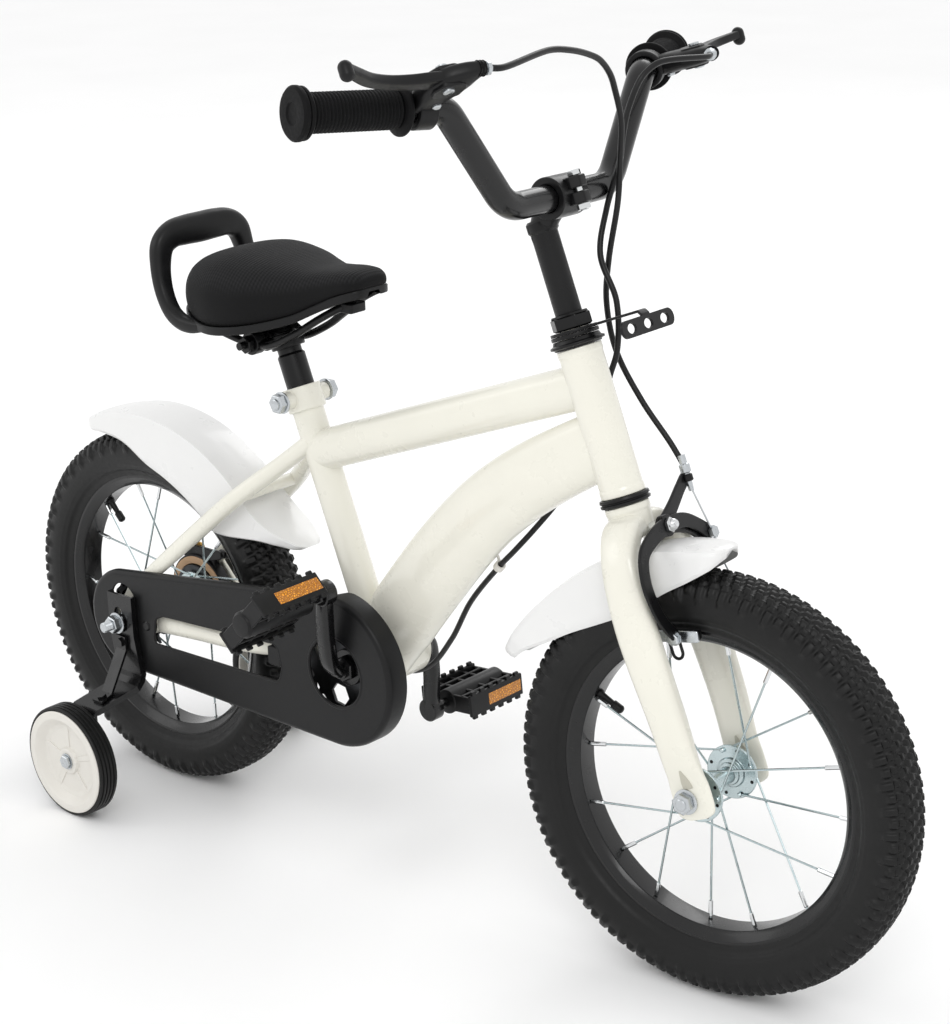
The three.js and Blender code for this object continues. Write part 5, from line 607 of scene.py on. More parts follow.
def tyre_shell(place, z):
    """A knobby tyre on a grid of angle round the wheel by distance across the section. The section is a
    smooth curve from bead to bead, closed inside the rim. The blocks stand out along the section's own normal
    by knob times a product of soft steps: one in the phase of the angle times the number of blocks, shifted
    half a block for every second row, and one across the row."""
    half, rim, top = z["tyre_half"], z["rim_radius"], z["wheel_radius"] - z["knob"]
    side = np.array([
        [0.70, -0.06], [0.76, 0.03], [0.85, 0.1], [0.95, 0.24], [1.0, 0.44], [0.985, 0.6], [0.92, 0.74],
        [0.79, 0.865], [0.58, 0.95], [0.3, 0.99], [0.0, 1.0],
    ]) * [half, top - rim] + [0, rim]
    outline = smooth(np.concatenate([side, side[-2::-1] * [-1, 1]]), 91)
    slope = unit(np.gradient(outline, axis=0))
    normal = columns(slope[:, 1], -slope[:, 0])
    normal *= np.sign(normal[45, 1])
    theta = np.linspace(0, TAU, 1040, endpoint=False)[:, None]
    y = outline[None, :, 0]
    out = np.abs(y)
    raised = 0
    # rows from the middle out: inner and outer edge, phase, share of the pitch, lean and how many round the
    # wheel; every second shoulder block is long and reaches down the sidewall
    for low, high, phase, duty, lean, count in (
        (-9, 3.0, 0.0, 0.6, 0.5, 104), (4.4, 8.4, 0.5, 0.6, 0.9, 104), (9.8, 13.4, 0.0, 0.6, -0.9, 104),
        (14.8, 18.2, 0.5, 0.6, 0.9, 104), (19.6, 25.0, 0.25, 0.32, 0.0, 52),
        (19.6, 23.4, 0.75, 0.32, 0.0, 52),
    ):
        turn = (theta * count / TAU + phase + lean * y / half) % 1.0
        lengthwise = np.clip((duty / 2 - np.abs(turn - 0.5)) / 0.1 + 0.5, 0, 1)
        crosswise = np.clip((out - low) / 0.9 + 0.5, 0, 1) * np.clip((high - out) / 0.9 + 0.5, 0, 1)
        raised = np.maximum(raised, lengthwise * crosswise)
    raised = raised * (outline[None, :, 1] > 0.5 * (rim + top))
    # thin rings that the mould leaves on the sidewall
    low_share = (outline[None, :, 1] - rim) / (top - rim)
    rings = 0.25 * np.maximum(0, np.cos(TAU * low_share * 9)) * ((low_share > 0.08) & (low_share < 0.26))
    lift = z["knob"] * raised + rings
    section = outline[None] + normal[None] * lift[..., None]
    inner = np.broadcast_to(np.array([[-0.66 * half, rim - 4], [0.66 * half, rim - 4]]), (len(theta), 2, 2))
    section = np.concatenate([section, inner], axis=1)
    centre, axes = place
    out = around(axes, theta[..., None])
    return shell(centre + section[..., :1] * axes[1] + section[..., 1:] * out, loop=True)


def spoke_shells(place, z):
    """Sixteen spokes and nipples: straight from the rim near the middle plane to a flange, each pair on one
    side leaning opposite ways by the spoke's sweep round the hub."""
    centre, axes = place
    spokes, nipples = [], []
    rim_end = z["rim_radius"] - 16.2
    for side in (-1, 1):
        for i in range(SPOKES_A_SIDE):
            lean = 1 if i % 2 == 0 else -1
            angle = (i + (0.5 if side > 0 else 0)) / SPOKES_A_SIDE * TAU
            hub = angle + lean * math.radians(62)
            at_rim = np.array([rim_end * math.cos(angle), side * 5, rim_end * math.sin(angle)])
            at_hub = SPOKE_CIRCLE * np.array([math.cos(hub), 0, math.sin(hub)]) + (side * 28 + lean * 1.5) * Y
            line = unit(at_hub - at_rim)
            ends = at_rim - line * 4, at_hub, at_rim - line, at_rim + line * 13
            world = [centre + end @ axes for end in ends]
            spokes.append(rod(world[0], world[1], z["spoke"], 8))
            nipples.append(rod(world[2], world[3], z["nipple"], 10, 0.6))
            # the spoke's head on the flange
            head = centre + (at_hub + [0, lean * 0.4, 0]) @ axes
            spokes.append(rod(head - axes[1] * 2.2, head + axes[1] * 2.2, 2.0, 10, 0.7))
    return spokes, nipples


class BIKE_OT_tyres(bpy.types.Operator):
    """Both knobby tyres"""
    bl_idname = "bike.tyres"
    bl_label = "Tyres"

    def execute(self, context):
        z = in_mm(context.scene.bike_sizes)
        for word in WHEELS:
            node = word + "_tyre"
            shape = [tyre_shell(wheel_place(word), z)]
            piece(node + "_knobby", shape, "tyre_rubber", word + "_wheel_body", [node], sharp=50)
        return {"FINISHED"}


class BIKE_OT_rims(bpy.types.Operator):
    """Both rims and their valves"""
    bl_idname = "bike.rims"
    bl_label = "Rims and Valves"

    def execute(self, context):
        z = in_mm(context.scene.bike_sizes)
        half, edge = z["rim_half"], z["rim_radius"]
        profile = eased([
            [-half, edge], [-half, edge - 6.5], [-half + 3.4, edge - 11.5], [-half + 6, edge - 14.6],
            [half - 6, edge - 14.6], [half - 3.4, edge - 11.5], [half, edge - 6.5], [half, edge],
            [half - 2, edge], [half - 2.4, edge - 6], [half - 8, edge - 10], [-half + 8, edge - 10],
            [-half + 2.4, edge - 6], [-half + 2, edge],
        ], 1.6, 4, loop=True)
        valve_outline = eased([
            [0, 4.2], [3, 4.2], [5, 3.0], [15, 2.6], [17, 2.6], [17.4, 3.7], [26.5, 3.7], [28.2, 2.4],
            [28.6, 0.8],
        ], 0.5, 3) * [0.93, 1]
        angle = math.radians(134)
        for word in WHEELS:
            node, body, place = word + "_rim", word + "_wheel_body", wheel_place(word)
            rim = turned_about(place, profile, 160, loop=True)
            piece(node + "_turned", [rim], "black_paint", body, [node])
            centre, axes = place
            out = around(axes, angle)
            valve = lathe(valve_outline, centre + out * (edge - 13), -out, 24)
            piece(node + "_valve", [valve], "tyre_rubber", body, slot="black_plastic")
        return {"FINISHED"}


class BIKE_OT_hubs(bpy.types.Operator):
    """Both hubs with their spokes and nipples"""
    bl_idname = "bike.hubs"
    bl_label = "Hubs and Spokes"

    def execute(self, context):
        z = in_mm(context.scene.bike_sizes)
        end, flange = z["hub_half"], z["flange"]
        side = np.array([
            [0, 6.8], [20.4, 6.8], [21, 9.4], [23.2, 9.4], [23.8, 12.2], [26.5, 12.6], [26.5, flange],
            [29.5, flange], [29.5, 14.5], [31, 13.8], [32, 11.2], [end - 1.5, 11], [end, 10], [end, 6.2],
        ])
        hub = eased(np.concatenate([side[:0:-1] * [-1, 1], side[1:]]), 0.7, 4)
        for word in WHEELS:
            node, body, place = word + "_hub_spokes", word + "_wheel_body", wheel_place(word)
            centre, axes = place
            spokes, nipples = spoke_shells(place, z)
            if word == "rear":
                drum = [[31, 12], [31, 28.4], [31.8, 29], [43, 29], [43, 27], [33, 27], [33, 12]]
                ring = turned_about(place, drum, 72, loop=True)
                piece("rear_hub_drum", [ring], "zinc_dark", body, slot="zinc_steel")
            shape = [turned_about(place, hub, 48)] + spokes
            piece(node + "_fine", shape, "hub_steel", body, [node], slot="zinc_steel")
            piece(node + "_nipples", nipples, "chrome_steel", body, slot="zinc_steel")
            # dark discs between the spoke heads, on both faces of each flange: painted shade standing in for
            # the open holes
            holes = []
            for off in (-29.5, -26.5, 29.5, 26.5):
                for k in range(SPOKES_A_SIDE):
                    t = (k + 0.25) / SPOKES_A_SIDE * TAU
                    at = centre + off * axes[1] + SPOKE_CIRCLE * around(axes, t)
                    holes.append(rod(at - axes[1] * 0.16, at + axes[1] * 0.16, 1.5, 12))
            piece(node + "_holes", holes, "black_steel", body, slot="zinc_steel")
        return {"FINISHED"}


def axle_shells(place, half, inside, outside, washers, nuts):
    """A threaded axle: its ends cut with fine rings, cones inside the dropouts, and washers and nuts
    outside."""
    centre, axes = place
    y = axes[1]
    turns = int((half - outside) * 2 / 1.25)
    at = np.linspace(outside, half - 0.6, turns * 2)
    thread = columns(at, 4.75 + 0.25 * (np.arange(len(at)) % 2))
    thread = np.concatenate([thread, [[half, 4.2]]])
    profile = np.concatenate([thread[::-1] * [-1, 1], thread])
    made = [lathe(profile, centre, y, 20)]
    cone = eased([[38.3, 5], [38.3, 7.6], [40, 8], [inside, 8], [inside, 5]], 0.5, 3)
    for side in (-1, 1):
        made.append(lathe(cone, centre, side * y, 28))
        for low, high in washers:
            washer = [[low, 9.9], [low + 0.3, 10.5], [high - 0.3, 10.5], [high, 9.9]]
            made.append(lathe(washer, centre, side * y, 36))
        for low, high in nuts:
            made.append(nut(centre, side * y, 8.8, low, high, 0.3))
    return made


class BIKE_OT_axles(bpy.types.Operator):
    """Both threaded axles with their cones, washers and nuts"""
    bl_idname = "bike.axles"
    bl_label = "Axles"

    def execute(self, context):
        for word, body, sizes in (
            ("front", "steering_body", (55.3, 40.5, 45.6, [(45.6, 47.2)], [(47.2, 54.4)])),
            (
                "rear", "frame_body",
                (88.7, 49.7, 54.3, [(54.3, 55.9), (70.8, 72.4)], [(56.0, 64.2), (72.4, 79.8)]),
            ),
        ):
            node = word + "_axle"
            made = axle_shells(wheel_place(word), *sizes)
            piece(node + "_threaded", made, "zinc_steel", body, [node])
        return {"FINISHED"}


# ---------------------------------------------------------------- fork and headset

class BIKE_OT_fork(bpy.types.Operator):
    """The fork: two flat blades in one sweep over the crown, with the steerer"""
    bl_idname = "bike.fork"
    bl_label = "Fork"

    def execute(self, context):
        rows = np.array([
            [-0.0734, 0.938, 0.5, 0.25, 1], [-0.06, 0.938, 0.86, 0.25, 1], [-0.035, 0.938, 1.0, 0.25, 1],
            [0.0, 0.938, 1.03, 0.25, 1], [0.05, 0.938, 1.02, 0.25, 1], [0.09, 0.95, 0.95, 0.42, 1],
            [0.14, 0.97, 0.92, 0.66, 1], [0.3, 1, 0.93, 0.97, 1.05], [0.66, 1, 1.03, 1, 0.7],
            [0.88, 0.87, 0.92, 1.13, 0.6], [0.98, 0.5, 0.93, 1.3, 0.25], [1, 0.2, 0.95, 1.33, 0],
        ])
        offset, spread, length, wide, deep = 9.5, 46, 218, 18, 9
        blade = columns(
            rows[:, 4] * offset, rows[:, 1] * spread, rows[:, 0] * length, rows[:, 2] * wide,
            rows[:, 3] * deep,
        )
        both = np.concatenate([blade * [1, -1, 1, 1, 1], blade[::-1]])
        fine = smooth(both, 170)
        rings = sweep(fine[:, :3], fine[:, 3], fine[:, 4], X, roundness=2.6, sides=40)
        body = [steered(rings)]
        race = eased([
            [212, 14], [214, 17.2], [218, 18], [229, 18], [231, 18.6], [236, 18.6], [236, 13],
        ], 1.0, 4)
        body.append(lathe(race, STEER_ORIGIN, HEAD, 64))
        body.append(lathe([[215, 12.7], [387, 12.7]], STEER_ORIGIN, HEAD, 40))
        piece("fork_blades", body, "ivory_paint", "steering_body", ["fork"])
        # the pressed keyhole above each axle, outside and inside the tip, drawn as a thin sheet in darker
        # ivory: painted shade standing in for the recess
        marks = []
        for side in (-1, 1):
            for faces in ((45.4, 45.4, 47.5, 50.6), (40.9, 40.9, 39.9, 38.7)):
                outline = eased([
                    [-4.6, 10], [4.6, 10], [4.0, 16], [0.9, 26.5], [-0.9, 26.5], [-4.0, 16],
                ], 1.0, 4, loop=True)
                face = np.interp(outline[:, 1], [-16, 10.9, 19.6, 30.5], faces)
                flat = columns(outline[:, 0] + 9.5, side * face, outline[:, 1])
                marks.append(np.stack([steered(flat - [0, 0.45, 0]), steered(flat + [0, 0.45, 0])]))
        piece("fork_tip_keyholes", marks, "ivory_shade", "steering_body", slot="ivory_paint")
        return {"FINISHED"}


class BIKE_OT_headset(bpy.types.Operator):
    """The headset: cups, bearing race, locknut and the front bracket's strap"""
    bl_idname = "bike.headset"
    bl_label = "Headset and Bracket"

    def execute(self, context):
        for name, node, body, sides, steps, ease, profile in (
            ("lower_ring", "lower_cup", "frame_body", 64, 3, 0.3, [
                [236.4, 14], [236.4, 18.6], [237, 20.6], [239, 21], [239.6, 19.6], [240.4, 19.6], [241, 21],
                [243.4, 20.4], [243.8, 18], [243.8, 14],
            ]),
            ("upper_ring", "upper_cup", "frame_body", 64, 3, 0.4, [
                [367.4, 14], [367.4, 19.4], [368.8, 20], [369.4, 22.6], [371.2, 22.6], [372.2, 20.2],
                [375.2, 19], [375.2, 14],
            ]),
            ("race_ring", "race", "steering_body", 48, 4, 0.5, [
                [375.6, 13.5], [375.6, 19.8], [378.8, 19.8], [378.8, 13.5],
            ]),
        ):
            made = lathe(eased(profile, ease, steps), STEER_ORIGIN, HEAD, sides)
            piece("headset_" + name, [made], "black_steel", body, ["headset_" + node])
        rim = lathe([[393, 15.5], [394.6, 14.6]], STEER_ORIGIN, HEAD, 40)
        lock = [nut(STEER_ORIGIN, HEAD, 17.2, 382, 393.4, 0.4), rim]
        piece("headset_locknut_hex", lock, "black_steel", "steering_body", ["headset_locknut"])
        strap = bracket_shells()
        piece(
            "front_bracket_strap", strap, "black_plastic", "steering_body", ["front_bracket"],
            slot="black_steel",
        )
        return {"FINISHED"}


def bracket_shells():
    """The front bracket: a ring under the locknut, a flat arm forward and an upright cross plate. The plate
    is a stadium with three holes, on a grid of height by length whose points near a hole move out to its
    edge."""
    ring = lathe(
        eased([[379.1, 13.4], [379.1, 19.4], [381.7, 19.4], [381.7, 13.4]], 0.4, 3, loop=True), STEER_ORIGIN,
        HEAD, 64,
    )
    arm = eased(np.array([[15.5, 0, 380.4], [66.5, 0, 380.4], [68.7, 0, 377.4], [68.7, 0, 374.6]]), 1.5, 7)
    made = [shell(ring, loop=True), steered(sweep(arm, 6.0, 1.1, Y, roundness=7, sides=20))]
    # rows of the cross plate between its outer stadium and its three holes, piece by piece along its length
    holes, reach, half = (-24.0, 0.0, 24.0), 37.5, 7.0
    cuts = [-reach, -12.0, 12.0, reach]
    direction = ring_of(48, turn=TAU / 96)
    for hole, low, high in zip(holes, cuts[:-1], cuts[1:]):
        inner = direction * [6.4, 4.2] + [hole, 0]
        side = np.where(direction[:, 0] > 0, high - hole, hole - low)
        scale = np.minimum(
            side / np.maximum(np.abs(direction[:, 0]), 1e-6),
            half / np.maximum(np.abs(direction[:, 1]), 1e-6),
        )
        outer = np.array([hole, 0]) + direction * scale[:, None]
        ends = np.clip(outer[:, 0], -reach + half, reach - half)
        away = outer - columns(ends, 0)
        far = np.abs(outer[:, 0]) > reach - half
        outer = np.where(far[:, None], columns(ends, 0) + unit(away + 1e-9) * half, outer)
        loop_ = np.stack([inner, outer, outer, inner])
        depth = np.array([67.4, 67.4, 70.0, 70.0])[:, None]
        rings = columns(depth, loop_[..., 0], 369.5 + loop_[..., 1])
        made.append(shell(steered(rings), loop=True))
    return made


# ---------------------------------------------------------------- stem, bar and grips

BAR_RISE = {-1: np.array([43.0, -137.0, 565.5]), 1: np.array([43.0, 137.0, 565.5])}
BAR_END = {-1: np.array([2.5, -251.0, 585.2]), 1: np.array([2.5, 251.0, 585.2])}


class BIKE_OT_stem(bpy.types.Operator):
    """The stem: quill, clamp with its slit ears and the clamp bolt"""
    bl_idname = "bike.stem"
    bl_label = "Stem"

    def execute(self, context):
        quill = eased([[331, 9], [331, 11.1], [461, 11.1], [463, 12.8], [470, 12.8], [472, 11.1]], 0.8, 4)
        made = [lathe(quill, STEER_ORIGIN, HEAD, 48)]
        neck = smooth([[0, 0, 455], [0, 0, 463], [5, 0, 471], [14, 0, 478], [24, 0, CLAMP_HEIGHT]], 24)
        made.append(steered(sweep(neck, 11.1, 11.1, Y, sides=36)))
        centre = steered([24, 0, CLAMP_HEIGHT])
        barrel = eased([
            [-18, 11.2], [-18, 16.4], [-16.8, 17], [16.8, 17], [18, 16.4], [18, 11.2],
        ], 0.6, 4, loop=True)
        made.append(shell(lathe(barrel, centre, STEER_AXES[1], 48), loop=True))
        ear = eased([[27, -9], [43, -9], [50, -4.5], [50, 4.5], [43, 9], [27, 9]], 2.5, 4, loop=True)
        for low, high in ((1.6, 11.0), (-11.0, -1.6)):
            low, high = CLAMP_HEIGHT + low, CLAMP_HEIGHT + high
            made.append(slab(ear, low, high, STEER_ORIGIN, STEER_AXES[0], STEER_AXES[1], 0.8))
        piece("stem_quill_clamp", made, "black_steel", "steering_body", ["stem"])
        foot = steered([43.4, 0, CLAMP_HEIGHT])
        up = STEER_AXES[2]
        bolt = [
            rod(foot - up * 17, foot + up * 13, 3.0, 20), nut(foot, up, 5.6, 11.2, 15.6),
            nut(foot, up, 5.6, -16.2, -11.2, 0.5),
        ]
        piece("stem_bolt_hex", bolt, "chrome_steel", "steering_body", ["stem_bolt"])
        return {"FINISHED"}


class BIKE_OT_bar(bpy.types.Operator):
    """The handlebar: one tube bent into a U between two grips"""
    bl_idname = "bike.bar"
    bl_label = "Handlebar"

    def execute(self, context):
        z = in_mm(context.scene.bike_sizes)
        points = np.array([
            BAR_END[-1], BAR_RISE[-1], [24, -72, CLAMP_HEIGHT], [24, 72, CLAMP_HEIGHT], BAR_RISE[1],
            BAR_END[1],
        ])
        path = eased(points, [0, 24, 34, 34, 24, 0], 20)
        ends = np.linspace(path[0], path[1], 9)[:-1], np.linspace(path[-2], path[-1], 9)[1:]
        rings = sweep(np.concatenate([ends[0], path[1:-1], ends[1]]), z["bar"], sides=40)
        piece("handlebar_tube", [steered(rings)], "black_paint", "steering_body", ["handlebar"])
        return {"FINISHED"}


class BIKE_OT_grips(bpy.types.Operator):
    """Both rubber grips: fine ribs, a flange by the lever and a mushroom end"""
    bl_idname = "bike.grips"
    bl_label = "Grips"

    def execute(self, context):
        z = in_mm(context.scene.bike_sizes)
        length, radius = z["grip_length"], z["grip"]
        for side, word in SIDES:
            node = "grip_" + word
            along = unit(BAR_END[side] - BAR_RISE[side])
            end = BAR_END[side] + along * 3.3
            at = np.linspace(5.5, length - 12, 250)
            ribs = columns(at, radius - 1.1 * (0.5 + 0.5 * np.cos(TAU * (at - 5.5) / 3.0)) ** 1.5)
            flange = eased([[0, 12.6], [0, 19.2], [1.2, 20], [3, 20], [4.4, 17.6], [5.4, radius]], 0.7, 4)
            cap = eased([
                [length - 11.5, radius], [length - 10.2, 17.8], [length - 8.6, 19.4], [length - 6.4, 19.4],
                [length - 5.9, 18.2], [length - 5.4, 18.2], [length - 4.8, 20], [length - 1.8, 20],
                [length, 18.2], [length, 8.5], [length - 1.2, 7.6], [length - 1.2, 1],
            ], 0.6, 4)
            profile = np.concatenate([flange, ribs, cap])
            profile[:, 0] -= length
            rings = lathe(profile, end, along, 64)
            piece(node + "_ribbed", [steered(rings)], "grip_rubber", "steering_body", [node], sharp=50)
        return {"FINISHED"}


def lever_frame(side):
    """The place and directions of one brake lever's own frame: out along the grip, forward and up."""
    out = unit(BAR_END[side] - BAR_RISE[side])
    turn = math.radians(9.4 if side < 0 else -6.3)
    forward = np.array([math.cos(turn), 0, math.sin(turn)])
    forward = unit(forward - (forward @ out) * out)
    up = np.cross(out, forward) * side
    place = BAR_RISE[side] + (BAR_END[side] - BAR_RISE[side]) / 6
    return place, np.stack([out, forward, up])


def in_lever(side, points):
    """Points of a lever's frame, as (out, forward, up), in the bike's frame."""
    place, axes = lever_frame(side)
    return steered(place + np.asarray(points, float) @ axes)


class BIKE_OT_levers(bpy.types.Operator):
    """Both brake levers: clamp body, ribbed boot, screws, adjuster and the blade with its ball end"""
    bl_idname = "bike.levers"
    bl_label = "Brake Levers"

    def execute(self, context):
        for side, word in SIDES:
            clamp = eased([
                [-8, 11.4], [-8, 15.2], [-7, 16], [7, 16], [8, 15.2], [8, 11.4],
            ], 0.8, 4, loop=True)
            axis = in_lever(side, [1, 0, 0]) - in_lever(side, [0, 0, 0])
            made = [shell(lathe(clamp, in_lever(side, [0, 0, 0]), axis, 48), loop=True)]
            # the body narrows from the clamp to the adjuster's snout, over a grid of length by angle
            spine = smooth([
                [4, 8, 0, 9.0, 8.6], [3, 18, 0, 11.0, 8.6], [1, 30, 0, 14.0, 8.4], [-3, 41, 0, 15.5, 8.0],
                [-9, 50, 0, 12.5, 7.2], [-14, 56, 0, 8.5, 6.2], [-19, 60, 0, 5.2, 5.0],
                [-22, 60.5, 0, 4.6, 4.6],
            ], 40)
            rings = sweep(spine[:, :3], spine[:, 3], spine[:, 4], [1.0, 0.4, 0.0], roundness=3.0, sides=36)
            made.append(in_lever(side, rings))
            for low, high in ((-8.5, -4.6), (4.6, 8.5)):
                cheek = eased([[-12, 34], [10, 30], [12, 40], [8, 50], [-4, 54], [-12, 50]], 5, 6, loop=True)
                made.append(in_lever(side, slab(cheek, low, high, [0, 0, 0], X, Y, 0.9)))
            node = "brake_lever_body_" + word
            piece(node + "_shaped", made, "black_plastic", "steering_body", [node])
            boot = np.linspace(0, 5, 31)
            profile = columns(boot, 5.6 + 0.4 * np.cos(TAU * boot / 2.5))
            start, aim = in_lever(side, [-16, 60, 0]), in_lever(side, [-17, 60, 0])
            piece(
                "lever_boot_" + word, [lathe(profile, start, aim - start, 32)], "grip_rubber",
                "steering_body", sharp=60,
            )
            barrel = eased([
                [6, 3.4], [8, 5.2], [14, 5.2], [14.6, 3.8], [17, 3.8], [17.4, 5.2], [24, 5.2], [25, 3.6],
                [27.6, 3.4], [27.8, 2.6],
            ], 0.3, 3)
            screws = [lathe(barrel * [0.42, 1], start, aim - start, 10)]
            for spot, radius, low, high in (
                ([2, 44], 4.4, 8.3, 10.6), ([2, 44], 4.4, -10.6, -8.3), ([-1, 20], 3.4, 8.2, 10.4),
            ):
                foot = in_lever(side, [spot[0], spot[1], 0])
                lift = unit(in_lever(side, [spot[0], spot[1], 1]) - foot)
                screws.append(lathe([
                    [low, radius], [high - 0.7, radius], [high, radius * 0.75],
                ], foot, lift, 24))
            piece("lever_screws_" + word, screws, "zinc_steel", "steering_body")
            rows = np.array([
                [-0.02, 0.69], [0, 0.667], [0.12, 0.66], [0.3, 0.635], [0.5, 0.65], [0.7, 0.73], [0.86, 0.87],
                [0.97, 0.985],
            ])
            half = 6.4 * np.array([0.8, 1.28, 1.26, 1.1, 0.95, 0.87, 0.78, 0.62])
            line = columns(2 + rows[:, 0] * 92, rows[:, 1] * 66, 0, half, 4.6 - 1.1 * np.linspace(0, 1, 8))
            line = smooth(line, 60)
            blade = sweep(line[:, :3], line[:, 3], line[:, 4], [0, 1, 0], roundness=4.2, sides=32)
            t = np.linspace(0.02, math.pi - 0.02, 24)
            ball = columns(1.6 - 5.2 * np.cos(t) - 2.6 * np.sign(np.cos(t)), 5.4 * np.sin(t))
            ball = lathe(ball, [94, 66, 0], [0, 0, 1], 32)
            parts = [in_lever(side, blade), in_lever(side, ball)]
            node = "brake_lever_" + word
            piece(node + "_blade", parts, "black_plastic", node + "_body", [node])
        return {"FINISHED"}


# ---------------------------------------------------------------- frame

def stay_shells(z):
    """The chain stays and seat stays: flattened tubes that spread to the dropouts, each a smooth sweep."""
    made = []
    for side in (-1, 1):
        rows = np.array([
            [0.05, 0.44, 1, 1], [0.24, 0.53, 1, 1], [0.42, 0.83, 1, 1], [0.7, 0.9, 0.85, 1],
            [0.86, 0.955, 0.46, 1.05], [0.955, 0.96, 0.44, 1.12],
        ])
        path = BRACKET + rows[:, :1] * (REAR_AXLE - BRACKET) + rows[:, 1:2] * [0, side * DROPOUT_OFF, 0]
        fine = smooth(np.concatenate([path, rows[:, 2:] * z["stay"]], axis=1), 70)
        made.append(sweep(fine[:, :3], fine[:, 4], fine[:, 3], Z, roundness=2.3, sides=32))
        rows = np.array([
            [0, 0.15, 0.9, 1], [0.13, 0.34, 1, 1], [0.34, 0.76, 1, 1], [0.6, 0.9, 0.9, 1],
            [0.85, 0.965, 0.52, 0.92], [1, 0.97, 0.45, 0.85],
        ])
        start, end = on_seat_tube(200.8), REAR_AXLE + [5, 0, 29]
        path = start + rows[:, :1] * (end - start) + rows[:, 1:2] * [0, side * DROPOUT_OFF, 0]
        fine = smooth(np.concatenate([path, rows[:, 2:] * z["seat_stay"]], axis=1), 70)
        made.append(sweep(fine[:, :3], fine[:, 3], fine[:, 4], Y, roundness=2.1, sides=32))
        outline = eased(np.array([
            [-0.5, -0.36], [0.55, -0.34], [1, -0.14], [1, 0.3], [0.45, 0.88], [0.05, 0.92], [-0.28, 0.42],
            [-0.5, 0.36],
        ]) * 40, 6, 5, loop=True)
        made.append(slab(outline, -2, 2, REAR_AXLE + [0, side * DROPOUT_OFF, 0], X, Z, 0.8))
    return made


class BIKE_OT_frame(bpy.types.Operator):
    """The frame: seat tube with its collar, head tube, top tube, the wide curved down tube, stays and
    dropouts"""
    bl_idname = "bike.frame"
    bl_label = "Frame"

    def execute(self, context):
        z = in_mm(context.scene.bike_sizes)
        seat, head = z["seat_tube"], z["head_tube"]
        tube = eased([[0, seat], [228.5, seat], [229.5, 17.5], [251, 17.5], [251, 12.9]], 0.9, 5)
        collars = eased([
            [244, 13], [244, head + 0.6], [249, head + 0.6], [251, head], [360, head], [362, head + 0.6],
            [367, head + 0.6], [367, 13],
        ], 0.8, 4)
        bracket = eased([[-34, 20], [-34, z["shell"]], [34, z["shell"]], [34, 20]], 1.2, 5)
        made = [
            lathe(tube, BRACKET, SEAT_LINE, 56), lathe(collars, STEER_ORIGIN, HEAD, 64),
            lathe(bracket, BRACKET, Y, 72),
        ]
        ends = np.stack([on_seat_tube(190.6), on_head(335.7)])
        made.append(sweep(np.linspace(ends[0], ends[1], 12), 14.5, 18.5, Y, roundness=2.4, sides=48))
        spine = smooth(np.array([on_head(288), [100.5, 0, 367], [-7.4, 0, 246.4], BRACKET]), 80)
        t = np.linspace(0, 1, 80)
        tall = np.interp(t, np.linspace(0, 1, 6), [0.86, 0.94, 1.01, 1.08, 1.09, 0.92]) * 32
        wide = np.interp(t, np.linspace(0, 1, 6), [0.76, 0.99, 1, 1, 1, 1]) * 19
        made.append(sweep(spine, wide, tall, Y, roundness=2.5, sides=56))
        made += stay_shells(z)
        # the bridges between the seat stays and between the chain stays, and the seat clamp's boss
        turn = math.radians(45.3)
        bridge = REAR_AXLE + 208.3 * np.array([math.cos(turn), 0, math.sin(turn)])
        made.append(rod(bridge - 39.5 * Y, bridge + 39.5 * Y, 6, 24))
        low = BRACKET + 0.27 * (REAR_AXLE - BRACKET)
        made.append(rod(low - 27.6 * Y, low + 27.6 * Y, 6, 24))
        boss = on_seat_tube(241.6)
        made.append(rod(boss - 26 * Y, boss + 26 * Y, 8, 32, 0.8))
        piece("frame_tubes", made, "ivory_paint", "frame_body", ["frame"])
        for side, word in SIDES:
            node, out = "seat_clamp_bolt_" + word, side * Y
            washer = lathe([[26.3, 9.4], [26.7, 10], [27.9, 10], [28.3, 9.4]], boss, out, 40)
            tip = lathe([[35, 5.4], [36.4, 5], [37.2, 3.6]], boss, out, 28)
            parts = [washer, nut(boss, out, 9, 28.3, 35.2, 0.5), tip]
            piece(node + "_hex", parts, "zinc_steel", "frame_body", [node])
        return {"FINISHED"}


def fender_rings(place, turns, width_shares, width, flare_shares, flare, skirt, z, count):
    """A fender on a grid of turn round the wheel by distance across it: its arched section lies at radius
    gap + flare + rise, its sides reach down by skirt, with a stiff bead along both edges, and it is closed on
    itself a skin's thickness inside."""
    centre, axes = place
    table = [
        np.radians(turns), np.array(width_shares) * width, np.array(flare_shares) * flare,
        np.array(skirt, float),
    ]
    rows = smooth(np.stack(table, axis=-1), count, knots=np.radians(turns) * np.sign(turns[1] - turns[0]))
    section = np.array([
        [-1, -1], [-0.93, -0.4], [-0.84, 0], [-0.5, 0.7], [-0.24, 1], [0, 1.03], [0.24, 1], [0.5, 0.7],
        [0.84, 0], [0.93, -0.4], [1, -1],
    ])
    section = smooth(section, 41, knots=np.arange(11))
    rise = np.where(section[None, :, 1] > 0, 2.5, rows[:, 3:4]) * section[None, :, 1]
    out = rows[:, 1:2] * section[None, :, 0]
    low = z["fender"] + rows[:, 2:3] + rise * np.clip(rows[:, 1:2] / width + 0.25, 0, 1)
    bead = 0.5 * (np.abs(section[None, :, 0]) > 0.9)
    y = np.concatenate([out, out[:, ::-1] * 0.945], axis=1)
    r = np.concatenate([low + z["skin"] / 2 + bead, (low - z["skin"] / 2 - bead)[:, ::-1]], axis=1)
    return centre + y[..., None] * axes[1] + r[..., None] * around(axes, rows[:, 0][:, None, None])


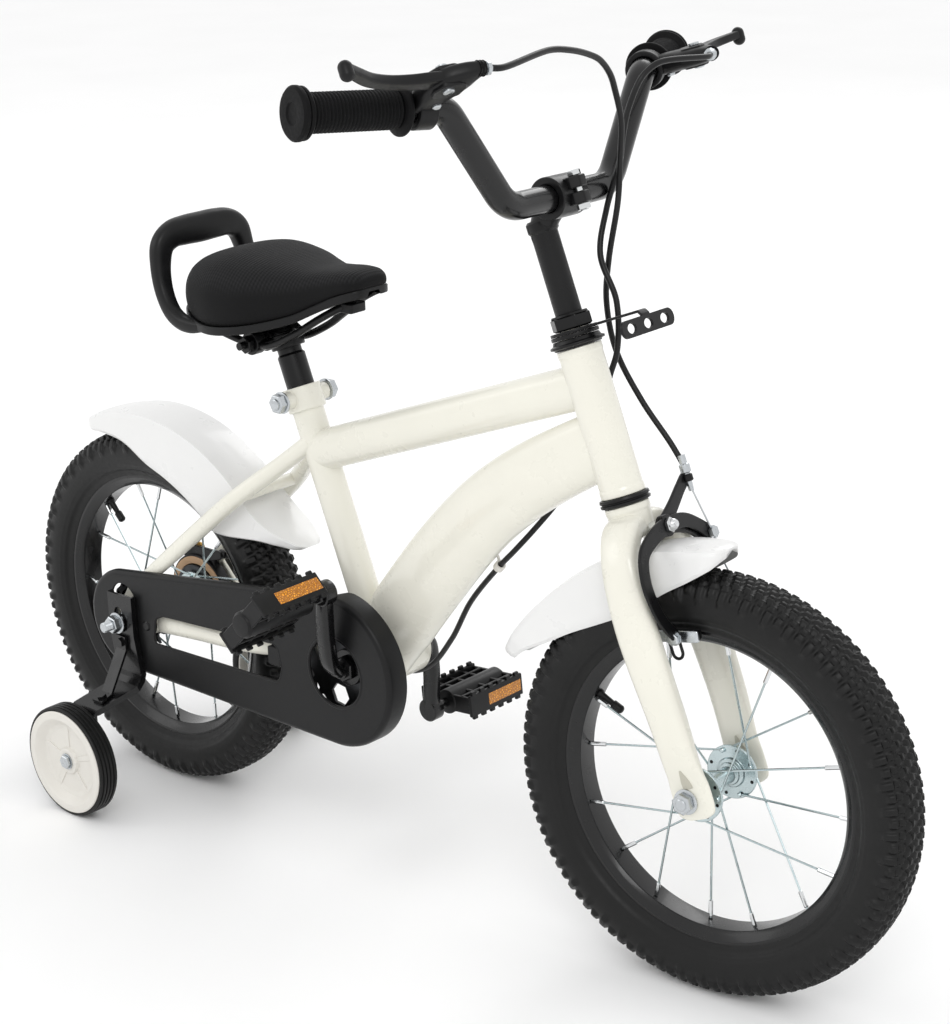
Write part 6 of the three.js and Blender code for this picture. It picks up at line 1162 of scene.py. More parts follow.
class BIKE_OT_fenders(bpy.types.Operator):
    """Both fenders"""
    bl_idname = "bike.fenders"
    bl_label = "Fenders"

    def execute(self, context):
        z = in_mm(context.scene.bike_sizes)
        turns = [116.2, 114.5, 108, 98, 87, 76, 65, 54, 45, 38, 33, 29, 27.4, 26.8]
        wide = [0.62, 0.76, 0.95, 1, 1, 1, 1, 1, 1, 1, 0.9, 0.62, 0.46, 0.3]
        flare = [0, 0, 0, 0, 0, 0, 0, 0, 0, 0.15, 0.45, 0.8, 0.94, 1]
        skirt = [9, 10, 15, 25, 42, 48, 51, 52, 50, 32, 16, 11, 9, 9]
        rear = fender_rings(wheel_place("rear"), turns, wide, 31, flare, 32, skirt, z, 150)
        piece("rear_fender_skin", [rear], "fender_plastic", "frame_body", ["rear_fender"])
        turns = [66.4, 67.4, 69.6, 73.5, 81, 90, 99, 108, 117, 126, 134, 137.5, 138.8]
        wide = [0.34, 0.6, 0.82, 0.95, 1, 1, 1, 1, 1, 1, 0.88, 0.66, 0.42]
        flare = [0.12, 0.1, 0.06, 0, 0, 0, 0, 0.1, 0.27, 0.55, 0.85, 0.97, 1]
        skirt = [5, 8, 13, 20, 30, 39, 42, 40, 34, 26, 14, 10, 9]
        front = fender_rings(wheel_place("front"), turns, wide, 28, flare, 12, skirt, z, 130)
        tab = slab(oblong(14, 24, 3, 5), -1, 1, steered([-18.3, 0, 207]), -STEER_AXES[1], STEER_AXES[2], 0.4)
        piece("front_fender_skin", [front, tab], "fender_plastic", "steering_body", ["front_fender"])
        return {"FINISHED"}


# ---------------------------------------------------------------- brakes and cables

def arm_rings(shares, side, low_x, high_x):
    """One flat caliper arm: its outline follows a smooth line in the plane across the wheel."""
    rows = np.array(shares, float)
    path = columns(
        (low_x + high_x) / 2, side * rows[:, 0] * 50, PIVOT_HEIGHT + rows[:, 1] * 84, rows[:, 2] * 6,
    )
    fine = smooth(path, 48)
    return steered(sweep(fine[:, :3], (high_x - low_x) / 2, fine[:, 3], X, roundness=6, sides=28))


class BIKE_OT_caliper(bpy.types.Operator):
    """The front caliper: two arms, shoes in their holders, the pivot bolt, barrel adjuster and anchor"""
    bl_idname = "bike.caliper"
    bl_label = "Caliper Brake"

    def execute(self, context):
        down = [
            [0, 0, 1.2], [0.45, -0.05, 1.1], [0.85, -0.17, 1], [1, -0.38, 1], [0.98, -0.62, 0.95],
            [0.84, -0.84, 0.9], [0.64, -1, 0.8], [0.63, -1.04, 0.5],
        ]
        adjuster = [[0, 0, 1.2], [0.4, 0.13, 1], [0.75, 0.26, 0.9], [1, 0.345, 0.8], [1.05, 0.36, 0.5]]
        anchor = [[0, 0, 1.2], [0.5, -0.02, 1], [0.85, -0.12, 0.95], [1.12, -0.24, 0.9], [1.17, -0.26, 0.5]]
        turn = math.atan2(24, PAD_HEIGHT)
        tangent = np.array([math.cos(turn), 0, -math.sin(turn)])
        radial = np.array([math.sin(turn), 0, math.cos(turn)])
        x_axis, y_axis = tangent @ STEER_AXES, radial @ STEER_AXES
        pivot = steered([0, 0, PIVOT_HEIGHT])
        for word, side, low, high, extra in (("left", 1, 26, 29, adjuster), ("right", -1, 30, 33, anchor)):
            body = "caliper_arm_" + word + "_body"
            made = [arm_rings(down, side, low, high), arm_rings(extra, 1, low, high)]
            made.append(lathe(
                eased([[low, 4], [low, 9], [high, 9], [high, 4]], 0.6, 4), pivot, STEER_AXES[0], 40,
            ))
            if side > 0:
                made.append(rod(steered([30, 50, 237]), steered([30, 50, 243]), 4.4, 28, 0.8))
            # the shoe's holder, an open channel round the pad's back
            middle = steered([28, side * 26.4, PAD_HEIGHT])
            holder = slab(oblong(40, 9.5, 2.0, 5), -1.4, 1.4, middle, x_axis, y_axis, 0.5)
            # the bent wire that guards the shoe's nut
            t = np.linspace(0, math.pi, 17)
            bend = columns(28 + 4.6 * np.cos(t), side * 31.5, 116 - 5 * np.sin(t))
            bend = np.concatenate([[[32.6, side * 31.5, 127]], bend, [[23.4, side * 31.5, 127]]])
            made.append(sweep(steered(bend), 1.3, sides=12))
            piece("caliper_arm_" + word + "_flat", made, "black_steel", body, ["caliper_arm_" + word])
            pad = slab(
                oblong(38, 8, 1.5, 5), -3.4, 3.4, steered([28, side * 22.6, PAD_HEIGHT]), x_axis, y_axis, 0.8,
            )
            piece("brake_pad_" + word, [pad], "tyre_rubber", body)
            y = side * STEER_AXES[1]
            base = steered([30, 0, PAD_HEIGHT])
            metal = [
                holder, lathe([[27, 2.8], [36.5, 2.8]], base, y, 20), nut(base, y, 5.4, 33.6, 37.6),
                lathe([[32.8, 6], [33.6, 6]], base, y, 28),
            ]
            if side > 0:
                spot = steered([30, 50, 0])
                up = STEER_AXES[2]
                knurl = [[229, 2.4], [236, 2.8], [244, 3.0], [244.6, 4.8], [251, 4.8], [252, 3.4], [259, 3.4]]
                metal.append(lathe(eased(knurl, 0.3, 4) * [1, 0.95], spot, up, 12))
            else:
                spot = steered([0, 55.9, 191.8])
                metal.append(nut(spot, STEER_AXES[0], 5.4, 33.2, 37.5))
                metal.append(lathe([[29.0, 4.4], [30, 4.4]], spot, STEER_AXES[0], 24))
            piece("brake_shoe_nuts_" + word, metal, "zinc_steel", body)
        x = STEER_AXES[0]
        bolt = [
            lathe([[-28.6, 3], [41, 3]], pivot, x, 20), lathe([[17.6, 6], [25.7, 6]], pivot, x, 28),
            nut(pivot, x, 6.5, 33.3, 36.6), acorn(pivot, x, 5.2, 36.4, 41.7),
            nut(pivot, x, 6.5, -27.6, -22.6),
        ]
        piece("caliper_bolt_acorn", bolt, "chrome_steel", "steering_body", ["caliper_bolt"])
        return {"FINISHED"}


def lever_end(side, beyond):
    """A point on the line out of a lever's cable stop, in the steering's frame."""
    place, axes = lever_frame(side)
    return place + np.array([-28 - beyond, 60, 0]) @ axes


class BIKE_OT_cables(bpy.types.Operator):
    """Both brake cables: housing, bare wire and the white clip"""
    bl_idname = "bike.cables"
    bl_label = "Brake Cables"

    def execute(self, context):
        z = in_mm(context.scene.bike_sizes)
        front = np.array([
            lever_end(-1, 0.9), lever_end(-1, 9.2), [105.3, -75, 583.3], [105.6, -50, 581],
            [103.5, -25, 576.4], [101.3, -8, 570.9], [96.1, 8, 560.1], [89.9, 18, 548.3], [79.6, 30, 526.1],
            [61.7, 40, 497.8], [46.5, 44, 468.8], [18.2, 49, 426], [4.2, 50, 396], [-1, 50, 355.6],
            [8.7, 50, 310.6], [24, 50, 270], [30, 50, 249.5],
        ])
        line = smooth(steered(front), 360)
        cord = piece(
            "front_brake_cable_housing", [sweep(line, z["cable"], sides=14)], "cable_skin", "steering_body",
            ["front_brake_cable"],
        )
        self.declare(cord, line, z)
        bare = [
            [30, 50, 248.8], [30, 50, 236], [32.5, 52, 214], [35, 54.6, 192], [37, 55, 166], [41, 56, 146],
        ]
        bare = smooth(steered(bare), 60)
        piece("front_brake_wire", [sweep(bare, z["wire"], sides=8)], "zinc_steel", "steering_body")
        steer = steered(np.array([
            lever_end(1, 0.9), lever_end(1, 9.2), [90.6, 92, 563.7], [84, 82, 560.1], [78.6, 75, 554.3],
            [65.5, 66, 534.6], [58.2, 60, 516.9], [51.3, 56, 498.8], [28, 52, 465], [18, 40, 432],
            [22, 37, 392.7],
        ]))
        world = np.array([
            [208, 32, 511.7], [204, 27, 490], [193, 25.5, 450], [172, 24.5, 408], [150, 23, 374],
            [130, 17.5, 348], [112.8, 10.5, 326.5], [91.2, 14, 306], [47, 24.5, 260], [13, 34, 212.6],
            [-25, 43, 173.5], [-58, 46, 160], [-110, 44, 162], [-160, 41, 167], [-205, 34.5, 178],
            [-240, 33.5, 195], [-268, 37, 213], [-283.1, *BAND_LINE], [-291.9, *BAND_LINE],
        ])
        line = smooth(np.concatenate([steer, world]), 620)
        cord = piece(
            "rear_brake_cable_housing", [sweep(line, z["cable"], sides=14)], "cable_skin", None,
            ["rear_brake_cable"],
        )
        self.declare(cord, line, z)
        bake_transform(cord)
        bare = np.linspace([-291.9, *BAND_LINE], [-341.3, *BAND_LINE], 12)
        piece("rear_brake_wire", [sweep(bare, z["wire"], sides=8)], "zinc_steel", "frame_body")
        clip = lathe(
            eased([[-3.5, 2.6], [-3.5, 4.8], [3.5, 4.8], [3.5, 2.6]], 0.8, 4, loop=True), [91.2, 14, 306],
            [44.2, -10.5, 46], 28,
        )
        tail = sweep(
            smooth([[91.2, 14, 310.2], [89, 14.4, 315], [86, 15, 317.5]], 12), 1.4, 0.7, Y, roundness=4,
            sides=12,
        )
        piece(
            "cable_clip_strap", [shell(clip, loop=True), tail], "white_plastic", "frame_body", ["cable_clip"],
        )
        return {"FINISHED"}

    def declare(self, cord, line, z):
        """Takes a housing, the line that it follows and the sizes, and does nothing with them."""


class BIKE_OT_band_brake(bpy.types.Operator):
    """The band brake on the left of the rear hub: cover, lining, lever arm and knurled knob"""
    bl_idname = "bike.band_brake"
    bl_label = "Band Brake"

    def execute(self, context):
        place = wheel_place("rear")
        dish = eased([
            [34, 34.6], [34, 39], [45.2, 39], [45.2, 8.7], [43.6, 8.7], [43.6, 37.4], [37, 37.4], [37, 34.6],
        ], 1.0, 4, loop=True)
        made = [turned_about(place, dish, 96, loop=True)]
        ear = eased([
            [-352, 210], [-352, 222], [-345, 226], [-310, 226], [-296, 227], [-296, 219], [-312, 214],
            [-345, 208],
        ], 3.5, 4, loop=True)
        made.append(slab(ear, -40, -36.5, [0, 0, 0], X, Z, 0.6))
        made.append(rod([-303, *BAND_LINE], [-293.1, *BAND_LINE], 4, 28, 0.6))
        made.append(lathe([[36, 2], [45.4, 2]], [-352, 0, 217], Y, 20))
        piece("band_brake_cover_dish", made, "black_steel", "frame_body", ["band_brake_cover"])
        lining = eased([[33.2, 29.8], [33.2, 37.2], [44, 37.2], [44, 29.8]], 0.5, 3, loop=True)
        piece(
            "band_brake_lining", [turned_about(place, lining, 72, loop=True)], "copper_lining", "frame_body",
            slot="brass_metal",
        )
        arm = eased([
            [-357, 212], [-357, 220], [-349, 224], [-341, 228.5], [-329, 228], [-329, 219], [-341, 217.5],
            [-348, 212],
        ], 2.5, 4, loop=True)
        parts = [slab(arm, -43.3, -40.3, [0, 0, 0], X, Z, 0.6)]
        at = np.linspace(0, 11.3, 40)
        knob = columns(at, 3.8 + 0.2 * np.cos(TAU * at / 1.1))
        parts.append(lathe(knob, [-341.3, *BAND_LINE], X, 24))
        piece("band_brake_arm_knob", parts, "brass_metal", "band_brake_arm_body", ["band_brake_arm"])
        return {"FINISHED"}


# ---------------------------------------------------------------- saddle

# The saddle from nose to tail, in shares: place along, half width, height of the base's rim and of the crown.
SADDLE = np.array([
    [0.003, 0.15, 0.97, 0.79], [0.012, 0.25, 0.96, 0.85], [0.045, 0.345, 0.91, 0.895],
    [0.1, 0.405, 0.815, 0.905], [0.187, 0.475, 0.612, 0.882], [0.279, 0.605, 0.376, 0.86],
    [0.370, 0.765, 0.224, 0.884], [0.498, 0.956, 0.082, 0.948], [0.644, 1.0, 0.0, 0.994],
    [0.772, 0.882, 0.024, 0.914], [0.863, 0.706, 0.071, 0.814], [0.936, 0.5, 0.101, 0.671],
    [0.993, 0.132, 0.153, 0.379],
])


def saddle_rows(z, count):
    """The saddle's stations from nose to tail: place along, half width, height of the base's rim and of the
    crown, smoothed, and closer together where the ends turn round."""
    nose, foot, rim_rise, crown_rise = -31, 488, 42.5, 70
    rows = columns(
        nose - SADDLE[:, 0] * z["saddle_length"], SADDLE[:, 1] * z["saddle_half"],
        foot + SADDLE[:, 2] * rim_rise, foot + SADDLE[:, 3] * crown_rise,
    )
    knots = np.concatenate([[0], np.cumsum(np.hypot(np.diff(rows[:, 0]), np.diff(rows[:, 1])))])
    return smooth(rows, count, knots=knots)


class BIKE_OT_saddle(bpy.types.Operator):
    """The saddle: padded top in spacer mesh, hard base with its carrying handle, rails and clamp"""
    bl_idname = "bike.saddle"
    bl_label = "Saddle"

    def execute(self, context):
        z = in_mm(context.scene.bike_sizes)
        rows = saddle_rows(z, 110)
        half = np.array([
            [0.955, 0], [1, 0.1], [1.02, 0.26], [1.01, 0.42], [0.97, 0.58], [0.89, 0.72], [0.76, 0.85],
            [0.57, 0.94], [0.36, 0.982], [0.17, 0.997], [0, 1],
        ])
        section = smooth(np.concatenate([half, half[-2::-1] * [-1, 1]]), 89, knots=np.arange(21))
        foot = rows[:, 2] + 7.9
        y = rows[:, 1:2] * section[None, :, 0]
        up = foot[:, None] + section[None, :, 1] * (rows[:, 3] - foot)[:, None]
        rings = columns(rows[:, :1], y, up)
        pad = piece("saddle_pad_mesh", [rings], "mesh_fabric", "seat_body", ["saddle_pad"], sharp=60)
        self.base(z)
        self.carrier()
        return {"FINISHED"}

    def base(self, z):
        """The hard base: a shallow tray under the padding with a rolled rim, and the loop of the handle."""
        rows = saddle_rows(z, 90)
        out = rows[:, 1] + 1.5
        wall = np.minimum(4, out / 3)
        inner = out - wall
        slope = np.minimum(2, inner / 3)
        right = [[out, 0.9], [out, 6.4], [out - 1.1, 7.5]]
        left = [[-y, up] for y, up in right[::-1]]
        under = [[-out + 0.9, 0], [-inner - 0.4, 0], [-inner + slope, 4.5]]
        under += [[-y, up] for y, up in under[::-1]]
        section = np.stack([columns(y, up) for y, up in right + left + under], axis=1)
        rings = columns(rows[:, :1], section[..., 0], rows[:, 2:3] + section[..., 1])
        made = [rings]
        leg = np.array([
            [-176, 62.5, 491.6, 2.6, 2.6, 0, 0, 1], [-188, 62, 490.8, 4.6, 4, 0, 0, 1],
            [-202, 60.5, 489.8, 6.5, 6.2, 0, 0, 1], [-216, 59.4, 491.4, 7, 7, 0.1, 0, 1],
            [-230, 57.6, 498, 7, 7.4, 0.5, 0, 0.8], [-243, 54.5, 514, 7.2, 8, 0.9, 0, 0.4],
            [-250, 51.0, 536, 7.6, 9.2, 1, 0, 0.1], [-252, 45.5, 554, 8.2, 11.2, 1, 0, 0],
            [-252, 34, 561.8, 8.5, 12.4, 1, 0, 0], [-252, 18, 563.2, 8.5, 13.4, 1, 0, 0],
            [-252, 0, 563, 8.5, 13.8, 1, 0, 0],
        ])
        loop_ = smooth(np.concatenate([leg, leg[-2::-1] * [1, -1, 1, 1, 1, 1, 1, 1]]), 130)
        made.append(sweep(loop_[:, :3], loop_[:, 3], loop_[:, 4], loop_[:, 5:], roundness=2.8, sides=36))
        for s in (-1, 1):
            made.append(slab(oblong(19, 16, 3, 4), 484, 495, [-214.5, s * 38, 0], X, Y, 0.8))
        made.append(slab(oblong(19, 20, 3, 4), 511.5, 520, [-60.5, 0, 0], X, Y, 0.8))
        piece("saddle_base_tray", made, "black_plastic", "seat_body", ["saddle_base"])

    def carrier(self):
        """The wire rails, the clamp with its toothed washers and nuts, and the post."""
        half = np.array([
            [-217, 38, 492.4], [-205, 34, 484], [-182, 22, 472], [-164, 22, 472], [-146, 22, 472],
            [-112, 20, 487], [-86, 16, 503], [-70, 11, 512.5], [-62, 6, 517],
        ])
        line = smooth(np.concatenate([half, [[-59.5, 0, 518]], half[::-1] * [1, -1, 1]]), 150)
        piece("saddle_rails_wire", [sweep(line, 3.5, sides=20)], "black_steel", "seat_body", ["saddle_rails"])
        ring = eased([
            [287, 11.4], [287, 14.9], [288, 15.5], [299, 15.5], [300, 14.9], [300, 11.4],
        ], 0.5, 4, loop=True)
        spot = np.array([-164.0, 0, 472])
        made = [shell(lathe(ring, BRACKET, SEAT_LINE, 48), loop=True)]
        profile = eased([
            [-27, 9.2], [-27, 10.5], [-17, 10.5], [-16, 9.4], [-10, 9.4], [-9, 10.5], [9, 10.5], [10, 9.4],
            [16, 9.4], [17, 10.5], [27, 10.5], [27, 9.2],
        ], 0.6, 4)
        made.append(lathe(profile, spot, Y, 40))
        piece("saddle_clamp_body", made, "black_steel", "seat_body", ["saddle_clamp"])
        bolt = [
            lathe([[-40, 3.6], [35, 3.6]], spot, Y, 20), nut(spot, Y, 8, -34, -27.2),
            nut(spot, Y, 8, 27.2, 33),
        ]
        piece("saddle_clamp_nuts", bolt, "black_steel", "seat_body")
        post = eased([[110, 11.4], [110, 12.7], [280, 12.7], [282, 11], [301, 11], [301.7, 10]], 0.6, 4)
        piece(
            "seat_post_tube", [lathe(post, BRACKET, SEAT_LINE, 48)], "black_steel", "seat_body",
            ["seat_post"],
        )


# ---------------------------------------------------------------- crank, chain, pedals and guard

def crank_local(points):
    """Points of the crank's frame, whose Z runs along the right arm, in the bike's frame."""
    turn = math.radians(7.5)
    axes = np.array([[math.cos(turn), 0, -math.sin(turn)], [0, 1, 0], [math.sin(turn), 0, math.cos(turn)]])
    return BRACKET + np.asarray(points, float) @ axes


class BIKE_OT_crank(bpy.types.Operator):
    """The one-piece crank with its cones, and the bottom bracket's cups"""
    bl_idname = "bike.crank"
    bl_label = "Crank"

    def execute(self, context):
        made = [rod(crank_local([0, -56, 0]), crank_local([0, 50, 0]), 8, 36)]
        for side, reach in ((-1, 80), (1, 72)):
            rows = np.array([[0, 0.7], [0.05, 0.77], [0.14, 0.85], [0.41, 0.925], [0.71, 0.97], [1, 1]])
            path = columns(
                0, side * reach * rows[:, 1], -side * rows[:, 0] * CRANK_LENGTH, [6.6, 7.4, 8, 8, 7.8, 7.2],
            )
            fine = smooth(path, 50)
            made.append(crank_local(sweep(fine[:, :3], fine[:, 3], 6.5, X, roundness=2.8, sides=32)))
            eye = eased([[-6.5, 9.8], [-5.6, 11], [5.6, 11], [6.5, 9.8]], 0.5, 3)
            made.append(lathe(eye, crank_local([0, side * reach, -side * CRANK_LENGTH]), Y, 40))
            spindle_out = 176 if side < 0 else 165
            foot = crank_local([0, 0, -side * CRANK_LENGTH])
            made.append(lathe([[reach, 4.5], [spindle_out, 4.5]], foot, side * Y, 20))
            made.append(nut(foot, side * Y, 8, reach + 6.5, reach + 10.4))
            cone = eased([[26, 8], [26, 13], [29, 15.6], [36.6, 15.6], [36.6, 8]], 0.8, 4)
            made.append(lathe(cone, BRACKET, side * Y, 48))
        made.append(lathe(eased([[36, 10], [36, 17], [47, 17], [47, 10]], 0.8, 4), BRACKET, -Y, 48))
        made.append(nut(BRACKET, -Y, 12.5, 47, 53))
        made.append(nut(BRACKET, Y, 14, 36.8, 46))
        piece("crank_one_piece", made, "black_paint", "crank_body", ["crank"], slot="black_steel")
        cup = eased([[28, 16.6], [28, 24], [34.3, 25], [34.3, 28.4], [36.5, 27.6], [36.5, 16.6]], 0.6, 4)
        for side, word in SIDES:
            node = "bottom_bracket_cup_" + word
            piece(node + "_ring", [lathe(cup, BRACKET, side * Y, 64)], "black_steel", "frame_body", [node])
        return {"FINISHED"}


def chain_points(count):
    """Places of the chain's rollers, one pitch apart: round the chainring, along the lower run, round the
    sprocket and back, from the belt's length shared evenly."""
    ring, sprocket = RING_PITCH_RADIUS, SPROCKET_PITCH_RADIUS
    span = np.linalg.norm(REAR_AXLE - BRACKET)
    tilt = math.atan2(BRACKET[2] - REAR_AXLE[2], BRACKET[0] - REAR_AXLE[0])
    belt = math.asin((ring - sprocket) / span)
    run = span * math.cos(belt)
    lengths = np.array([ring * (math.pi + 2 * belt), run, sprocket * (math.pi - 2 * belt), run])
    edges = np.concatenate([[0], np.cumsum(lengths)])
    at = np.arange(count) / count * edges[-1]
    start, low = tilt + math.pi / 2 + belt, tilt - math.pi / 2 - belt

    def on_arc(centre, radius, angle):
        return columns(centre[0] + radius * np.cos(angle), centre[2] + radius * np.sin(angle))

    first = on_arc(BRACKET, ring, start - at / ring)
    a, b = on_arc(BRACKET, ring, np.array(low)), on_arc(REAR_AXLE, sprocket, np.array(low))
    second = a + ((at - edges[1]) / run)[:, None] * (b - a)
    third = on_arc(REAR_AXLE, sprocket, low - (at - edges[2]) / sprocket)
    c, d = on_arc(REAR_AXLE, sprocket, np.array(start)), on_arc(BRACKET, ring, np.array(start))
    fourth = c + ((at - edges[3]) / run)[:, None] * (d - c)
    part = np.searchsorted(edges[1:-1], at, side="right")
    return np.choose(part[:, None], [first, second, third, fourth])


class BIKE_OT_chain(bpy.types.Operator):
    """The chain: 68 links of inner and outer plates on rollers"""
    bl_idname = "bike.chain"
    bl_label = "Chain"

    def execute(self, context):
        spots = chain_points(LINKS)
        made = []
        t = np.linspace(-math.pi / 2, math.pi / 2, 5)
        for i in range(LINKS):
            a, b = spots[i], spots[(i + 1) % LINKS]
            along = unit(b - a)
            up = np.array([-along[1], along[0]])
            gap = np.linalg.norm(b - a)
            half = columns(gap / 2 + 4.1 * np.cos(t), 4.1 * np.sin(t))
            outline = np.concatenate([half, [[0, 3.0]], -half, [[0, -3.0]]])
            centre = np.array([(a[0] + b[0]) / 2, 0, (a[1] + b[1]) / 2])
            x_axis, y_axis = np.array([along[0], 0, along[1]]), np.array([up[0], 0, up[1]])
            place = 3.9 if i % 2 else 2.7
            for off in (CHAIN_OFF - place, CHAIN_OFF + place):
                made.append(slab(outline, off - 0.5, off + 0.5, centre, x_axis, y_axis, 0.25))
            made.append(rod([a[0], -44.6, a[1]], [a[0], -35.8, a[1]], 2.0, 8))
            made.append(rod([a[0], -42.4, a[1]], [a[0], -38.0, a[1]], 3.9, 12))
        piece("chain_links", made, "zinc_dark", "frame_body", ["chain"], slot="zinc_steel")
        return {"FINISHED"}


def pedal_axes(side):
    """A pedal's middle on its spindle, and its own forward and up directions at rest."""
    turn = math.radians(-45 if side < 0 else -5)
    forward = np.array([math.cos(turn), 0, -math.sin(turn)])
    up = np.array([math.sin(turn), 0, math.cos(turn)])
    return crank_local([0, 0, -side * CRANK_LENGTH]), np.stack([forward, Y, up])


class BIKE_OT_pedals(bpy.types.Operator):
    """Both pedals: barrel, cross ribs, toothed cage plates and amber reflectors"""
    bl_idname = "bike.pedals"
    bl_label = "Pedals"

    def execute(self, context):
        z = in_mm(context.scene.bike_sizes)
        length = z["pedal_length"]
        for side, word in SIDES:
            node, start = "pedal_" + word, 103 if side < 0 else 92
            centre, axes = pedal_axes(side)
            made, lamps = [], []

            def block(low, high, bevel=0.8):
                """A block with eased edges between two corners of the pedal's frame, its Y counted
                outward."""
                low, high = np.array(low, float), np.array(high, float)
                middle = (low + high) / 2
                middle[1] *= side
                outline = oblong(high[0] - low[0], high[2] - low[2], min(1.2, (high[0] - low[0]) / 3), 4)
                reach = (high[1] - low[1]) / 2
                return slab(outline, -reach, reach, centre + middle @ axes, axes[0], axes[2], bevel)

            end = start + length
            barrel = eased([[start, 10.4], [start + 1, 12], [end - 3, 12], [end, 9.6], [end, 2]], 0.8, 4)
            made.append(lathe(barrel, centre, side * Y, 40))
            for way in (-1, 1):
                low, high = sorted((way * 28.5, way * 32))
                made.append(block([low, start, -10.6], [high, end - 1, 10.6], 0.9))
                for i in range(6):
                    at = start + (i + 0.5) / 6 * (length - 2)
                    for top in (-1, 1):
                        a, b = sorted((top * 9, top * 13.6))
                        made.append(block([low, at - 2.9, a], [high, at + 2.9, b], 0.6))
                # the reflector sits near the crank on the right and toward the outer end on the left
                from_, to = (start + 2.5, start + 52) if side < 0 else (start + length * 0.34, end - 4)
                face = way * 32.25
                a, b = sorted((face - way * 0.6, face))
                lamps.append(block([a, from_, -5.6], [b, to, 5.6], 0.25))
            for k in range(5):
                at = start + 1 + k * (length - 6) / 4
                made.append(block([-29, at, -8.2], [29, at + 3.4, 8.2], 0.6))
            for x in (-19, 19):
                made.append(block([x - 1.6, start + 2, -8.8], [x + 1.6, end - 3, 8.8], 0.6))
            piece(node + "_cage", made, "black_plastic", node + "_body", [node])
            piece(node + "_reflectors", lamps, "amber", node + "_body", slot="black_plastic")
        return {"FINISHED"}


def guard_outline(rear, front, steps=48):
    """The guard's outline: two arcs joined by the straight lines that touch both, as (x, z) points."""
    front_x = BRACKET[0] - 2.8
    span = math.hypot(front_x - REAR_AXLE[0], BRACKET[2] - REAR_AXLE[2])
    tilt = math.atan2(BRACKET[2] - REAR_AXLE[2], front_x - REAR_AXLE[0])
    turn = math.pi / 2 + math.asin((front - rear) / span)
    a = tilt - turn + np.linspace(0, 2 * turn, steps)
    b = tilt + turn + np.linspace(0, 2 * (math.pi - turn), steps)
    one = columns(front_x + front * np.cos(a), BRACKET[2] + front * np.sin(a))
    two = columns(REAR_AXLE[0] + rear * np.cos(b), REAR_AXLE[2] + rear * np.sin(b))
    return one, two


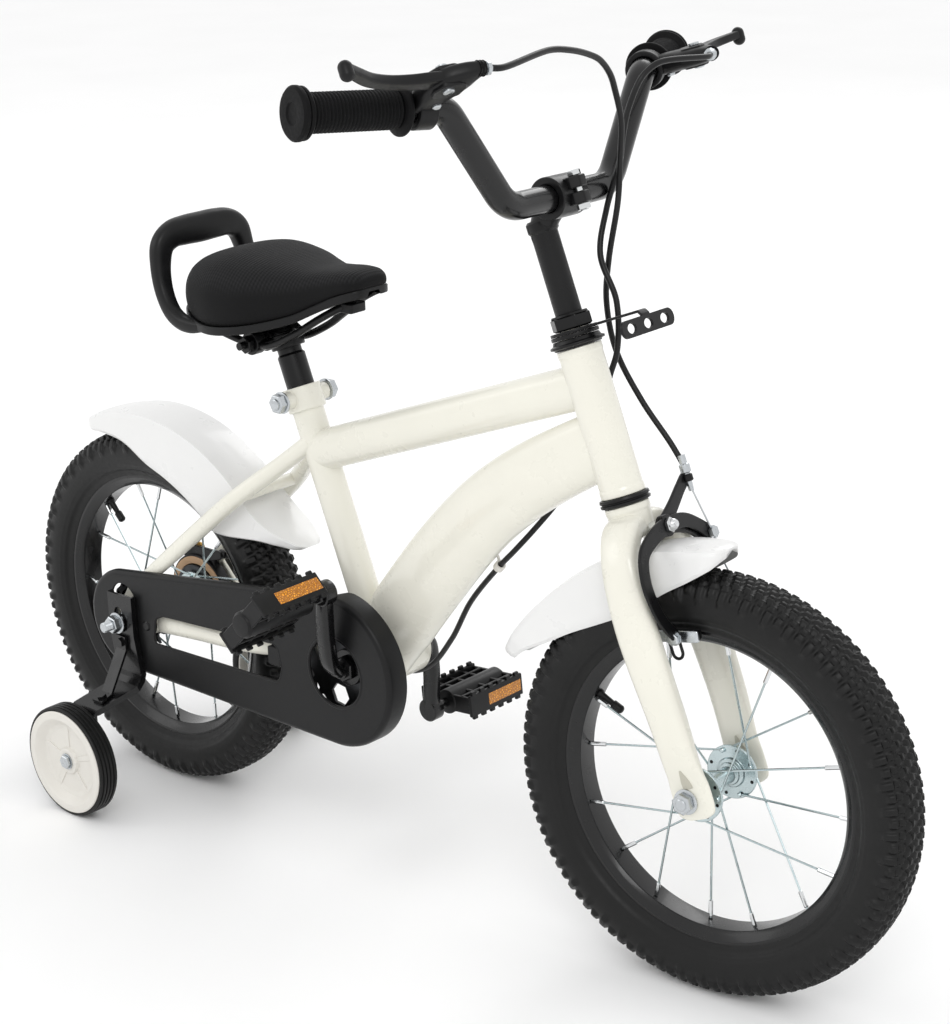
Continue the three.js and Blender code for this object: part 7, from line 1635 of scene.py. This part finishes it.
class BIKE_OT_guard(bpy.types.Operator):
    """The chain guard: a plate with its slot, arch and crank hole, and a rounded turned-in rim"""
    bl_idname = "bike.guard"
    bl_label = "Chain Guard"

    def execute(self, context):
        one, two = guard_outline(50, 71)
        loop_ = np.concatenate([
            one, np.linspace(one[-1], two[0], 42)[1:-1], two, np.linspace(two[-1], one[0], 42)[1:-1],
        ])
        side = directions(loop_, True)
        inward = columns(-side[:, 1], side[:, 0])
        share = np.clip((loop_[:, 0] - BRACKET[0] + 4) / 8, 0, 1)
        deep = 8 + 14 * share * share * (3 - 2 * share)
        inset = np.array([9, 5.6, 4.2, 2.2, 0.7, 0, 0, 0, 0.5, 1.6, 2.0, 2.0, 2.3, 3.4, 5.0, 9.0])
        depth = np.array([0.9, 0.03, 0.12, 0.8, 2.4, 4.8, -1.0, -0.5, 0, 0, -0.6, 6.5, 4.8, 3.1, 2.4, 2.2])
        level = np.where((np.arange(16) >= 6) & (np.arange(16) <= 10), deep[:, None] + depth, depth[None])
        level = np.minimum(level, deep[:, None])
        where = loop_[:, None] + inward[:, None] * inset[None, :, None]
        rim = columns(where[..., 0], GUARD_FACE + level, where[..., 1])
        made = [shell(rim, loop=True)]
        made += self.plate(*guard_outline(45, 66, 120))
        # rolled lips round the crank's hole and the slot
        circle = ring_of(72, CRANK_HOLE)
        lip = columns(BRACKET[0] + circle[:, 0], -61.2, BRACKET[2] + circle[:, 1])
        made.append(shell(sweep(lip, 1.5, ref=Y, sides=12, loop=True), loop=True))
        slot = self.slot()
        lip = columns(slot[:, 0], -61.0, slot[:, 1])
        made.append(shell(sweep(lip, 1.3, ref=Y, sides=12, loop=True), loop=True))
        made.append(lathe([[54.8, 7], [60.5, 7]], [-297, 0, 180], -Y, 32))
        made.append(slab(oblong(16, 18, 2, 4), 43.6, 61, [-120, 0, 193], X, Z, 0.6))
        piece("chain_guard_shell", made, "black_plastic", "frame_body", ["chain_guard"], sharp=40)
        screw = [lathe([[60.4, 5.2], [62.2, 5.0], [63.2, 3.6]], [-297, 0, 180], -Y, 28)]
        piece("chain_guard_screw", screw, "black_steel", "frame_body")
        return {"FINISHED"}

    def slot(self):
        """The slot's outline, with round corners."""
        shares = np.array([
            [0.145, -0.03], [0.152, -0.049], [0.745, -0.031], [0.762, 0.02], [0.745, 0.1], [0.2, 0.063],
            [0.158, 0.045],
        ])
        return eased(shares * 290.5 + [REAR_AXLE[0], REAR_AXLE[2]], 9, 6, loop=True)

    def plate(self, one, two):
        """The flat plate as an upper and a lower sheet of columns: each column runs from the outline to the
        edge of the opening it crosses, or to the middle line where it crosses none."""
        outline = np.concatenate([one, two])
        right, left = outline[:, 0].max(), outline[:, 0].min()
        slot = self.slot()
        cosines = (1 - np.cos(np.linspace(0, math.pi, 33))) / 2
        hole = (BRACKET[0] - CRANK_HOLE, BRACKET[0] + CRANK_HOLE)
        arch = (-347.0, -311.0)
        slot_span = (slot[:, 0].min(), slot[:, 0].max())
        places = [left, right] + [left + c * 60 for c in cosines[:12]] + [
            right - c * 60 for c in cosines[:12]
        ]
        for low, high in (hole, arch, slot_span):
            places += list(low + cosines * (high - low)) + [low - 0.02, high + 0.02]
        places += list(np.linspace(left, right, 60))
        x = np.unique(np.round(places, 3))
        ends = [REAR_AXLE[0], BRACKET[0]], [REAR_AXLE[2], BRACKET[2]]
        middle = np.interp(x, *ends)
        is_upper = outline[:, 1] >= np.interp(outline[:, 0], *ends)
        top, bottom = (
            np.interp(x, *half[np.argsort(half[:, 0])].T) for half in (outline[is_upper], outline[~is_upper])
        )
        above, below = middle.copy(), middle.copy()
        inside = (x >= hole[0]) & (x <= hole[1])
        rise = np.sqrt(np.clip(CRANK_HOLE ** 2 - (x - BRACKET[0]) ** 2, 0, None))
        above = np.where(inside, BRACKET[2] + rise, above)
        below = np.where(inside, BRACKET[2] - rise, below)
        inside = (x >= arch[0]) & (x <= arch[1])
        rise = np.sqrt(np.clip(18 ** 2 - (x + 329) ** 2, 0, None))
        above = np.where(inside, 198 + rise, above)
        below = np.where(inside, 165, below)
        first, last = slot[:, 0].argmin(), slot[:, 0].argmax()
        chain = np.roll(slot, -first, axis=0)
        turn = (last - first) % len(slot)
        low_chain, high_chain = chain[:turn + 1], np.concatenate([chain[turn:], chain[:1]])[::-1]
        inside = (x >= slot_span[0]) & (x <= slot_span[1])
        below = np.where(inside, np.interp(x, low_chain[:, 0], low_chain[:, 1]), below)
        above = np.where(inside, np.interp(x, high_chain[:, 0], high_chain[:, 1]), above)
        made = []
        for low, high in ((above, np.maximum(top, above)), (np.minimum(bottom, below), below)):
            ring = np.array([[GUARD_FACE, 0], [GUARD_FACE, 1], [GUARD_FACE + 2.5, 1], [GUARD_FACE + 2.5, 0]])
            height = low[:, None] + ring[None, :, 1] * (high - low)[:, None]
            rings = columns(x[:, None], ring[None, :, 0], height)
            made.append(rings)
        return made


# ---------------------------------------------------------------- stabilisers

class BIKE_OT_stabilisers(bpy.types.Operator):
    """Both training wheels: grooved tyre, white disc with five sectors, and the bolt"""
    bl_idname = "bike.stabilisers"
    bl_label = "Training Wheels"

    def execute(self, context):
        z = in_mm(context.scene.bike_sizes)
        radius = z["stabiliser"]
        for side, word in SIDES:
            centre = np.array([-336.0, 0, radius])
            axis = side * Y
            tread = [[122, 44.3], [122, 51], [123.5, 53.8]]
            for k in range(5):
                at = 125.2 + k * 4.1
                tread += [
                    [at, radius], [at + 2.6, radius], [at + 2.75, radius - 1.3], [at + 3.9, radius - 1.3],
                ] if k < 4 else [[at, radius]]
            tread += [[143.2, 54.4], [143.6, 52.4], [142.8, 51.9], [142.8, 44.3]]
            tyre = lathe(eased(tread, 0.35, 3, loop=True), centre, axis, 112)
            body = "stabiliser_wheel_" + word + "_body"
            piece(
                "stabiliser_tyre_" + word + "_grooved", [shell(tyre, loop=True)], "tyre_rubber", body,
                ["stabiliser_tyre_" + word],
            )
            disc = eased([
                [122.6, 5.4], [122.6, 12], [130.5, 12.8], [130.5, 40.5], [122.6, 41], [122.6, 44],
                [142.9, 44], [142.9, 51.6], [144.2, 51.6], [145, 50.4], [145, 44], [142.6, 41], [138.2, 36.5],
                [137.0, 32], [137.0, 14], [140.4, 12.6], [140.4, 5.4],
            ], 0.9, 4, loop=True)
            made = [shell(lathe(disc, centre, axis, 96), loop=True)]
            for k in range(5):
                turn = k / 5 * TAU + 0.35
                spoke = np.array([math.cos(turn), 0, math.sin(turn)])
                across = np.array([-math.sin(turn), 0, math.cos(turn)])
                outline = eased([[12, -2.2], [38.5, -3.4], [38.5, 3.4], [12, 2.2]], 1.0, 4, loop=True)
                made.append(slab(outline * [1, -side], 136.2, 138.0, centre, spoke, -side * across, 0.5))
            piece(
                "stabiliser_disc_" + word + "_moulded", made, "white_plastic", body,
                ["stabiliser_disc_" + word],
            )
            bolt = [
                lathe([[114, 4.6], [142.6, 4.6]], centre, axis, 24),
                lathe([[140.7, 8], [141.4, 8]], centre, axis, 32), nut(centre, axis, 7, 141.4, 144.6, 0.4),
                nut(centre, axis, 7.4, 110.5, 116.6),
            ]
            piece(
                "stabiliser_bolt_" + word + "_hex", bolt, "zinc_steel", "frame_body",
                ["stabiliser_bolt_" + word],
            )
        return {"FINISHED"}


# ---------------------------------------------------------------- carried-over nodes, stage and panel

KEPT = {"chainring": "zinc_dark", "freewheel_sprocket": "zinc_dark"}
KEPT.update(
    {"stabiliser_" + kind + "_" + word: "black_paint" for kind in ("bracket", "brace") for _, word in SIDES}
)


class BIKE_OT_kept(bpy.types.Operator):
    """Better materials and eased edges on the nodes whose shape is right"""
    bl_idname = "bike.kept"
    bl_label = "Carried-over Nodes"

    def execute(self, context):
        for name, finish_name in KEPT.items():
            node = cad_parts[name]
            for held in node.material_slots:
                held.material = MATERIALS[finish_name]
            bevel = node.modifiers.new("eased edges", "BEVEL")
            bevel.width = 0.0005
            bevel.segments = 2
            bevel.limit_method = "ANGLE"
            bevel.angle_limit = math.radians(32)
        return {"FINISHED"}


# The camera as it was fitted: the picture's size, its optical centre and the focal length in pixels, the
# camera's yaw, pitch and roll in degrees, and its place in mm.
PICTURE = (950, 1024)
PICTURE_CENTRE = (475.94, 506.63)
FOCAL_LENGTH = 2312.53
SENSOR = 36.0
CAMERA_TURN = (132.472, -18.743, -1.743)
CAMERA_PLACE = (1333.03, -1370.15, 991.43)
# Each lamp's place and the point it faces in metres, and its power in watts.
LAMP_SIZE = 1.6
LAMPS = (
    ("key_light", (2.2, -2.4, 3.2), (0, 0, 0.3), 34),
    ("fill_light", (-2.6, -2.2, 2.0), (0, 0, 0.35), 10),
    ("back_light", (-1.0, 3.0, 2.6), (0, 0, 0.4), 20),
)
FLOOR_REACH = 14


class BIKE_OT_stage(bpy.types.Operator):
    """The camera, the pale floor, the lights and the sky"""
    bl_idname = "bike.stage"
    bl_label = "Stage and Camera"

    def execute(self, context):
        yaw, pitch, roll = (math.radians(v) for v in CAMERA_TURN)
        look = np.array([math.cos(yaw) * math.cos(pitch), math.sin(yaw) * math.cos(pitch), math.sin(pitch)])
        right = np.array([math.sin(yaw), -math.cos(yaw), 0])
        up = np.cross(right, look)
        across = math.cos(roll) * right + math.sin(roll) * up
        top = -math.sin(roll) * right + math.cos(roll) * up
        data = bpy.data.cameras.new("camera")
        data.sensor_width = SENSOR
        data.lens = FOCAL_LENGTH / PICTURE[1] * SENSOR
        data.shift_x = (PICTURE[0] / 2 - PICTURE_CENTRE[0]) / PICTURE[1]
        data.shift_y = -(PICTURE[1] / 2 - PICTURE_CENTRE[1]) / PICTURE[1]
        data.clip_end = 50
        camera = self.placed(context, "camera", data, (across, top, -look), np.array(CAMERA_PLACE) * MM)
        context.scene.camera = camera
        context.scene.view_settings.view_transform = "Standard"
        self.floor(context)
        self.lights(context)
        return {"FINISHED"}

    def placed(self, context, name, data, axes, place):
        """A camera or lamp in the scene, with its three axes in these directions at this place."""
        made = bpy.data.objects.new(name, data)
        context.scene.collection.objects.link(made)
        matrix = Matrix.Identity(4)
        for row in range(3):
            matrix[row][0], matrix[row][1], matrix[row][2] = (axis[row] for axis in axes)
        matrix.translation = place
        made.matrix_world = matrix
        return made

    def floor(self, context):
        """A wide pale floor with a faint paper grain."""
        n = Nodes("floor_paper")
        n.surface(
            n.mix(n.spread(n.noise(3.0), 0.0, 1.0), (0.94, 0.94, 0.94, 1), (0.96, 0.96, 0.96, 1)),
            n.spread(n.noise(60.0), 0.85, 0.95),
        )
        n.bump(n.noise(400.0), 0.02, 0.0002)
        mesh = bpy.data.meshes.new("floor")
        corners = [(x * FLOOR_REACH, y * FLOOR_REACH, 0) for x, y in ((-1, -1), (1, -1), (1, 1), (-1, 1))]
        mesh.from_pydata(corners, [], [(0, 1, 2, 3)])
        mesh.materials.append(n.material)
        made = bpy.data.objects.new("floor", mesh)
        context.scene.collection.objects.link(made)

    def lights(self, context):
        """Three square soft boxes and an even white sky."""
        for name, place, aim, power in LAMPS:
            data = bpy.data.lights.new(name, "AREA")
            data.shape = "SQUARE"
            data.size = LAMP_SIZE
            data.energy = power
            back = unit(np.array(place) - np.array(aim))
            side = unit(np.cross(Z, back))
            self.placed(context, name, data, (side, np.cross(back, side), back), place)
        world = bpy.data.worlds.new("studio") if context.scene.world is None else context.scene.world
        context.scene.world = world
        world.use_nodes = True
        sky = world.node_tree.nodes["Background"]
        sky.inputs["Color"].default_value = (1.0, 1.0, 1.0, 1.0)
        sky.inputs["Strength"].default_value = 1.0


PIECES = (
    BIKE_OT_tyres, BIKE_OT_rims, BIKE_OT_hubs, BIKE_OT_axles, BIKE_OT_fork, BIKE_OT_headset, BIKE_OT_stem,
    BIKE_OT_bar, BIKE_OT_grips, BIKE_OT_levers, BIKE_OT_frame, BIKE_OT_fenders, BIKE_OT_caliper,
    BIKE_OT_cables, BIKE_OT_band_brake, BIKE_OT_saddle, BIKE_OT_crank, BIKE_OT_chain, BIKE_OT_pedals,
    BIKE_OT_guard, BIKE_OT_stabilisers, BIKE_OT_kept,
)


class BIKE_PT_panel(bpy.types.Panel):
    """The bike's pieces, in the order they are made"""
    bl_idname = "BIKE_PT_panel"
    bl_label = "Kids Bike"
    bl_space_type = "VIEW_3D"
    bl_region_type = "UI"
    bl_category = "Kids Bike"

    def draw(self, context):
        column = self.layout.column(align=True)
        column.operator(BIKE_OT_stage.bl_idname)
        for made in PIECES:
            column.operator(made.bl_idname)


CLASSES = (BikeSizes, BikeColours, BIKE_OT_stage, *PIECES, BIKE_PT_panel)


def register():
    """Adds the properties, operators and panel."""
    for kind in CLASSES:
        bpy.utils.register_class(kind)
    bpy.types.Scene.bike_sizes = bpy.props.PointerProperty(type=BikeSizes)
    bpy.types.Scene.bike_colours = bpy.props.PointerProperty(type=BikeColours)


def unregister():
    """Takes them away again."""
    del bpy.types.Scene.bike_colours
    del bpy.types.Scene.bike_sizes
    for kind in reversed(CLASSES):
        bpy.utils.unregister_class(kind)


def main():
    """Builds the whole scene."""
    register()
    MATERIALS.update(make_materials(bpy.context.scene.bike_colours))
    bpy.ops.bike.stage()
    for made in PIECES:
        group, call = made.bl_idname.split(".")
        getattr(getattr(bpy.ops, group), call)()


if __name__ == "__main__":
    main()
